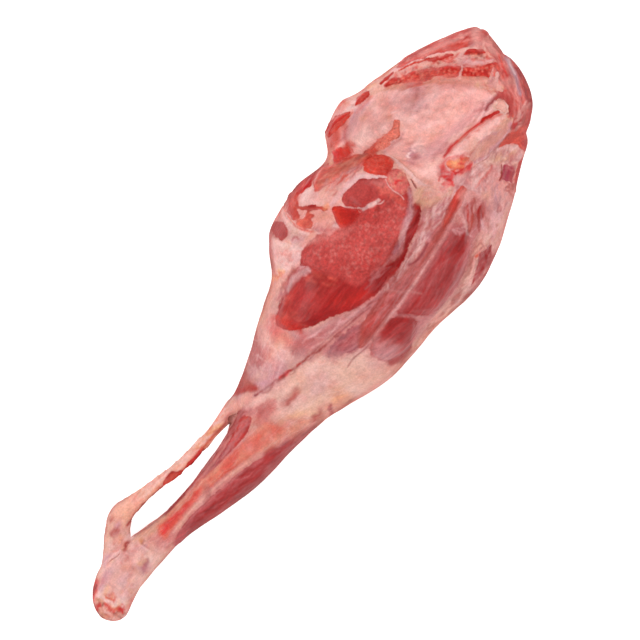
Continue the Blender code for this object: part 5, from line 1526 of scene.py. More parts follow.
        stain("bright flank edge", Tone.BRIGHT, [419, -58, 426, -56.4, 435, -54], 0.6, width=1.0, edge=1.4),
        cover("cream flank lumps", Tone.PINK, [411.4, -53, 414, -50.8, 416.4, -52.6, 418, -57, 417, -59.4,
            412, -58.6], edge=1.2, rag=2.0, rise=0.8, crown=2.0),
        *streaks("red of the flank lumps", Tone.MAUVE_RED, [411, -52, 417, -52, 418, -59, 412, -59], 12,
            2.4, 0.5, -70, 0.7, 30),
        stain("salmon of the loin strip", Tone.TAN, [415, -22, 425, -25.4, 438, -28.6, 450, -31.4], 0.75,
            width=2.6, edge=2.2, rag=0.8),
        cover("pale top of the loin strip", Tone.LINING, [410, -11.6, 422, -14.4, 436, -19, 449, -24],
            width=1.8, edge=1.6, rag=0.8),
        # Painted shadow along the loin strip, under the membrane's edge.
        blood("painted shadow along the loin strip", [412.6, -27.2, 418, -29.6, 425.3, -32.1, 434.7, -34.5, 444, -35,
            452, -35.5], 0.6, width=0.4, rag=0.5),
        stain("rose before the loin strip", Tone.MAUVE_PINK, [400, -29, 405, -27, 409, -25], 0.7, width=1.8,
            edge=2.0, rag=0.8),
        # Painted light where the slope of the upper lining turns from the lamps.
        stain("painted light on the upper lining", Tone.LINING, [398, 44, 404, 50, 408, 55], 0.7, width=4.0,
            edge=3.0, rag=0.8),
        stain("painted light on the slope of the lining", Tone.LINING_WHITE_AND_HIGHLIGHT, [402, 42, 405, 47, 409, 54], 0.7, width=3.6,
            edge=3.4, rag=0.6),
        stain("bright foot of the lining", Tone.LINING_PALE, [402, 9, 405, 13, 409, 15], 0.55, width=2.6,
            edge=3.0, rag=0.6),
        *streaks("speck of the loin end", Tone.ORANGE, [402, -13, 407, -11, 414, -18, 412, -22, 404, -19],
            4, 1.2, 0.5, -40, 0.5, 30),
        *streaks("cream of the loin end", Tone.PINK, [396, -9, 407, -9, 416, -18, 412, -25, 400, -20], 12,
            3.0, 0.6, -40, 0.7, 30, edge=1.0),
        stain("peach of the loin strip", Tone.TAN, [420, -16, 425, -18, 429, -19], 0.75, width=2.6,
            edge=2.6, rag=0.8),
        stain("pale under the cleft", Tone.LINING, [381, -13, 386, -16, 390, -18], 0.6, width=2.6, edge=2.6,
            rag=0.8),
        stain("red of the loin end", Tone.VIVID, [399, -12, 403, -20, 409, -24, 414, -24], 0.8, width=1.4,
            edge=1.2, rag=0.8),
        stain("upper red of the loin end", Tone.VIVID, [400, -9.6, 405, -9.4, 411, -12, 415, -17], 0.7,
            width=1.0, edge=1.2, rag=0.8),
        *streaks("clot of the loin end", Tone.VIVID, [390, -12, 397, -8, 401, -14, 400, -22, 394, -21], 12,
            1.6, 0.6, -60, 0.85, 60, edge=0.9),
    ]


def chump() -> List[Patch]:
    """The cut end: the split backbone, the torn tail muscle and the red meat round them.

    Returns:
        The patches, in the order that they are laid.
    """
    marbled = [430, 58, 440, 52, 452, 44, 462, 36, 472, 26, 478, 20, 484, 8, 480, 2, 474, 10, 468, 20, 456,
        36, 444, 46, 434, 54]
    outer = [442, 56, 452, 49, 462, 42, 474, 30, 484, 22, 494, 16, 500, 14, 500, 22, 494, 31, 484, 39, 470,
        48, 456, 56]
    fan = [458, -24, 466, -14, 474, -8, 484, -2, 488, -8, 480, -20, 472, -32, 464, -36, 456, -32]
    return [
        cover("pink top of the tail", Tone.PINK, [371, 66, 376, 76, 398, 79, 410, 73, 424, 69, 424, 62, 414,
            61, 404, 66, 392, 63, 378, 66], edge=1.4, rag=1.2, grain=0.6),
        lean("torn tail muscle", Tone.CUT_BONE, [374, 70.6, 377.6, 73.4, 383, 74.6, 389, 74.2, 393.6, 71.6,
            398, 67.4, 397, 65.4, 392, 65, 385, 66.6, 378.6, 68.4], edge=1.0, rag=1.0, grain=0.2, rise=1.2,
            crown=2.0, turn=-24),
        stain("dark of the torn muscle", Tone.DEEPEST, [379, 71.6, 385, 71.4, 391, 68.6], 0.6, width=1.0,
            edge=1.6),
        *streaks("light of the torn muscle", Tone.SALMON, [375, 70, 382, 74, 392, 72, 396, 66, 384, 68], 14,
            6, 0.35, -22, 0.5, 10),
        *streaks("white of the tail", Tone.WHITE, [396, 71, 398, 76, 406, 75, 412, 70, 402, 68], 20, 4, 0.4,
            -20, 0.6, 30),
        stain("salmon under the torn muscle", Tone.ORANGE_RED, [376, 68, 384, 66, 392, 64.4, 398, 64.6],
            0.8, width=0.8, edge=1.4, rag=0.8),
        stain("rose tip of the tail", Tone.SALMON, [396, 74.6, 400, 74.4, 403, 72.6], 0.7, width=1.1,
            edge=1.6, rag=1.2),
        stain("spot of the tail", Tone.BROWN_AND_SHADE, [386, 62.6, 388.6, 62.4], 0.7, width=0.5, edge=0.9),
        lean("tail bone", Tone.CUT_BONE, [404.4, 66, 407, 67.8, 411, 67.6, 415, 66.4, 419, 64.4, 418.6,
            62.6, 414, 62, 409, 63.6], edge=1.0, grain=1.0, rise=0.8, crown=1.6),
        stain("light of the tail bone", Tone.SALMON, [406, 64.6, 411, 65.4, 416, 64], 0.5, width=0.6,
            edge=1.2, rag=0.8),
        stain("salmon under the tail bone", Tone.SALMON, [400, 62, 408, 62, 416, 60.4], 0.5, width=0.8,
            edge=1.6),
        cover("cream gap", Tone.CREAM, [418, 66, 422, 70, 428, 67.6, 430, 62, 426, 58.6, 422, 58, 418, 61],
            rag=1.0, rise=0.4),
        stain("golden gap", Tone.GOLD, [420, 66, 424, 63.6], 0.4, width=1.2, edge=1.6),
        cover("marbled strip", Tone.PINK, marbled, edge=1.6, rag=1.0, rise=0.3, grain=0.8, turn=-40),
        *streaks("red of the marbled strip", Tone.BRIGHT, marbled, 130, 2.4, 0.4, -42, 0.6, 40),
        *streaks("cream of the marbled strip", Tone.CREAM, marbled, 40, 4.0, 0.6, -42, 0.8, 24),
        *streaks("pit of the marbled strip", Tone.MAROON, marbled, 18, 1.2, 0.35, -42, 0.6, 60),
        cover("white line of the backbone", Tone.CREAM, [422, 58, 430, 50, 438, 43, 446, 34.6, 453, 25.6,
            458, 17.6, 463, 9, 468.4, 1.6, 471, -2.6], width=1.4, rise=0.6, crown=1.6, edge=1.0, rag=0.5),
        lean("backbone", Tone.MARROW_RED, [425.6, 57, 429, 57, 434, 53.6, 438, 50, 441.6, 48.6, 446, 44.6,
            450.6, 40.6, 455.4, 36, 459.6, 30.6, 464, 25, 468.4, 19, 466, 17, 461, 16.6, 458, 19.6, 455, 25,
            451, 30, 446.4, 34.6, 441.6, 40.6, 436, 45.6, 430.6, 50.4], edge=1.0, rag=0.6, grain=1.0,
            rise=1.0, crown=1.8),
        stain("first vertebra", Tone.CUT_BONE, [427.4, 55.4, 431, 53, 435, 49.6], 0.95, width=2.2, edge=1.4,
            rag=0.6),
        stain("second vertebra", Tone.CUT_BONE, [438.6, 47, 443, 43.6, 446, 40.6], 0.85, width=1.6,
            edge=1.8, rag=1.0),
        stain("third vertebra", Tone.CUT_BONE, [448, 39, 452, 34.6, 455, 30], 0.55, width=2.0, edge=2.0,
            rag=1.0),
        stain("fourth vertebra", Tone.CUT_BONE, [457.6, 28, 461, 24, 464, 19.6], 1.0, width=2.8, edge=1.6,
            rag=0.6),
        *streaks("fleck of the backbone", Tone.SALMON, [426, 56, 434, 53, 448, 42, 466, 20, 460, 18, 446,
            35, 432, 50], 90, 0.8, 0.35, -45, 0.5, 60),
        stain("light between vertebrae", Tone.SALMON, [435.6, 46, 438, 48.4, 440, 50], 0.7, width=0.9,
            edge=1.6, rag=0.6),
        stain("second light between vertebrae", Tone.PEACH, [446.4, 36.6, 449, 41, 451, 42.6], 0.5,
            width=0.8, edge=1.6, rag=0.8),
        sinew("disc", [461.4, 15.6, 464.4, 16.4, 468.6, 17.8], 1.0, width=0.55, rag=0.5),
        lean("sawn block", Tone.CUT_BONE, [462, 14, 465.6, 15.6, 468.6, 16.4, 471.6, 13, 475.4, 8.6, 479.6,
            3.6, 483.8, -0.6, 481.6, -2.6, 477, -2.6, 472, -3.4, 470.2, 0, 468.8, 4, 465.4, 9.4], edge=0.9,
            rag=0.5, grain=1.0, rise=1.2, crown=1.8, turn=-52),
        stain("deep red of the block", Tone.DEEPEST, [467, 12, 471, 7, 475, 2], 0.35, width=2.0, edge=3.0),
        *streaks("fleck of the block", Tone.SALMON, [463, 14, 468, 16, 482, 0, 473, -2, 468, 6], 28, 1.4,
            0.35, -50, 0.55, 50),
        stain("lilac beside the block", Tone.PALE_LILAC, [471.6, 17.6, 475, 13, 479.6, 7, 484.6, 1.4], 0.9,
            width=0.8, edge=1.2, rag=0.6),
        lean("top red strip", Tone.CUT_BONE, [426.8, 60, 431, 58.8, 437.6, 56.4], width=1.1, edge=1.0,
            rag=0.5, turn=-26),
        lean("inner dark strip", Tone.BRIGHT, [441, 53.8, 446, 50.8, 451, 47.6, 456, 43.8, 459.6, 41],
            width=0.7, edge=1.0, rag=0.4, turn=-38),
        lean("short red strip", Tone.CUT_BONE, [458.6, 40.8, 462, 37, 466, 33, 471.6, 28.4], width=1.6,
            edge=1.0, rag=0.6, turn=-44),
        stain("light of the short strip", Tone.MARROW_RED, [463, 37.6, 467, 33.6, 471, 29.6], 0.6,
            width=0.8, edge=1.4),
        stain("rose by the short strip", Tone.SALMON, [466, 28, 470, 26.4, 475, 24.6], 0.7, width=0.8,
            edge=1.2, rag=1.2),
        cover("pink rim of the outer muscle", Tone.LINING_LILAC, [438, 58, 445, 53.4, 454, 48.4, 462, 43,
            470, 35.6, 477, 28.6, 484, 23.4], width=0.55, edge=1.0, rag=0.6),
        lean("outer red muscle", Tone.OUTER_RED, outer, edge=1.2, rag=0.8, rise=0.8, turn=-36),
        stain("dark of the outer muscle", Tone.BROWN, [486, 29, 491, 29, 496, 23, 494, 20.6, 489, 23.6],
            0.85, edge=2.0, rag=0.5),
        stain("bright of the outer muscle", Tone.CUT_BONE, [448, 54.6, 453, 52.2, 458, 49.6], 0.95,
            width=1.5, edge=1.3, rag=0.4),
        *streaks("pale streak of the outer muscle", Tone.ROSE_FACE, outer, 50, 11, 0.4, -36, 0.5, 7),
        *streaks("red streak of the outer muscle", Tone.BRIGHT, outer, 60, 10, 0.4, -36, 0.5, 7),
        stain("orange rim of the outer muscle", Tone.SALMON, [444, 59, 456, 54, 468, 47, 480, 40, 492, 31,
            499, 21], 0.5, width=1.0, edge=1.6),
        stain("pink heel of the outer muscle", Tone.MAUVE_PINK, [484, 21, 490, 17.6, 495, 17], 0.85,
            width=1.8, edge=2.0, rag=0.8),
        stain("white corner of the outer muscle", Tone.CREAM, [496, 26, 498, 23, 499.6, 20], 0.7, width=0.9,
            edge=1.4),
        lean("ring of the pin bone", Tone.CUT_BONE, [475.8, 20.4, 478, 21.8, 481, 21.2, 484.4, 16.4, 487,
            11.4, 485.6, 9.6, 482.8, 11.6, 480, 13.6, 478, 16], edge=1.0, rag=0.8, grain=0.8, rise=0.6),
        stain("pale heart of the pin bone", Tone.PEACH, [478, 15, 481, 12], 0.7, width=1.0, edge=1.4,
            rag=1.0),
        *streaks("pit of the pin bone", Tone.MAROON, [474, 19, 478, 12, 484, 10, 482, 16], 8, 1.0, 0.5, -50,
            0.7, 60),
        *streaks("fleck below the pin bone", Tone.BRIGHT, [478, 10, 488, 10, 490, 4, 484, 2], 18, 1.4, 0.45,
            -40, 0.6, 60),
        lean("end face", Tone.OUTER_RED, [488, 9, 492, 14, 499, 12, 500, 2, 497, -8, 491, -20, 484, -30,
            474, -40, 468, -40, 468, -33, 474, -24, 480, -14, 485, -5, 486, 2], edge=1.2, rag=1.0, turn=62),
        stain("brown end strip", Tone.BROWN, [489, 4, 492, 10, 497, 16], 0.8, width=1.4, edge=2.0, rag=0.6),
        *streaks("streak of the end", Tone.PEACH, [486, 2, 498, 16, 499, 6, 492, -10, 486, -12], 26, 7,
            0.35, 62, 0.6, 10),
        *streaks("dark streak of the end", Tone.MAROON, [486, 2, 498, 16, 499, 6, 492, -10, 486, -12], 18,
            7, 0.35, 62, 0.45, 10),
        lean("dark outer strip", Tone.OUTER_DARK, [489.6, -2, 500, -2, 497, -18, 488, -32, 478, -42, 467,
            -45, 470, -38.6, 474.6, -33.6, 481, -25.6, 486.4, -17], edge=1.0, rag=0.5, turn=58, rise=0.6),
        stain("deep of the outer strip", Tone.DEEPEST, [495, -3, 493.4, -12, 489, -21, 483, -29, 475, -38,
            470, -42], 0.85, width=2.0, edge=2.2),
        *streaks("light of the outer strip", Tone.SALMON, [493, -6, 488, -20, 478, -34, 472, -38, 480, -28,
            490, -10], 10, 3, 0.3, 58, 0.45, 14),
        cover("torn edge of the lining", Tone.CREAM, [465, 0, 470, -3, 478, -4, 484, -3, 484, -7, 478, -11,
            473, -14, 470.6, -17, 468, -15, 465.4, -10], rag=1.4, rise=0.8, crown=2.0, grain=0.8),
        stain("yellow of the torn edge", Tone.YELLOW_FAT, [467, -5, 468.6, -9, 469.4, -14], 0.8, width=1.5,
            edge=2.0),
        stain("pink of the torn edge", Tone.LINING_LILAC, [473, -9, 478, -7, 483, -5], 0.8, width=1.6,
            edge=2.0, rag=0.8),
        *streaks("speck of the torn edge", Tone.MAROON, [468, -2, 484, -4, 476, -12, 469, -12], 14, 0.9,
            0.4, 40, 0.6, 60),
        lean("rose of the fan", Tone.SALMON, fan, edge=1.2, rag=1.2, turn=56, rise=0.2),
        *streaks("brown of the fan", Tone.BROWN, fan, 40, 10, 0.55, 56, 0.8, 8),
        *streaks("pink of the fan", Tone.ROSE_FACE, fan, 46, 10, 0.4, 56, 0.75, 8),
        *streaks("vivid of the fan", Tone.VIVID, fan, 14, 4, 0.4, 56, 0.6, 14),
        stain("dark foot of the fan", Tone.MAUVE_RED, [460, -30, 466, -22, 471, -14], 0.6, width=2.2,
            edge=3.0, rag=0.8),
        stain("lilac band of the end", Tone.BAND_LILAC, [474.6, -27, 478, -22, 482, -17, 486, -12, 490.4,
            -6], 1.0, width=1.8, edge=1.6, rag=0.8),
        stain("white of the lilac band", Tone.WHITE, [484, -16, 487.4, -11, 490.4, -6.6], 0.6, width=0.5,
            edge=1.0),
        stain("violet of the lilac band", Tone.MAUVE, [476, -25.6, 480, -21, 483, -17], 0.5, width=0.5,
            edge=1.2),
        stain("cream line of the end", Tone.PINK, [468, -31, 472, -26, 477, -20, 481, -14], 0.8, width=0.8,
            edge=1.2, rag=0.8),
        cover("torn fat of the corner", Tone.WHITE_FAT, [455.8, -17.4, 457.6, -15.4, 460, -16.4, 461, -14.4,
            463.4, -16.6, 463.6, -22.4, 460, -24.6, 457, -25.8, 455.4, -22], rag=1.2, rise=1.2, crown=1.4,
            grain=0.5),
        stain("yellow of the torn corner", Tone.YELLOW_FAT, [457.6, -18, 460, -20], 0.5, width=1.6,
            edge=2.4),
        blood("notch of the corner", [451.8, -13.4, 456, -13.2, 460, -12.6, 463.6, -13.6], 0.5, width=0.8,
            rag=0.8, rise=-1.2, crown=1.2),
        stain("mauve of the notch", Tone.MAUVE, [452, -13.4, 458, -12.8, 463, -13.4, 466, -16], 0.9,
            width=1.3, edge=1.4, rag=0.6),
        stain("red of the notch", Tone.BROWN, [463, -14.6, 466, -15, 468, -17.6], 0.9, width=1.4, edge=1.4,
            rag=0.8),
        lean("crimson corner", Tone.MAUVE_RED, [448.4, -36.6, 456, -33.6, 462, -33, 468, -32.6, 472, -36,
            470, -41, 466, -42, 458, -42, 451.6, -39.3], edge=1.2, rag=0.7, turn=20),
        stain("clot of the corner", Tone.CRIMSON, [451.6, -37.4, 455, -36.2, 459.6, -37], 1.0, width=1.1,
            edge=1.0, rag=0.6),
        stain("second clot of the corner", Tone.CRIMSON, [463.6, -36, 465.4, -34.8], 0.95, width=1.2,
            edge=1.2, rag=1.0),
        blood("dark of the clot", [452.4, -37.2, 457, -38.4], 0.5, width=0.5, rag=0.8),
        *streaks("strand of the corner", Tone.PINK, [450, -38, 458, -33, 470, -33, 462, -41], 16, 5, 0.4,
            -8, 0.7, 24),
        stain("cream corner", Tone.PINK, [446.6, -35, 450, -38, 453.4, -39.6, 456, -40], 0.8, width=0.7,
            edge=1.2, rag=0.6),
        stain("dark red under the corner", Tone.WEDGE, [454, -44, 460, -43.6, 466, -42.6, 472, -42], 0.9,
            width=2.0, edge=1.8, rag=0.5),
        lean("orange corner", Tone.AITCH, [434.2, -34.5, 443, -34.6, 448.4, -36.6, 451.6, -39.3, 459, -42,
            463, -44, 462, -50, 450, -56, 443.4, -54, 443.2, -47.7, 444.2, -43.5, 440, -39.8, 435.8, -36.6],
            edge=1.0, rag=0.5, grain=0.6, turn=-40),
        stain("bright of the orange corner", Tone.FLANK_RED, [445.6, -51, 448, -47.6, 454, -45, 460, -43.4],
            0.9, width=1.8, edge=2.0, rag=0.6),
        # Painted shadow under the flank membrane's edge.
        stain("painted shadow over the orange corner", Tone.BROWN_AND_SHADE, [434, -34, 440, -34.4, 446, -36.4], 0.6,
            width=0.5, edge=1.0),
        *streaks("streak of the orange corner", Tone.SALMON, [436, -35, 446, -38, 460, -43, 448, -51, 444,
            -44], 14, 4, 0.4, -60, 0.6, 24),
        cover("contour of the outer muscle", Tone.HOCK_TAN, [432, 62.4, 446, 58, 458, 52.6, 470, 46, 482,
            38.4, 492, 31, 498, 24.6], width=0.9, edge=1.2, rag=0.6),
        *streaks("fibre of the outer muscle", Tone.PINK, [440, 58, 450, 56, 470, 44, 484, 34, 494, 26, 490,
            22, 476, 32, 458, 46, 444, 55], 22, 12, 0.35, -35, 0.55, 4, edge=0.9),
        *streaks("dark fibre of the outer muscle", Tone.CUT_BONE, [440, 58, 450, 56, 470, 44, 484, 34, 494,
            26, 490, 22, 476, 32, 458, 46, 444, 55], 30, 11, 0.4, -35, 0.7, 4, edge=0.9),
        stain("tan foot of the lining", Tone.TAN, [462, 13, 465.6, 7, 469, 1.6, 471, -2.4], 0.9, width=1.5,
            edge=1.2, rag=0.6),
        stain("cream beside the backbone", Tone.TAN, [424, 55.4, 432, 47, 440, 38.6, 448, 29.6, 454, 20.4,
            459, 13.6], 0.85, width=1.0, edge=1.2, rag=0.6),
        stain("tan of the torn edge", Tone.YELLOW_CREAM, [467.6, -4.6, 470, -8.4, 471, -13], 0.9, width=2.1,
            edge=1.2, rag=0.9),
        stain("upper light of the backbone", Tone.MARROW_RED, [437.4, 43, 441, 40, 444, 37], 0.85,
            width=1.8, edge=1.8, rag=0.8),
        stain("lower light of the backbone", Tone.MARROW_RED, [456, 24, 459, 21, 462, 17.6], 0.7, width=1.2,
            edge=1.6, rag=0.8),
        stain("pink of the end face", Tone.ROSE_FACE, [487, 14, 491, 17.6, 495, 18.6], 0.9, width=2.4,
            edge=2.0, rag=0.6),
        stain("second pink of the end face", Tone.PINK, [488, 3, 489.6, 8, 492, 13], 0.85, width=1.4,
            edge=2.0, rag=0.6),
        stain("pink of the fan top", Tone.PINK, [470, -7, 474, -12, 478, -16], 0.75, width=2.2, edge=2.4,
            rag=0.8),
        *streaks("line of the fan", Tone.BROWN, fan, 18, 9, 0.3, 56, 0.6, 6, edge=0.8),
        *streaks("light line of the fan", Tone.ROSE_FACE, fan, 18, 9, 0.3, 56, 0.6, 6, edge=0.8),
        blood("notch in the torn corner", [453, -8, 456, -11.6, 459, -13], 0.5, width=0.35, rag=0.8),
        stain("red corner", Tone.MAUVE_RED, [459, -40.6, 464, -39, 469, -37], 0.8, width=2.2, edge=2.2,
            rag=0.6),
        blood("shadow under the corner flap", [464.9, -15.6, 465.4, -21, 462.2, -24.6, 458.6, -27.6, 455.6,
            -25], 0.75, width=0.5, edge=0.8, rag=0.5),
        stain("shade under the corner flap", Tone.BROWN, [467, -17, 466.4, -22, 463, -26, 459, -29], 0.8,
            width=1.3, edge=1.6, rag=0.5),
        *streaks("light of the sawn block", Tone.GRANULAR_PINK, [463, 14, 468, 16, 482, 0, 473, -2, 468, 6],
            20, 0.9, 0.4, -60, 0.55, 60, edge=0.8),
        *streaks("light of the bone", Tone.GRANULAR_PINK, [426, 56, 434, 53, 448, 42, 466, 20, 460, 18, 446,
            35, 434, 47], 70, 0.9, 0.35, -45, 0.5, 60, edge=0.8),
        stain("paler rim of the outer muscle", Tone.PINK, [459, 47, 464, 44, 470, 40, 478, 34, 486, 30],
            0.6, width=1.4, edge=1.8, rag=0.6),
        stain("pale top of the end face", Tone.PINK, [489, 19, 492, 22, 496, 23], 0.8, width=2.2, edge=2.2,
            rag=0.6),
        stain("pale front of the end face", Tone.PINK, [490, 4, 492, 9, 495, 14], 0.6, width=1.6, edge=2.0,
            rag=0.6),
        stain("red of the tail root", Tone.CUT_BONE, [371, 52, 376, 55, 379, 56], 0.9, width=2.4, edge=2.4,
            rag=0.6),
        stain("orange of the tail root", Tone.SALMON, [372, 62, 377, 64, 380, 66], 0.8, width=2.4, edge=2.4,
            rag=0.6),
        stain("deeper tail root", Tone.BRIGHT, [371, 56, 375, 54, 379, 52], 0.8, width=2.2, edge=2.4,
            rag=0.6),
        stain("deeper tail edge", Tone.AITCH, [371, 64, 376, 66, 380, 68], 0.85, width=2.6, edge=2.6,
            rag=0.6),
        stain("rose of the tail fold", Tone.BAND, [381, 60, 386, 63, 389, 66], 0.7, width=2.4, edge=2.6,
            rag=0.6),
        stain("deep of the red corner", Tone.CUT_BONE, [459, -42.6, 464, -41, 468, -39.6], 0.7, width=1.6,
            edge=2.0, rag=0.6),
    ]


def walls() -> List[Patch]:
    """The sawn end of the chump and the flanks of the leg, by length or width and by height.

    Returns:
        The patches, in the order that they are laid.
    """
    heel, shin, end = ({"side": side} for side in (Side.HEEL_WALL, Side.SHIN_WALL, Side.CHUMP_END))
    flank = [180, 4, 440, 4, 440, 70, 180, 60]
    heel_cut = [432, 60, 446, 62, 470, 58, 505, 52, 505, 18, 480, 15, 462, 22, 446, 34, 436, 46]
    shin_cut = [428, 52, 450, 58, 474, 58, 505, 54, 505, 16, 478, 13, 456, 20, 440, 34]
    rump = [-44, 20, -30, 13, -12, 10, -2, 12, 2, 24, 1, 40, -6, 52, -22, 56, -36, 48, -44, 36]
    second = [5, 11, 22, 11, 38, 18, 46, 30, 40, 44, 26, 52, 10, 52, 4, 38, 6, 22]
    return [
        cover("heel flank", Tone.CREAM, [150, -10, 450, -10, 450, 100, 150, 100], edge=3.0, turn=4, **heel),
        stain("pink of the heel flank", Tone.LILAC, [280, 20, 320, 44, 370, 50, 410, 44, 420, 26, 380, 14,
            330, 10], 0.6, edge=12.0, rag=3.0, **heel),
        stain("yellow of the heel flank", Tone.YELLOW_FAT, [200, 10, 250, 24, 310, 20, 330, 8, 260, 2], 0.6,
            edge=9.0, rag=3.0, **heel),
        stain("rose of the heel flank", Tone.MAUVE_PINK, [396, 30, 412, 50, 436, 44, 436, 22, 416, 14], 0.6,
            edge=8.0, rag=2.0, **heel),
        *streaks("strand of the heel flank", Tone.WHITE, flank, 90, 34, 0.9, 6, 0.5, 12, edge=1.6, **heel),
        *streaks("mauve of the heel flank", Tone.MAUVE_PINK, flank, 60, 22, 0.9, 4, 0.45, 14, edge=2.0,
            **heel),
        *streaks("vein of the heel flank", Tone.SALMON, flank, 30, 12, 0.6, 10, 0.5, 24, edge=1.6, **heel),
        stain("bloom of the thin skin", Tone.WEDGE, [300, 30, 330, 36, 344, 28, 320, 20], 0.3, edge=6.0,
            rag=3.0, **heel),
        lean("heel side of the chump", Tone.WEDGE, heel_cut, edge=1.6, rag=1.8, grain=0.4, turn=-12,
            **heel),
        *streaks("grain of the heel side", Tone.MAROON, heel_cut, 50, 14, 0.6, -14, 0.5, 8, **heel),
        *streaks("pale grain of the heel side", Tone.MAUVE_PINK, heel_cut, 60, 12, 0.6, -14, 0.6, 8,
            **heel),
        sinew("seam of the heel side", [440, 46, 454, 41, 468, 36, 484, 34, 500, 33], 0.9, width=0.9,
            **heel),
        sinew("branch of the heel seam", [468, 36, 478, 28, 490, 22, 502, 20], 0.7, width=0.6, **heel),
        cover("outer fat of the heel side", Tone.CREAM, [426, 26, 440, 22, 462, 15, 480, 12, 505, 11, 505,
            -8, 426, -8], edge=1.4, rag=1.8, **heel),
        *streaks("fold of the outer fat", Tone.WHITE_FAT, [426, 20, 462, 12, 505, 8, 505, 2, 426, 2], 24,
            18, 0.9, 0, 0.7, 6, edge=1.6, **heel),
        cover("shin flank", Tone.CREAM, [180, -10, 440, -10, 440, 100, 180, 100], edge=3.0, turn=-4,
            **shin),
        stain("pink of the shin flank", Tone.LILAC, [240, 20, 290, 40, 356, 46, 400, 36, 400, 16, 330, 10],
            0.6, edge=12.0, rag=3.0, **shin),
        stain("yellow of the shin flank", Tone.YELLOW_FAT, [210, 8, 270, 16, 350, 12, 390, 4, 290, 0], 0.6,
            edge=8.0, rag=3.0, **shin),
        stain("mauve of the shin flank", Tone.COOL_LILAC, [380, 30, 410, 44, 436, 36, 420, 18, 392, 14],
            0.6, edge=8.0, rag=2.0, **shin),
        *streaks("strand of the shin flank", Tone.WHITE, flank, 90, 34, 0.9, -5, 0.5, 12, edge=1.6, **shin),
        *streaks("mauve streak of the shin flank", Tone.MAUVE_PINK, flank, 60, 22, 0.9, -4, 0.45, 14,
            edge=2.0, **shin),
        *streaks("vein of the shin flank", Tone.SALMON, flank, 30, 12, 0.6, -10, 0.5, 24, edge=1.6, **shin),
        lean("flank side of the chump", Tone.WEDGE, shin_cut, edge=1.6, rag=1.8, grain=0.4, turn=8, **shin),
        *streaks("grain of the flank side", Tone.MAROON, shin_cut, 50, 14, 0.6, 8, 0.5, 8, **shin),
        *streaks("pale grain of the flank side", Tone.MAUVE_PINK, shin_cut, 60, 12, 0.6, 8, 0.6, 8, **shin),
        sinew("seam of the flank side", [442, 40, 456, 42, 472, 40, 488, 35, 502, 32], 0.9, width=0.9,
            **shin),
        cover("outer fat of the flank side", Tone.CREAM, [416, 26, 436, 22, 452, 14, 480, 11, 505, 11, 505,
            -8, 416, -8], edge=1.4, rag=1.8, **shin),
        cover("fat of the end", Tone.CREAM, [-70, -8, 70, -8, 70, 90, -70, 90], edge=2.0, **end),
        lean("rump muscle", Tone.CUT, rump, edge=0.9, grain=0.9, rise=0.8, rag=0.8, **end),
        lean("second rump muscle", Tone.BROWN, second, edge=0.9, grain=0.9, rise=0.8, rag=0.8, **end),
        *streaks("grain of the rump", Tone.MAROON, rump, 60, 3, 0.4, 60, 0.5, 30, **end),
        *streaks("pale grain of the rump", Tone.MAUVE_PINK, rump, 90, 4, 0.5, 60, 0.6, 30, **end),
        *streaks("grain of the second muscle", Tone.MAROON, second, 60, 3, 0.4, 30, 0.5, 30, **end),
        *streaks("pale grain of the second", Tone.MAUVE_PINK, second, 90, 4, 0.5, 30, 0.6, 30, **end),
        lean("small rump muscle", Tone.CUT_BONE, [-34, 56, -24, 58, -12, 58, -10, 64, -22, 66, -32, 63],
            edge=0.9, grain=0.8, rise=0.6, rag=0.8, **end),
        lean("hip bone", Tone.GRANULAR_PINK, [-6, 54, 3, 56, 13, 54, 12, 61, 1, 63, -7, 60], edge=0.8,
            grain=1.0, rise=-0.5, rag=0.6, **end),
        *streaks("pore of the hip bone", Tone.MAROON, [-6, 54, 13, 54, 12, 61, -7, 60], 24, 1.2, 0.4, 0,
            0.7, 60, **end),
        stain("rim of the hip bone", Tone.WHITE, [-7, 53, -8, 58, -1, 64, 12, 62, 14.6, 54, 4, 54], 0.9,
            edge=0.9, width=0.7, **end),
        sinew("seam of the rump", [-38, 33, -28, 31, -16, 30, -4, 31], 0.8, width=0.7, **end),
        sinew("fat line of the rump", [-26, 54, -20, 44, -22, 34, -18, 24], 0.7, width=0.7, **end),
        sinew("second seam of the rump", [8, 31, 20, 27, 30, 27, 40, 30], 0.8, width=0.8, **end),
        sinew("branch of the second seam", [22, 27, 25, 36, 22, 46], 0.7, width=0.6, **end),
        cover("outer fat of the end", Tone.CREAM, [-70, 18, -44, 15, -26, 10, 0, 7, 26, 8, 44, 14, 70, 20,
            70, -8, -70, -8], rag=1.6, **end),
    ]


def outer_side() -> List[Patch]:
    """The outer side that the leg lies on, covered with fat and thin skin.

    Returns:
        The patches, in the order that they are laid.
    """
    def below(maker: Callable[..., Patch], *parts: object, **looks: object) -> Patch:
        """A patch of the outer side."""
        return maker(*parts, side=Side.UNDER, edge=8.0, rag=4.0, **looks)

    return [
        below(cover, "outer fat", Tone.CREAM, [-20, -90, 520, -90, 520, 90, -20, 90]),
        below(stain, "outer shank", Tone.MAUVE_PINK, [60, 24, 120, 26, 180, 20, 190, -4, 120, -8, 60, 0],
            0.55),
        below(stain, "outer thigh", Tone.LILAC, [260, 30, 330, 40, 380, 20, 340, -10, 270, -6], 0.6),
        below(stain, "outer calf", Tone.MAUVE_PINK, [240, -20, 290, -24, 320, -46, 270, -48], 0.45),
        below(stain, "outer rump", Tone.LILAC, [400, 20, 450, 24, 460, -10, 410, -20], 0.6),
    ]


# --- surface ----------------------------------------------------------------------------


def alone(thing: bpy.types.Object) -> bpy.types.Object:
    """Leaves this object as the only one selected, and active.

    Args:
        thing: The object.

    Returns:
        The same object.
    """
    bpy.ops.object.select_all(action="DESELECT")
    thing.select_set(True)
    bpy.context.view_layer.objects.active = thing
    return thing


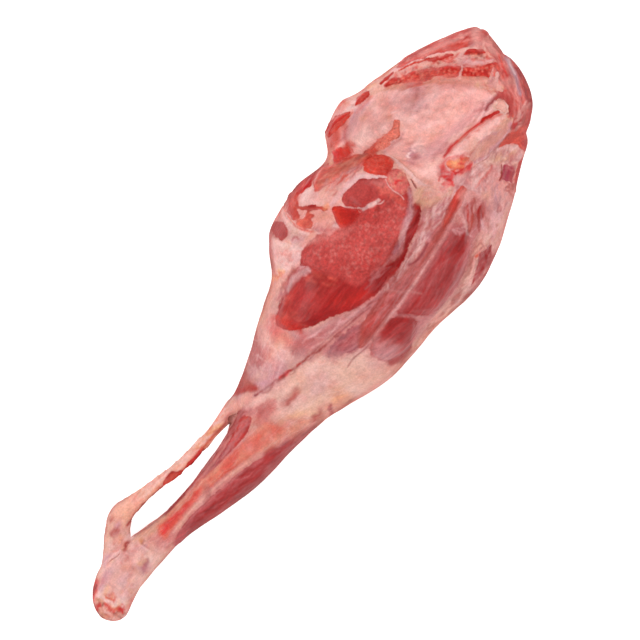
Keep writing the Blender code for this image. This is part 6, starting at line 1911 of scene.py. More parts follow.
def finish_with(thing: bpy.types.Object, kind: str, **settings: object) -> None:
    """Adds a modifier with these settings and applies it.

    Args:
        thing: The object.
        kind: The modifier's type.
        settings: Its settings.
    """
    alone(thing)
    modifier = thing.modifiers.new(kind.title(), kind)
    for name, value in settings.items():
        setattr(modifier, name, value)
    bpy.ops.object.modifier_apply(modifier=modifier.name)


def prism(name: str, outline: Sequence[Point], low: float, high: float) -> bpy.types.Object:
    """An upright block over an outline given in the leg's millimetres.

    Args:
        name: The block's name.
        outline: Rows of x, y.
        low: The height of its under side, in metres.
        high: The height of its top, in metres.

    Returns:
        The block.
    """
    bpy.ops.object.select_all(action="DESELECT")
    bpy.ops.mesh.primitive_circle_add(vertices=len(outline), fill_type="NGON")
    block = bpy.context.object
    block.name = name
    for vertex, (along, across) in zip(block.data.vertices, outline):
        vertex.co = ((along - HALF_LENGTH) * MM, across * MM, low)
    bpy.ops.object.mode_set(mode="EDIT")
    bpy.ops.mesh.select_all(action="SELECT")
    bpy.ops.mesh.extrude_region_move(TRANSFORM_OT_translate={"value": (0.0, 0.0, high - low)})
    bpy.ops.mesh.select_all(action="SELECT")
    bpy.ops.mesh.normals_make_consistent(inside=False)
    bpy.ops.object.mode_set(mode="OBJECT")
    return block


def pick_faces(thing: bpy.types.Object, chosen: np.ndarray) -> None:
    """Opens the object in edit mode with only these faces selected.

    Args:
        thing: The object.
        chosen: Whether each face is picked.
    """
    alone(thing)
    bpy.ops.object.mode_set(mode="EDIT")
    bpy.ops.mesh.select_mode(type="FACE")
    bpy.ops.mesh.select_all(action="DESELECT")
    bpy.ops.object.mode_set(mode="OBJECT")
    thing.data.polygons.foreach_set("select", chosen)
    bpy.ops.object.mode_set(mode="EDIT")


def read(items: bpy.types.bpy_prop_collection, name: str, width: int = 3) -> np.ndarray:
    """A property of all vertices or faces, as rows.

    Args:
        items: The vertices or faces.
        name: The property.
        width: How many numbers each one has.

    Returns:
        One row for each of them.
    """
    values = np.empty(len(items) * width)
    items.foreach_get(name, values)
    return values.reshape(-1, width)


@dataclass
class Coat:
    """The tissue values of each vertex of the surface."""

    count: int
    lean_tone: np.ndarray = field(init=False)
    cover_tone: np.ndarray = field(init=False)
    shares: Dict[str, np.ndarray] = field(init=False)
    fibre: np.ndarray = field(init=False)
    relief: np.ndarray = field(init=False)

    def __post_init__(self) -> None:
        """Starts as plain cream cover over dark muscle."""
        self.lean_tone = np.tile(Tone.DARK.linear(), (self.count, 1))
        self.cover_tone = np.tile(Tone.CREAM.linear(), (self.count, 1))
        names = ("cover", "veil", "sinew", "blood", "grain", "rim", "steep")
        self.shares = {name: np.zeros(self.count) for name in names}
        self.shares["cover"][:] = 1.0
        self.relief = np.zeros(self.count)

    def lay(self, piece: Patch, places: np.ndarray, weight: np.ndarray) -> None:
        """Lays one patch of tissue over what is there.

        Args:
            piece: The patch.
            places: Where each vertex lies on the patch's side, in millimetres.
            weight: How much each vertex belongs to that side.
        """
        margin = max(piece.edge, 1.0) + 1.0
        depth = piece.shape.depth(places, margin)
        near = np.flatnonzero((depth > -margin) & (weight > 0.0))
        depth, weight = depth[near], weight[near]
        share = np.clip(0.5 + depth / (2.0 * piece.edge), 0.0, 1.0) * weight
        wide = np.clip(0.5 + (depth + 0.8) / (2.0 * piece.edge), 0.0, 1.0) * weight
        tone = piece.tone.linear()
        self.relief[near] += piece.rise * smooth(depth / piece.crown) * weight
        if piece.tissue is Tissue.LEAN:
            self._tint("lean_tone", tone, near, wide)
            for name in ("cover", "veil", "rim", "sinew", "blood"):
                self._fade(name, 0.0, near, share)
            self._fade("grain", piece.grain or 0.0, near, share)
            # The rim follows a muscle's outline; the finish draws it as a pale fascia line and as painted
            # seam shade, partly blood.
            rim = np.exp(-((depth / 1.2) ** 2)) * weight * max(0.0, 1.3 - piece.edge)
            self.shares["rim"][near] = np.maximum(self.shares["rim"][near], rim)
        elif piece.tissue is Tissue.COVER:
            self._tint("cover_tone", tone, near, wide)
            self._fade("cover", 1.0, near, share)
            for name in ("rim", "sinew", "blood"):
                self._fade(name, 0.0, near, share)
            self._fade("grain", COARSE if piece.grain is None else piece.grain, near, share)
        elif piece.tissue is Tissue.VEIL:
            self._tint("cover_tone", tone, near, wide)
            self._fade("veil", piece.strength, near, share)
        elif piece.tissue is Tissue.STAIN:
            share = smooth(np.minimum(share + 0.1 * (share > 0.0), 1.0)) * piece.strength
            self._tint("lean_tone", tone, near, share)
            self._tint("cover_tone", tone, near, share)
        elif piece.tissue in (Tissue.SINEW, Tissue.BLOOD):
            name = piece.tissue.name.lower()
            self.shares[name][near] = np.maximum(self.shares[name][near], share * piece.strength)
        if piece.turn is not None:
            self._turn(piece, places, near[share > 0.5])

    def darken(self, by: Colour, share: np.ndarray) -> None:
        """Multiplies both tones by a colour where share is 1."""
        gain = 1.0 + (np.array(by) - 1.0) * share[:, None]
        self.lean_tone, self.cover_tone = self.lean_tone * gain, self.cover_tone * gain

    def store(self, mesh: bpy.types.Mesh) -> None:
        """Stores the tissue values on the vertices for the finish to read.

        Args:
            mesh: The mesh whose vertices the values belong to.
        """
        for name, tone in (("lean_tone", self.lean_tone), ("cover_tone", self.cover_tone)):
            colours = np.hstack([tone, np.ones((len(tone), 1))])
            mesh.attributes.new(name, "FLOAT_COLOR", "POINT").data.foreach_set("color", colours.ravel())
        for name, values in self.shares.items():
            mesh.attributes.new(name, "FLOAT", "POINT").data.foreach_set("value", values)
        mesh.attributes.new("fibre", "FLOAT_VECTOR", "POINT").data.foreach_set("vector", self.fibre.ravel())

    def _tint(self, name: str, tone: Colour, near: np.ndarray, share: np.ndarray) -> None:
        """Brings a tone of the vertices near a patch towards its own."""
        tones = getattr(self, name)
        tones[near] = blend(tones[near], tone, share)

    def _fade(self, name: str, value: float, near: np.ndarray, share: np.ndarray) -> None:
        """Brings one of the shares near a patch towards a value."""
        self.shares[name][near] = blend(self.shares[name][near], value, share)

    def _turn(self, piece: Patch, places: np.ndarray, inside: np.ndarray) -> None:
        """Lays the fibre coordinates inside a patch along its own direction.

        Args:
            piece: The patch.
            places: Where each vertex lies on the patch's side, in millimetres.
            inside: The numbers of the vertices inside it.
        """
        angle = math.radians(piece.turn)
        along, across = math.cos(angle), math.sin(angle)
        spot = (places[inside] - piece.shape.middle()) * MM
        self.fibre[inside, 0] = spot[:, 0] * along + spot[:, 1] * across
        self.fibre[inside, 1] = spot[:, 1] * along - spot[:, 0] * across


@dataclass
class LegSurface:
    """The leg's whole surface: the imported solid's shape with its tissues laid on it.

    It comes in lengths that meet edge to edge, each with the name and the far end given.
    """

    patches: List[Patch]
    gap: Tuple[float, ...] = (
        59.6, 33.6, 64, 37, 70, 39.4, 78, 39, 90, 36.8, 104, 33.4, 120, 25, 140, 22.6, 152, 21.4, 160, 20,
        166, 18.6, 160, 16.4, 144, 16, 130, 17, 114, 19.6, 100, 21, 90, 21.8, 82, 24.6, 74, 28.4, 65, 31.4,
    )
    hollow: Tuple[float, ...] = (
        376, 62, 400, 63, 424, 62, 440, 48, 456, 26, 466, 4, 468, -12, 440, -14, 400, -8, 384, -8, 386, 24,
        396, 38,
    )
    torn_edge: Tuple[float, ...] = (
        -60, 140, 250, 150, 560, 140, 540, 60, 500.6, 26, 499.4, 18, 496.8, 8, 494.4, 1, 492.4, -2.6, 493, -8,
        491.6, -16, 487, -26, 480, -35.6, 474, -40.6, 463, -44.4, 454.6, -46.2, 452, -50.4, 448.4, -53.4,
        437, -55, 426, -59, 416, -62.6, 400, -69, 380, -90, 250, -150, -60, -140,
    )
    torn_softness: float = 1.2
    torn_reach: float = 9.0
    torn_from: Tuple[float, float] = (405.0, 430.0)
    torn_middle: Point = (430.0, 5.0)
    weld: float = 0.02 * MM
    voxel: float = 2.6 * MM
    finer_above: Tuple[float, ...] = (-0.15, 0.35)
    cutter_span: Tuple[float, float] = (-10 * MM, 120 * MM)
    relief_above: Tuple[float, float] = (0.5 * MM, 5 * MM)
    top_slopes: Tuple[float, float] = (-0.3, 0.1)
    wall_slopes: Tuple[float, float] = (-0.12, 0.1)
    wall_turns: Tuple[float, float] = (0.4, 0.6)
    end_turns: Tuple[float, float] = (0.4, 0.65)
    under_slopes: Tuple[float, float] = (0.2, 0.6)
    # steep_slopes and steep_shade set the painted shade that darkens the steep flanks.
    steep_slopes: Tuple[float, float] = (0.0, 0.65)
    steep_shade: Colour = (0.78, 0.5, 0.46)
    hollow_edge: float = 3.0
    lump_size: float = 16 * MM
    swell: float = 0.8
    bundle_size: Point = (22 * MM, 2.6 * MM, 6 * MM)
    bundle_height: float = 0.16
    strays: Tuple[Tuple[float, float], ...] = ((1.5, 9.0), (1.3, 3.4))
    smoothing: float = 0.5
    lengths: Tuple[Tuple[str, float], ...] = (
        ("shank_surface", 226.0), ("thigh_surface", 362.0), ("pelvis_surface", 600.0),
    )

    def build(self) -> List[bpy.types.Object]:
        """Makes the surface, shapes its tissues, stores their values and cuts it into its lengths.

        Returns:
            The lengths, from the hock to the chump.
        """
        skin = self._even_mesh()
        mesh = skin.data
        mesh.vertices.foreach_set("co", self._drawn_in(read(mesh.vertices, "co")).ravel())
        mesh.update()
        points, normals = read(mesh.vertices, "co"), read(mesh.vertices, "normal")
        coat = self._coat(points, normals)
        lift = (coat.relief + self._unevenness(points, coat)) * smooth(points[:, 2], *self.relief_above)
        points += normals * (lift * MM)[:, None]
        points[:, 2] = np.maximum(points[:, 2], 0.0)
        mesh.vertices.foreach_set("co", points.ravel())
        coat.store(mesh)
        mesh.shade_smooth()
        mesh.update()
        whole = mesh.attributes.new("whole_normal", "FLOAT_VECTOR", "POINT")
        whole.data.foreach_set("vector", read(mesh.vertices, "normal").ravel())
        return self._lengths(skin)

    def _drawn_in(self, points: np.ndarray) -> np.ndarray:
        """The points with those beyond the torn edge of the chump drawn in to it.

        Args:
            points: Rows of x, y, z, in metres.

        Returns:
            The moved rows.
        """
        leg = points / MM + (HALF_LENGTH, 0.0, 0.0)
        depth = Outline(pairs(self.torn_edge)).depth(leg[:, :2], self.torn_reach)
        beyond = -np.clip(depth, -self.torn_reach, self.torn_reach)
        short = self.torn_softness * np.log1p(np.exp(beyond / self.torn_softness))
        inward = np.array(self.torn_middle) - leg[:, :2]
        inward /= np.linalg.norm(inward, axis=1)[:, None]
        short *= smooth(leg[:, 0], *self.torn_from)
        return points + np.column_stack([inward * short[:, None], np.zeros(len(leg))]) * MM

    def _lengths(self, skin: bpy.types.Object) -> List[bpy.types.Object]:
        """Cuts the surface into its lengths, each shaded as a part of the whole.

        Args:
            skin: The whole surface.

        Returns:
            The lengths, from the hock to the chump.
        """
        pieces = []
        for name, end in self.lengths:
            near = read(skin.data.polygons, "center")[:, 0] < (end - HALF_LENGTH) * MM
            if near.all():
                pieces.append(skin)
            else:
                pick_faces(skin, near)
                bpy.ops.mesh.separate(type="SELECTED")
                bpy.ops.object.mode_set(mode="OBJECT")
                pieces.append(next(each for each in bpy.context.selected_objects if each != skin))
            pieces[-1].name = pieces[-1].data.name = name
        for piece in pieces:
            mesh = piece.data
            mesh.normals_split_custom_set_from_vertices(read(mesh.attributes["whole_normal"].data, "vector"))
            mesh.attributes.remove(mesh.attributes["whole_normal"])
            mesh.calc_loop_triangles()
            log.info("%s: %d triangles", piece.name, len(mesh.loop_triangles))
        return pieces

    def _even_mesh(self) -> bpy.types.Object:
        """The solid's shape as an even mesh, finer where it faces up.

        Returns:
            The mesh as an object, with the slot beside the tendon cut open.
        """
        skin = bpy.data.objects.new("leg_surface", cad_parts[NODE].data.copy())
        bpy.context.scene.collection.objects.link(skin)
        skin.data.materials.clear()
        alone(skin)
        bpy.ops.object.mode_set(mode="EDIT")
        bpy.ops.mesh.select_all(action="SELECT")
        bpy.ops.mesh.remove_doubles(threshold=self.weld)
        bpy.ops.object.mode_set(mode="OBJECT")
        finish_with(skin, "REMESH", mode="VOXEL", voxel_size=self.voxel)
        finish_with(skin, "SMOOTH", factor=self.smoothing, iterations=4)
        for slope in self.finer_above:
            pick_faces(skin, read(skin.data.polygons, "normal")[:, 2] > slope)
            bpy.ops.mesh.subdivide(number_cuts=1)
            bpy.ops.object.mode_set(mode="OBJECT")
            finish_with(skin, "SMOOTH", factor=self.smoothing, iterations=3)
        cutter = prism("gap_cutter", pairs(self.gap), *self.cutter_span)
        finish_with(skin, "BOOLEAN", operation="DIFFERENCE", object=cutter, solver="EXACT")
        bpy.data.objects.remove(cutter)
        return skin

    def _coat(self, points: np.ndarray, normals: np.ndarray) -> Coat:
        """Lays every patch in turn.

        Args:
            points: The vertices, in metres.
            normals: Their normals.

        Returns:
            The tissue values of each vertex.
        """
        leg = points / MM + (HALF_LENGTH, 0.0, 0.0)
        ragged = self._ragged(leg)
        wall = 1.0 - smooth(normals[:, 2], *self.wall_slopes)
        end = smooth(normals[:, 0], *self.end_turns) * wall
        heel, shin = (smooth(side * normals[:, 1], *self.wall_turns) * wall * (1.0 - end) for side in (1, -1))
        views = {
            Side.TOP: (leg[:, [0, 1]], smooth(normals[:, 2], *self.top_slopes)),
            Side.HEEL_WALL: (leg[:, [0, 2]], heel),
            Side.SHIN_WALL: (leg[:, [0, 2]], shin),
            Side.CHUMP_END: (leg[:, [1, 2]], end),
            Side.UNDER: (leg[:, [0, 1]], smooth(-normals[:, 2], *self.under_slopes)),
        }
        coat = Coat(len(points))
        coat.fibre = points.copy()
        for piece in self.patches:
            places, weight = views[piece.side]
            coat.lay(piece, places + piece.rag * ragged, weight)
        inside = Outline(pairs(self.hollow)).depth(leg[:, :2], 2.0 * self.hollow_edge)
        hollow = smooth(inside, -self.hollow_edge, self.hollow_edge)
        # Painted shade: outside the pelvic hollow, the tones of steep flanks are darkened by steep_shade.
        coat.shares["steep"] = (1.0 - smooth(normals[:, 2], *self.steep_slopes)) * (1.0 - hollow)
        coat.darken(self.steep_shade, coat.shares["steep"])
        return coat

    def _ragged(self, leg: np.ndarray) -> np.ndarray:
        """How far the edge of a patch strays at each vertex, for a rag of 1.

        Args:
            leg: The vertices, in the leg's millimetres.

        Returns:
            Rows of x and y, in millimetres.
        """
        (far, wide), (near, narrow) = self.strays
        return np.stack([
            far * Unevenness(seed).at(leg, wide) + near * Unevenness(seed + 7).at(leg, narrow)
            for seed in (3, 4)
        ], axis=1)

    def _unevenness(self, points: np.ndarray, coat: Coat) -> np.ndarray:
        """Lumps of the fat and fine ridges along the fibres, in millimetres.

        Args:
            points: The vertices, in metres.
            coat: Their tissue values.

        Returns:
            A height for each vertex.
        """
        fat = coat.shares["cover"]
        lumps = Unevenness(11).at(points, self.lump_size, 4) * self.swell * (0.35 + 0.65 * fat)
        bundles = Unevenness(12).at(coat.fibre / self.bundle_size, 1.0, 2)
        return lumps + self.bundle_height * bundles * (1.0 - fat)


@dataclass
class Scrap:
    """A torn piece that stands up from the surface: a ragged sheet laid on it and thickened.

    Lengths are in millimetres. The sheet starts flat, above the leg, and faces that find
    no ground stay over the height missed and are left out.
    """

    name: str
    slot: str
    tone: Tone
    outline: Tuple[float, ...]
    rise: float = 0.9
    curl: float = 0.6
    rag: float = 0.7
    muscle: bool = True
    grain: float = 0.4
    step: float = 0.7
    depth: float = 2.2
    above: float = 150.0
    missed: float = 100.0
    wave: float = 4.0
    stray: float = 2.6
    risen: Tuple[float, float] = (-0.4, 1.6)

    def build(self, ground: bpy.types.Object) -> bpy.types.Object:
        """Lays a grid over the ground, trims it to the outline, thickens it and rounds it.

        Args:
            ground: The surface that the scrap lies on.

        Returns:
            The scrap, with its tissue values stored.
        """
        spots = np.array(pairs(self.outline))
        low, high = spots.min(axis=0) - 1.0, spots.max(axis=0) + 1.0
        across, up = (int(count) for count in np.ceil((high - low) / self.step))
        bpy.ops.object.select_all(action="DESELECT")
        bpy.ops.mesh.primitive_grid_add(x_subdivisions=across, y_subdivisions=up, size=1.0)
        scrap = bpy.context.object
        scrap.name = scrap.data.name = self.name
        flat = (low + high) / 2.0 + read(scrap.data.vertices, "co")[:, :2] * (high - low)
        points = np.column_stack([flat - (HALF_LENGTH, 0.0), np.full(len(flat), self.above)]) * MM
        scrap.data.vertices.foreach_set("co", points.ravel())
        scrap.data.update()
        spread = read(scrap.data.polygons, "center") / MM + (HALF_LENGTH, 0.0, 0.0)
        pick_faces(scrap, self._inside(spread) < 0.0)
        bpy.ops.mesh.delete(type="FACE")
        bpy.ops.object.mode_set(mode="OBJECT")
        finish_with(
            scrap, "SHRINKWRAP", target=ground, wrap_method="PROJECT", use_project_z=True,
            use_negative_direction=True, use_positive_direction=False,
        )
        pick_faces(scrap, read(scrap.data.polygons, "center")[:, 2] > self.missed * MM)
        bpy.ops.mesh.delete(type="FACE")
        bpy.ops.object.mode_set(mode="OBJECT")
        points = read(scrap.data.vertices, "co")
        leg = points / MM + (HALF_LENGTH, 0.0, 0.0)
        inside = self._inside(leg)
        wave = Unevenness(21).at(leg * (1.0, 1.0, 0.0), self.wave, 2)
        points[:, 2] += (self.rise * smooth(inside, *self.risen) + self.curl * wave) * MM
        scrap.data.vertices.foreach_set("co", points.ravel())
        finish_with(scrap, "SOLIDIFY", thickness=self.depth * MM, offset=-1.0)
        finish_with(scrap, "SMOOTH", factor=0.5, iterations=3)
        scrap.data.shade_smooth()
        self._coat(scrap.data)
        return scrap

    def _inside(self, leg: np.ndarray) -> np.ndarray:
        """How deep points lie inside the ragged outline, in millimetres."""
        stray = Unevenness(5).at(leg * (1.0, 1.0, 0.0), self.stray, 2)[:, None] * (1.0, -0.7)
        return Outline(pairs(self.outline)).depth(leg[:, :2] + self.rag * stray, 3.0)

    def _coat(self, mesh: bpy.types.Mesh) -> None:
        """Stores one tissue all over the scrap.

        Args:
            mesh: The scrap's mesh.
        """
        coat = Coat(len(mesh.vertices))
        coat.lean_tone[:] = coat.cover_tone[:] = self.tone.linear()
        coat.shares["cover"][:] = 0.0 if self.muscle else 1.0
        coat.shares["grain"][:] = self.grain
        coat.fibre = read(mesh.vertices, "co")
        coat.store(mesh)


# --- finishes ---------------------------------------------------------------------------

Socket = Union["Wire", bpy.types.NodeSocket, float, Tuple[float, ...]]


@dataclass(frozen=True)
class Wire:
    """One output of a node, with arithmetic that adds Math nodes."""

    board: "NodeBoard"
    socket: bpy.types.NodeSocket

    def _math(self, operation: str, *values: Socket) -> "Wire":
        """The result of a Math node on these values."""
        return self.board.node("ShaderNodeMath", {"operation": operation}, dict(enumerate(values)))

    def __add__(self, other: Socket) -> "Wire":
        """self + other."""
        return self._math("ADD", self, other)

    def __sub__(self, other: Socket) -> "Wire":
        """self - other."""
        return self._math("SUBTRACT", self, other)

    def __rsub__(self, other: Socket) -> "Wire":
        """other - self."""
        return self._math("SUBTRACT", other, self)

    def __mul__(self, other: Socket) -> "Wire":
        """self * other."""
        return self._math("MULTIPLY", self, other)

    __radd__ = __add__
    __rmul__ = __mul__

    def step(self, low: float, high: float) -> "Wire":
        """An S-shaped step from 0 at low to 1 at high.

        Args:
            low: Where it starts to rise.
            high: Where it is fully up.

        Returns:
            The step's output.
        """
        return self.board.node(
            "ShaderNodeMapRange", {"interpolation_type": "SMOOTHSTEP"},
            {"Value": self, "From Min": low, "From Max": high},
        )


@dataclass
class NodeBoard:
    """The node tree of one material, filled by expressions."""

    name: str
    material: bpy.types.Material = field(init=False)

    def __post_init__(self) -> None:
        """Makes the material with an empty tree."""
        self.material = bpy.data.materials.new(self.name)
        self.material.use_nodes = True
        self.material.node_tree.nodes.clear()

    def node(
        self, kind: str, settings: Optional[Dict[str, object]] = None,
        sockets: Optional[Dict[Union[str, int], Socket]] = None, output: Union[str, int] = 0,
    ) -> Optional[Wire]:
        """Adds a node.

        Args:
            kind: The node's type.
            settings: Its own properties, which are set first.
            sockets: Values or links for its inputs, by name or number.
            output: Which output to return.

        Returns:
            The chosen output, or None where the node has none.
        """
        made = self.material.node_tree.nodes.new(kind)
        for name, value in (settings or {}).items():
            setattr(made, name, value)
        for key, value in (sockets or {}).items():
            value = value.socket if isinstance(value, Wire) else value
            if isinstance(value, bpy.types.NodeSocket):
                self.material.node_tree.links.new(value, made.inputs[key])
            else:
                made.inputs[key].default_value = value
        return Wire(self, made.outputs[output]) if made.outputs else None

    def attribute(self, name: str, output: str = "Fac") -> Wire:
        """A value stored on the mesh."""
        return self.node("ShaderNodeAttribute", {"attribute_name": name}, output=output)

    def place(self) -> Wire:
        """The place on the object, in metres."""
        return self.node("ShaderNodeTexCoord", output="Object")

    def stretch(self, vector: Wire, by: Point) -> Wire:
        """A vector with each part multiplied."""
        return self.node("ShaderNodeVectorMath", {"operation": "MULTIPLY"}, {0: vector, 1: by})

    def shift(self, vector: Wire, by: Wire, amount: float) -> Wire:
        """A vector moved by a wandering colour, whose middle is grey.

        Args:
            vector: The vector.
            by: The colour.
            amount: How far a full colour moves it.

        Returns:
            The moved vector.
        """
        centred = self.node("ShaderNodeVectorMath", {"operation": "SUBTRACT"}, {0: by, 1: (0.5, 0.5, 0.5)})
        scaled = self.node("ShaderNodeVectorMath", {"operation": "SCALE"}, {0: centred, "Scale": amount})
        return self.node("ShaderNodeVectorMath", {"operation": "ADD"}, {0: vector, 1: scaled})

    def noise(self, vector: Wire, scale: float, detail: float = 2.0, output: str = "Fac") -> Wire:
        """Cloudy noise, spread so that its number runs from about 0 to 1.

        Args:
            vector: Where it is read.
            scale: How many lumps there are to a metre.
            detail: How many finer layers it has.
            output: Which output to return.

        Returns:
            The chosen output.
        """
        made = self.node(
            "ShaderNodeTexNoise", None, {"Vector": vector, "Scale": scale, "Detail": detail}, output
        )
        return made if output == "Color" else (made - 0.5) * 2.4 + 0.5

    def cells(self, vector: Wire, scale: float) -> Wire:
        """Distance within rounded cells.

        Args:
            vector: Where it is read.
            scale: How many cells there are to a metre.

        Returns:
            The distance from the middle of the nearest cell.
        """
        return self.node(
            "ShaderNodeTexVoronoi", {"feature": "F1"}, {"Vector": vector, "Scale": scale}, "Distance"
        )

    def mix(self, a: Socket, b: Socket, share: Socket) -> Wire:
        """Two colours mixed.

        Args:
            a: The colour where the share is 0.
            b: The colour where it is 1.
            share: The share of the second colour.

        Returns:
            The mixed colour.
        """
        return self.node(
            "ShaderNodeMix", {"data_type": "RGBA", "blend_type": "MIX"}, {0: share, 6: a, 7: b}, 2
        )

    def vary(self, colour: Wire, by: Wire, amount: float) -> Wire:
        """A colour made lighter and darker by a value whose middle is 0.5."""
        gain = (by - 0.5) * (2.0 * amount) + 1.0
        return self.node("ShaderNodeVectorMath", {"operation": "SCALE"}, {0: colour, "Scale": gain})

    def brightness(self, colour: Wire) -> Wire:
        """How bright a colour is."""
        return self.node("ShaderNodeRGBToBW", None, {"Color": colour})

    def finish(self, shader: Wire) -> bpy.types.Material:
        """Links the shader to the material's output."""
        self.node("ShaderNodeOutputMaterial", None, {"Surface": shader})
        return self.material


def opaque(colour: Colour) -> Tuple[float, ...]:
    """A colour with full alpha."""
    return (*colour, 1.0)


@dataclass(frozen=True)
class RawTissue:
    """The finish of the whole surface: moist muscle under patches of fat, membrane and sinew.

    A scale is how many lumps there are to a metre, and scales are along, across and up.
    """

    name: str = "raw lamb"
    sheen: float = 0.22
    damp: float = 0.16
    wander: float = 0.003
    strand_scales: Point = (60.0, 620.0, 220.0)
    bundle_scales: Point = (24.0, 210.0, 80.0)
    streak_scales: Point = (60.0, 330.0, 110.0)
    ridge_scales: Point = (22.0, 130.0, 50.0)
    cloud_scale: float = 75.0
    mottle_scale: float = 240.0
    grain_scale: float = 560.0
    fine_scale: float = 640.0
    speckle_scale: float = 760.0
    bump_depth: float = 0.5 * MM
    glow_depth: float = 2 * MM

    def material(self) -> bpy.types.Material:
        """Builds the material.

        Returns:
            The material.
        """
        board = NodeBoard(self.name)
        place = board.place()
        wander = board.noise(place, 110.0, 2.0, "Color")
        fibre = board.shift(board.attribute("fibre", "Vector"), wander, self.wander)
        strands = board.noise(board.stretch(fibre, self.strand_scales), 1.0, 2.0)
        bundles = board.noise(board.stretch(fibre, self.bundle_scales), 1.0, 2.0)
        grains = board.noise(place, self.grain_scale, 3.0)
        clouds = board.noise(place, self.cloud_scale, 3.0)
        mottle = board.noise(place, self.mottle_scale, 4.0)
        muscle = self._muscle(board, place, strands, bundles, grains, clouds)
        fat = self._fat(board, place, fibre, clouds, mottle)
        ragged = (mottle - 0.5) * 0.45 + (grains - 0.5) * 0.2
        cover = (board.attribute("cover") + ragged).step(0.25, 0.75)
        veil = (board.attribute("veil") * (bundles * 0.9 + mottle * 0.5 + 0.3)).step(0.0, 1.0)
        sinew = (board.attribute("sinew") + (mottle - 0.5) * 0.25).step(0.15, 0.75)
        blood = (board.attribute("blood") + ragged * 0.8).step(0.2, 0.75)
        rim = board.attribute("rim")
        pale_rim = (rim * (clouds + mottle)).step(0.2, 0.8)
        seam_shade_and_blood = (rim * (1.0 - clouds + grains * 0.5)).step(0.25, 0.8)
        colour = board.mix(board.mix(muscle, fat, cover), fat, veil * (1.0 - cover))
        colour = board.mix(colour, opaque(Tone.FASCIA.linear()), pale_rim * 0.2)
        # Painted shade in the seams round bare muscle, partly dark blood; the same mask also sinks the bump
        # there.
        colour = board.mix(colour, opaque(Tone.DEEPEST.linear()), seam_shade_and_blood * 0.25)
        colour = board.mix(colour, opaque(Tone.WHITE.linear()), sinew * 0.8)
        colour = board.mix(colour, opaque(Tone.MAROON.linear()), blood * 0.9)
        speckle = board.noise(place, self.speckle_scale, 2.0)
        colour = board.vary(board.vary(colour, speckle, 0.1), mottle, 0.06)
        steep = board.attribute("steep")
        rough = (clouds - 0.5) * 0.14 + 0.4 + cover * 0.08 - blood * 0.12 + steep * 0.4
        wet = clouds.step(0.3, 0.8) * (1.0 - cover * 0.6) * (1.0 - steep) * self.damp
        height = (
            strands * 0.35 + bundles * 0.5 + board.attribute("grain") * grains * 0.5
        ) * (1.0 - cover) + mottle * cover * 0.8 + sinew * 0.4 - seam_shade_and_blood * 0.6
        bump = board.node("ShaderNodeBump", None, {
            "Strength": 0.6, "Distance": self.bump_depth, "Height": height,
        })
        return board.finish(board.node("ShaderNodeBsdfPrincipled", None, {
            "Base Color": colour, "Roughness": rough, "Coat Weight": wet, "Normal": bump,
            "Specular IOR Level": self.sheen, "Coat Roughness": 0.16, "Coat IOR": 1.38,
            "Subsurface Weight": 0.12, "Subsurface Radius": (1.0, 0.35, 0.25),
            "Subsurface Scale": self.glow_depth,
        }))

    def _muscle(
        self, board: NodeBoard, place: Wire, strands: Wire, bundles: Wire, grains: Wire, clouds: Wire
    ) -> Wire:
        """Bare muscle: fibres where it is whole, grains with pale flecks where it is cut across.

        Args:
            board: The material's nodes.
            place: The place on the object.
            strands: Fine noise along the fibres.
            bundles: Coarser noise along the fibres.
            grains: Fine noise.
            clouds: Slow noise.

        Returns:
            The colour.
        """
        grain = board.attribute("grain")
        along = strands * 0.55 + bundles * 0.45
        texture = along * (1.0 - grain) + (grains * 0.8 + bundles * 0.2) * grain
        colour = board.vary(board.attribute("lean_tone", "Color"), texture, 0.26)
        colour = board.vary(colour, clouds, 0.13)
        flecks = (1.0 - board.cells(place, self.fine_scale).step(0.1, 0.45)) * grains.step(0.3, 0.8) * grain
        colour = board.mix(colour, opaque(Tone.MAUVE_PINK.linear()), flecks * 0.14)
        pits = (1.0 - board.cells(place, 380.0).step(0.05, 0.3)) * (1.0 - grains).step(0.4, 0.8)
        colour = board.mix(colour, opaque(Tone.MAROON.linear()), pits * grain * 0.2)
        threads = strands.step(0.8, 1.1) * (1.0 - grain)
        return board.mix(colour, opaque(Tone.MAUVE_PINK.linear()), threads * 0.1)

    def _fat(self, board: NodeBoard, place: Wire, fibre: Wire, clouds: Wire, mottle: Wire) -> Wire:
        """Fat and membrane: mottled, streaked, with fine pale threads.

        Args:
            board: The material's nodes.
            place: The place on the object.
            fibre: The place along and across the fibres.
            clouds: Slow noise.
            mottle: Noise of middling size.

        Returns:
            The colour.
        """
        tone = board.attribute("cover_tone", "Color")
        coarse = (board.attribute("grain") * 0.75 + 0.25) * board.brightness(tone).step(0.04, 0.3)
        streaks = board.noise(board.stretch(fibre, self.streak_scales), 1.0, 3.0)
        slow = board.noise(place, 38.0, 2.0)
        yellow = board.noise(board.stretch(place, (0.8, 1.3, 1.0)), 61.0, 3.0)
        fine = board.noise(place, self.fine_scale, 2.0)
        colour = board.vary(tone, mottle * 0.5 + streaks * 0.3 + fine * 0.2, 0.11)
        colour = board.mix(colour, opaque(Tone.SALMON.linear()), clouds.step(0.5, 1.1) * coarse * 0.5)
        colour = board.mix(colour, opaque(Tone.WHITE.linear()), slow.step(0.45, 1.0) * coarse * 0.5)
        colour = board.mix(colour, opaque(Tone.YELLOW_FAT.linear()), yellow.step(0.5, 1.0) * coarse * 0.5)
        lilac = (1.0 - yellow).step(0.6, 1.1) * coarse
        colour = board.mix(colour, opaque(Tone.COOL_LILAC.linear()), lilac * 0.5)
        ridge = board.noise(board.stretch(fibre, self.ridge_scales), 1.0, 3.0) - 0.5
        threads = (1.0 - ridge * ridge * 260.0).step(0.0, 1.0)
        return board.mix(colour, opaque(Tone.WHITE.linear()), threads * coarse * 0.35)


# --- studio -----------------------------------------------------------------------------


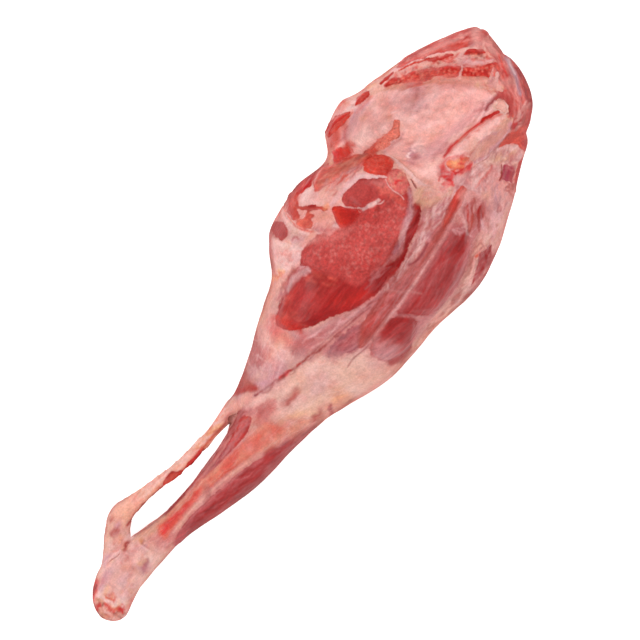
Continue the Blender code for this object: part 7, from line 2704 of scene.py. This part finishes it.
@dataclass
class Studio:
    """The pale floor, the soft light and the camera straight above."""

    aim: Point = (0.0135, 0.0046, 0.045)
    distance: float = 5.05
    turn: float = -57.0
    lens: float = 400.0
    floor_size: float = 30.0
    white: Colour = (0.98, 0.98, 0.98)
    floor_shade: Colour = (0.6, 0.6, 0.6)
    floor_glow: float = 0.8
    sky: float = 0.55 * BRIGHTNESS
    lamps: Tuple[Tuple[Point, float, float], ...] = (
        ((-1.3, 1.1, 1.5), 1.3, 17.0),
        ((1.5, 0.6, 1.6), 1.3, 13.0),
        ((-0.2, -1.7, 1.4), 1.3, 11.0),
    )

    def build(self) -> None:
        """Makes the floor, the light and the camera."""
        self._floor()
        self._light()
        self._camera()
        bpy.context.scene.view_settings.view_transform = "Standard"

    def _floor(self) -> None:
        """A plain pale floor."""
        bpy.ops.object.select_all(action="DESELECT")
        bpy.ops.mesh.primitive_plane_add(size=self.floor_size, location=(0.0, 0.0, 0.0))
        floor = bpy.context.object
        floor.name = "floor"
        board = NodeBoard("pale floor")
        matt = board.node("ShaderNodeBsdfPrincipled", None, {
            "Base Color": opaque(self.floor_shade), "Roughness": 1.0, "Specular IOR Level": 0.0,
            "Emission Color": opaque(self.white), "Emission Strength": self.floor_glow,
        })
        floor.data.materials.append(board.finish(matt))

    def _light(self) -> None:
        """An even white sky and large soft lamps at the sides."""
        world = bpy.data.worlds.new("studio")
        world.use_nodes = True
        sky = world.node_tree.nodes["Background"]
        sky.inputs["Color"].default_value = (1.0, 1.0, 1.0, 1.0)
        sky.inputs["Strength"].default_value = self.sky
        bpy.context.scene.world = world
        for number, (place, size, power) in enumerate(self.lamps, 1):
            lamp = bpy.data.lights.new(f"soft lamp {number}", "AREA")
            lamp.size, lamp.energy = size, power * BRIGHTNESS
            holder = bpy.data.objects.new(lamp.name, lamp)
            holder.location = place
            holder.rotation_euler = (Vector(self.aim) - Vector(place)).to_track_quat("-Z", "Y").to_euler()
            bpy.context.scene.collection.objects.link(holder)

    def _camera(self) -> None:
        """The camera, looking straight down."""
        camera = bpy.data.cameras.new("camera")
        camera.lens, camera.sensor_width = self.lens, 36.0
        holder = bpy.data.objects.new(camera.name, camera)
        holder.location = Vector(self.aim) + Vector((0.0, 0.0, self.distance))
        holder.rotation_euler = (0.0, 0.0, math.radians(self.turn))
        bpy.context.scene.collection.objects.link(holder)
        bpy.context.scene.camera = holder


# --- leg --------------------------------------------------------------------------------


@dataclass
class LegOfLamb:
    """The whole leg: its surface and what stands torn on it."""

    regions: Tuple[Callable[[], List[Patch]], ...] = (
        hock, tendon, shank, knee, behind_the_thigh, thigh, front_of_the_thigh, knee_vein, pelvis, chump,
        walls, outer_side,
    )
    scraps: Tuple[Scrap, ...] = (
        Scrap("corner_fat_flap", "fat", Tone.CREAM, (455.4, -17.6, 457, -16, 459.4, -17, 461, -14.6,
            463.8, -16, 464.4, -20.6, 461.6, -23.4, 458, -26.4, 455.8, -24, 456.4, -20.6), rise=1.2, curl=0.9,
            muscle=False),
        Scrap("torn_fat_edge", "fat", Tone.CREAM, (465.6, -1, 469, -4.4, 474, -5, 479, -4, 478, -7, 474, -9.6,
            471.6, -13.6, 470, -17.4, 467.6, -15, 466.4, -8), rise=0.9, curl=0.9, muscle=False),
        Scrap("tail_shred", "flesh", Tone.CUT_BONE, (375, 71, 379, 73.6, 385, 73.6, 390, 72.6, 394, 70, 396.6,
            67, 391, 68.6, 386, 70.6, 380, 70), rise=0.9, curl=0.8),
        Scrap("tail_shred_low", "flesh", Tone.BRIGHT, (377.6, 69, 384, 68.6, 391, 67.2, 397.6, 65, 392, 65,
            385, 66.8, 379.6, 68), rise=0.7, curl=0.6),
        Scrap("aitch_bone_flap", "bone", Tone.GRANULAR_PINK, (389, 36, 394, 37.4, 400, 37, 406, 36.2,
            411, 36.6, 411.8, 34, 408.6, 31.4, 405, 29, 401.6, 28.2, 398.6, 31, 394, 32.2, 389, 33),
            rise=0.9, curl=0.5, grain=1.0),
        Scrap("heel_clot", "flesh", Tone.CRIMSON, (332, 64.6, 335, 66.4, 339, 66, 343, 66, 346.6, 64.6, 343,
            62.8, 338.6, 62.6, 335, 63.4), rise=0.6, curl=0.6),
    )

    def build(self) -> None:
        """Builds and dresses every piece."""
        patches = [piece for region in self.regions for piece in region()]
        tissue = RawTissue().material()
        lengths = LegSurface(patches).build()
        for skin in lengths:
            skin.data.materials.append(tissue)
            self._place(skin)
            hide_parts(NODE)
        log.info("%d patches of tissue", len(patches))
        for scrap in self.scraps:
            ground = lengths[sum(scrap.outline[0] > end for _, end in LegSurface.lengths)]
            piece = scrap.build(ground)
            piece.data.materials.append(tissue)
            self._place(piece)
            log.info("%s: %d faces", piece.name, len(piece.data.polygons))

    def _place(self, piece: bpy.types.Object) -> None:
        """Sets a piece on the leg's body."""
        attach(piece, BODY)


def main() -> None:
    """Builds the leg and the studio."""
    logging.basicConfig(level=logging.INFO, format="%(name)s: %(message)s")
    LegOfLamb().build()
    Studio().build()


if __name__ == "__main__":
    main()
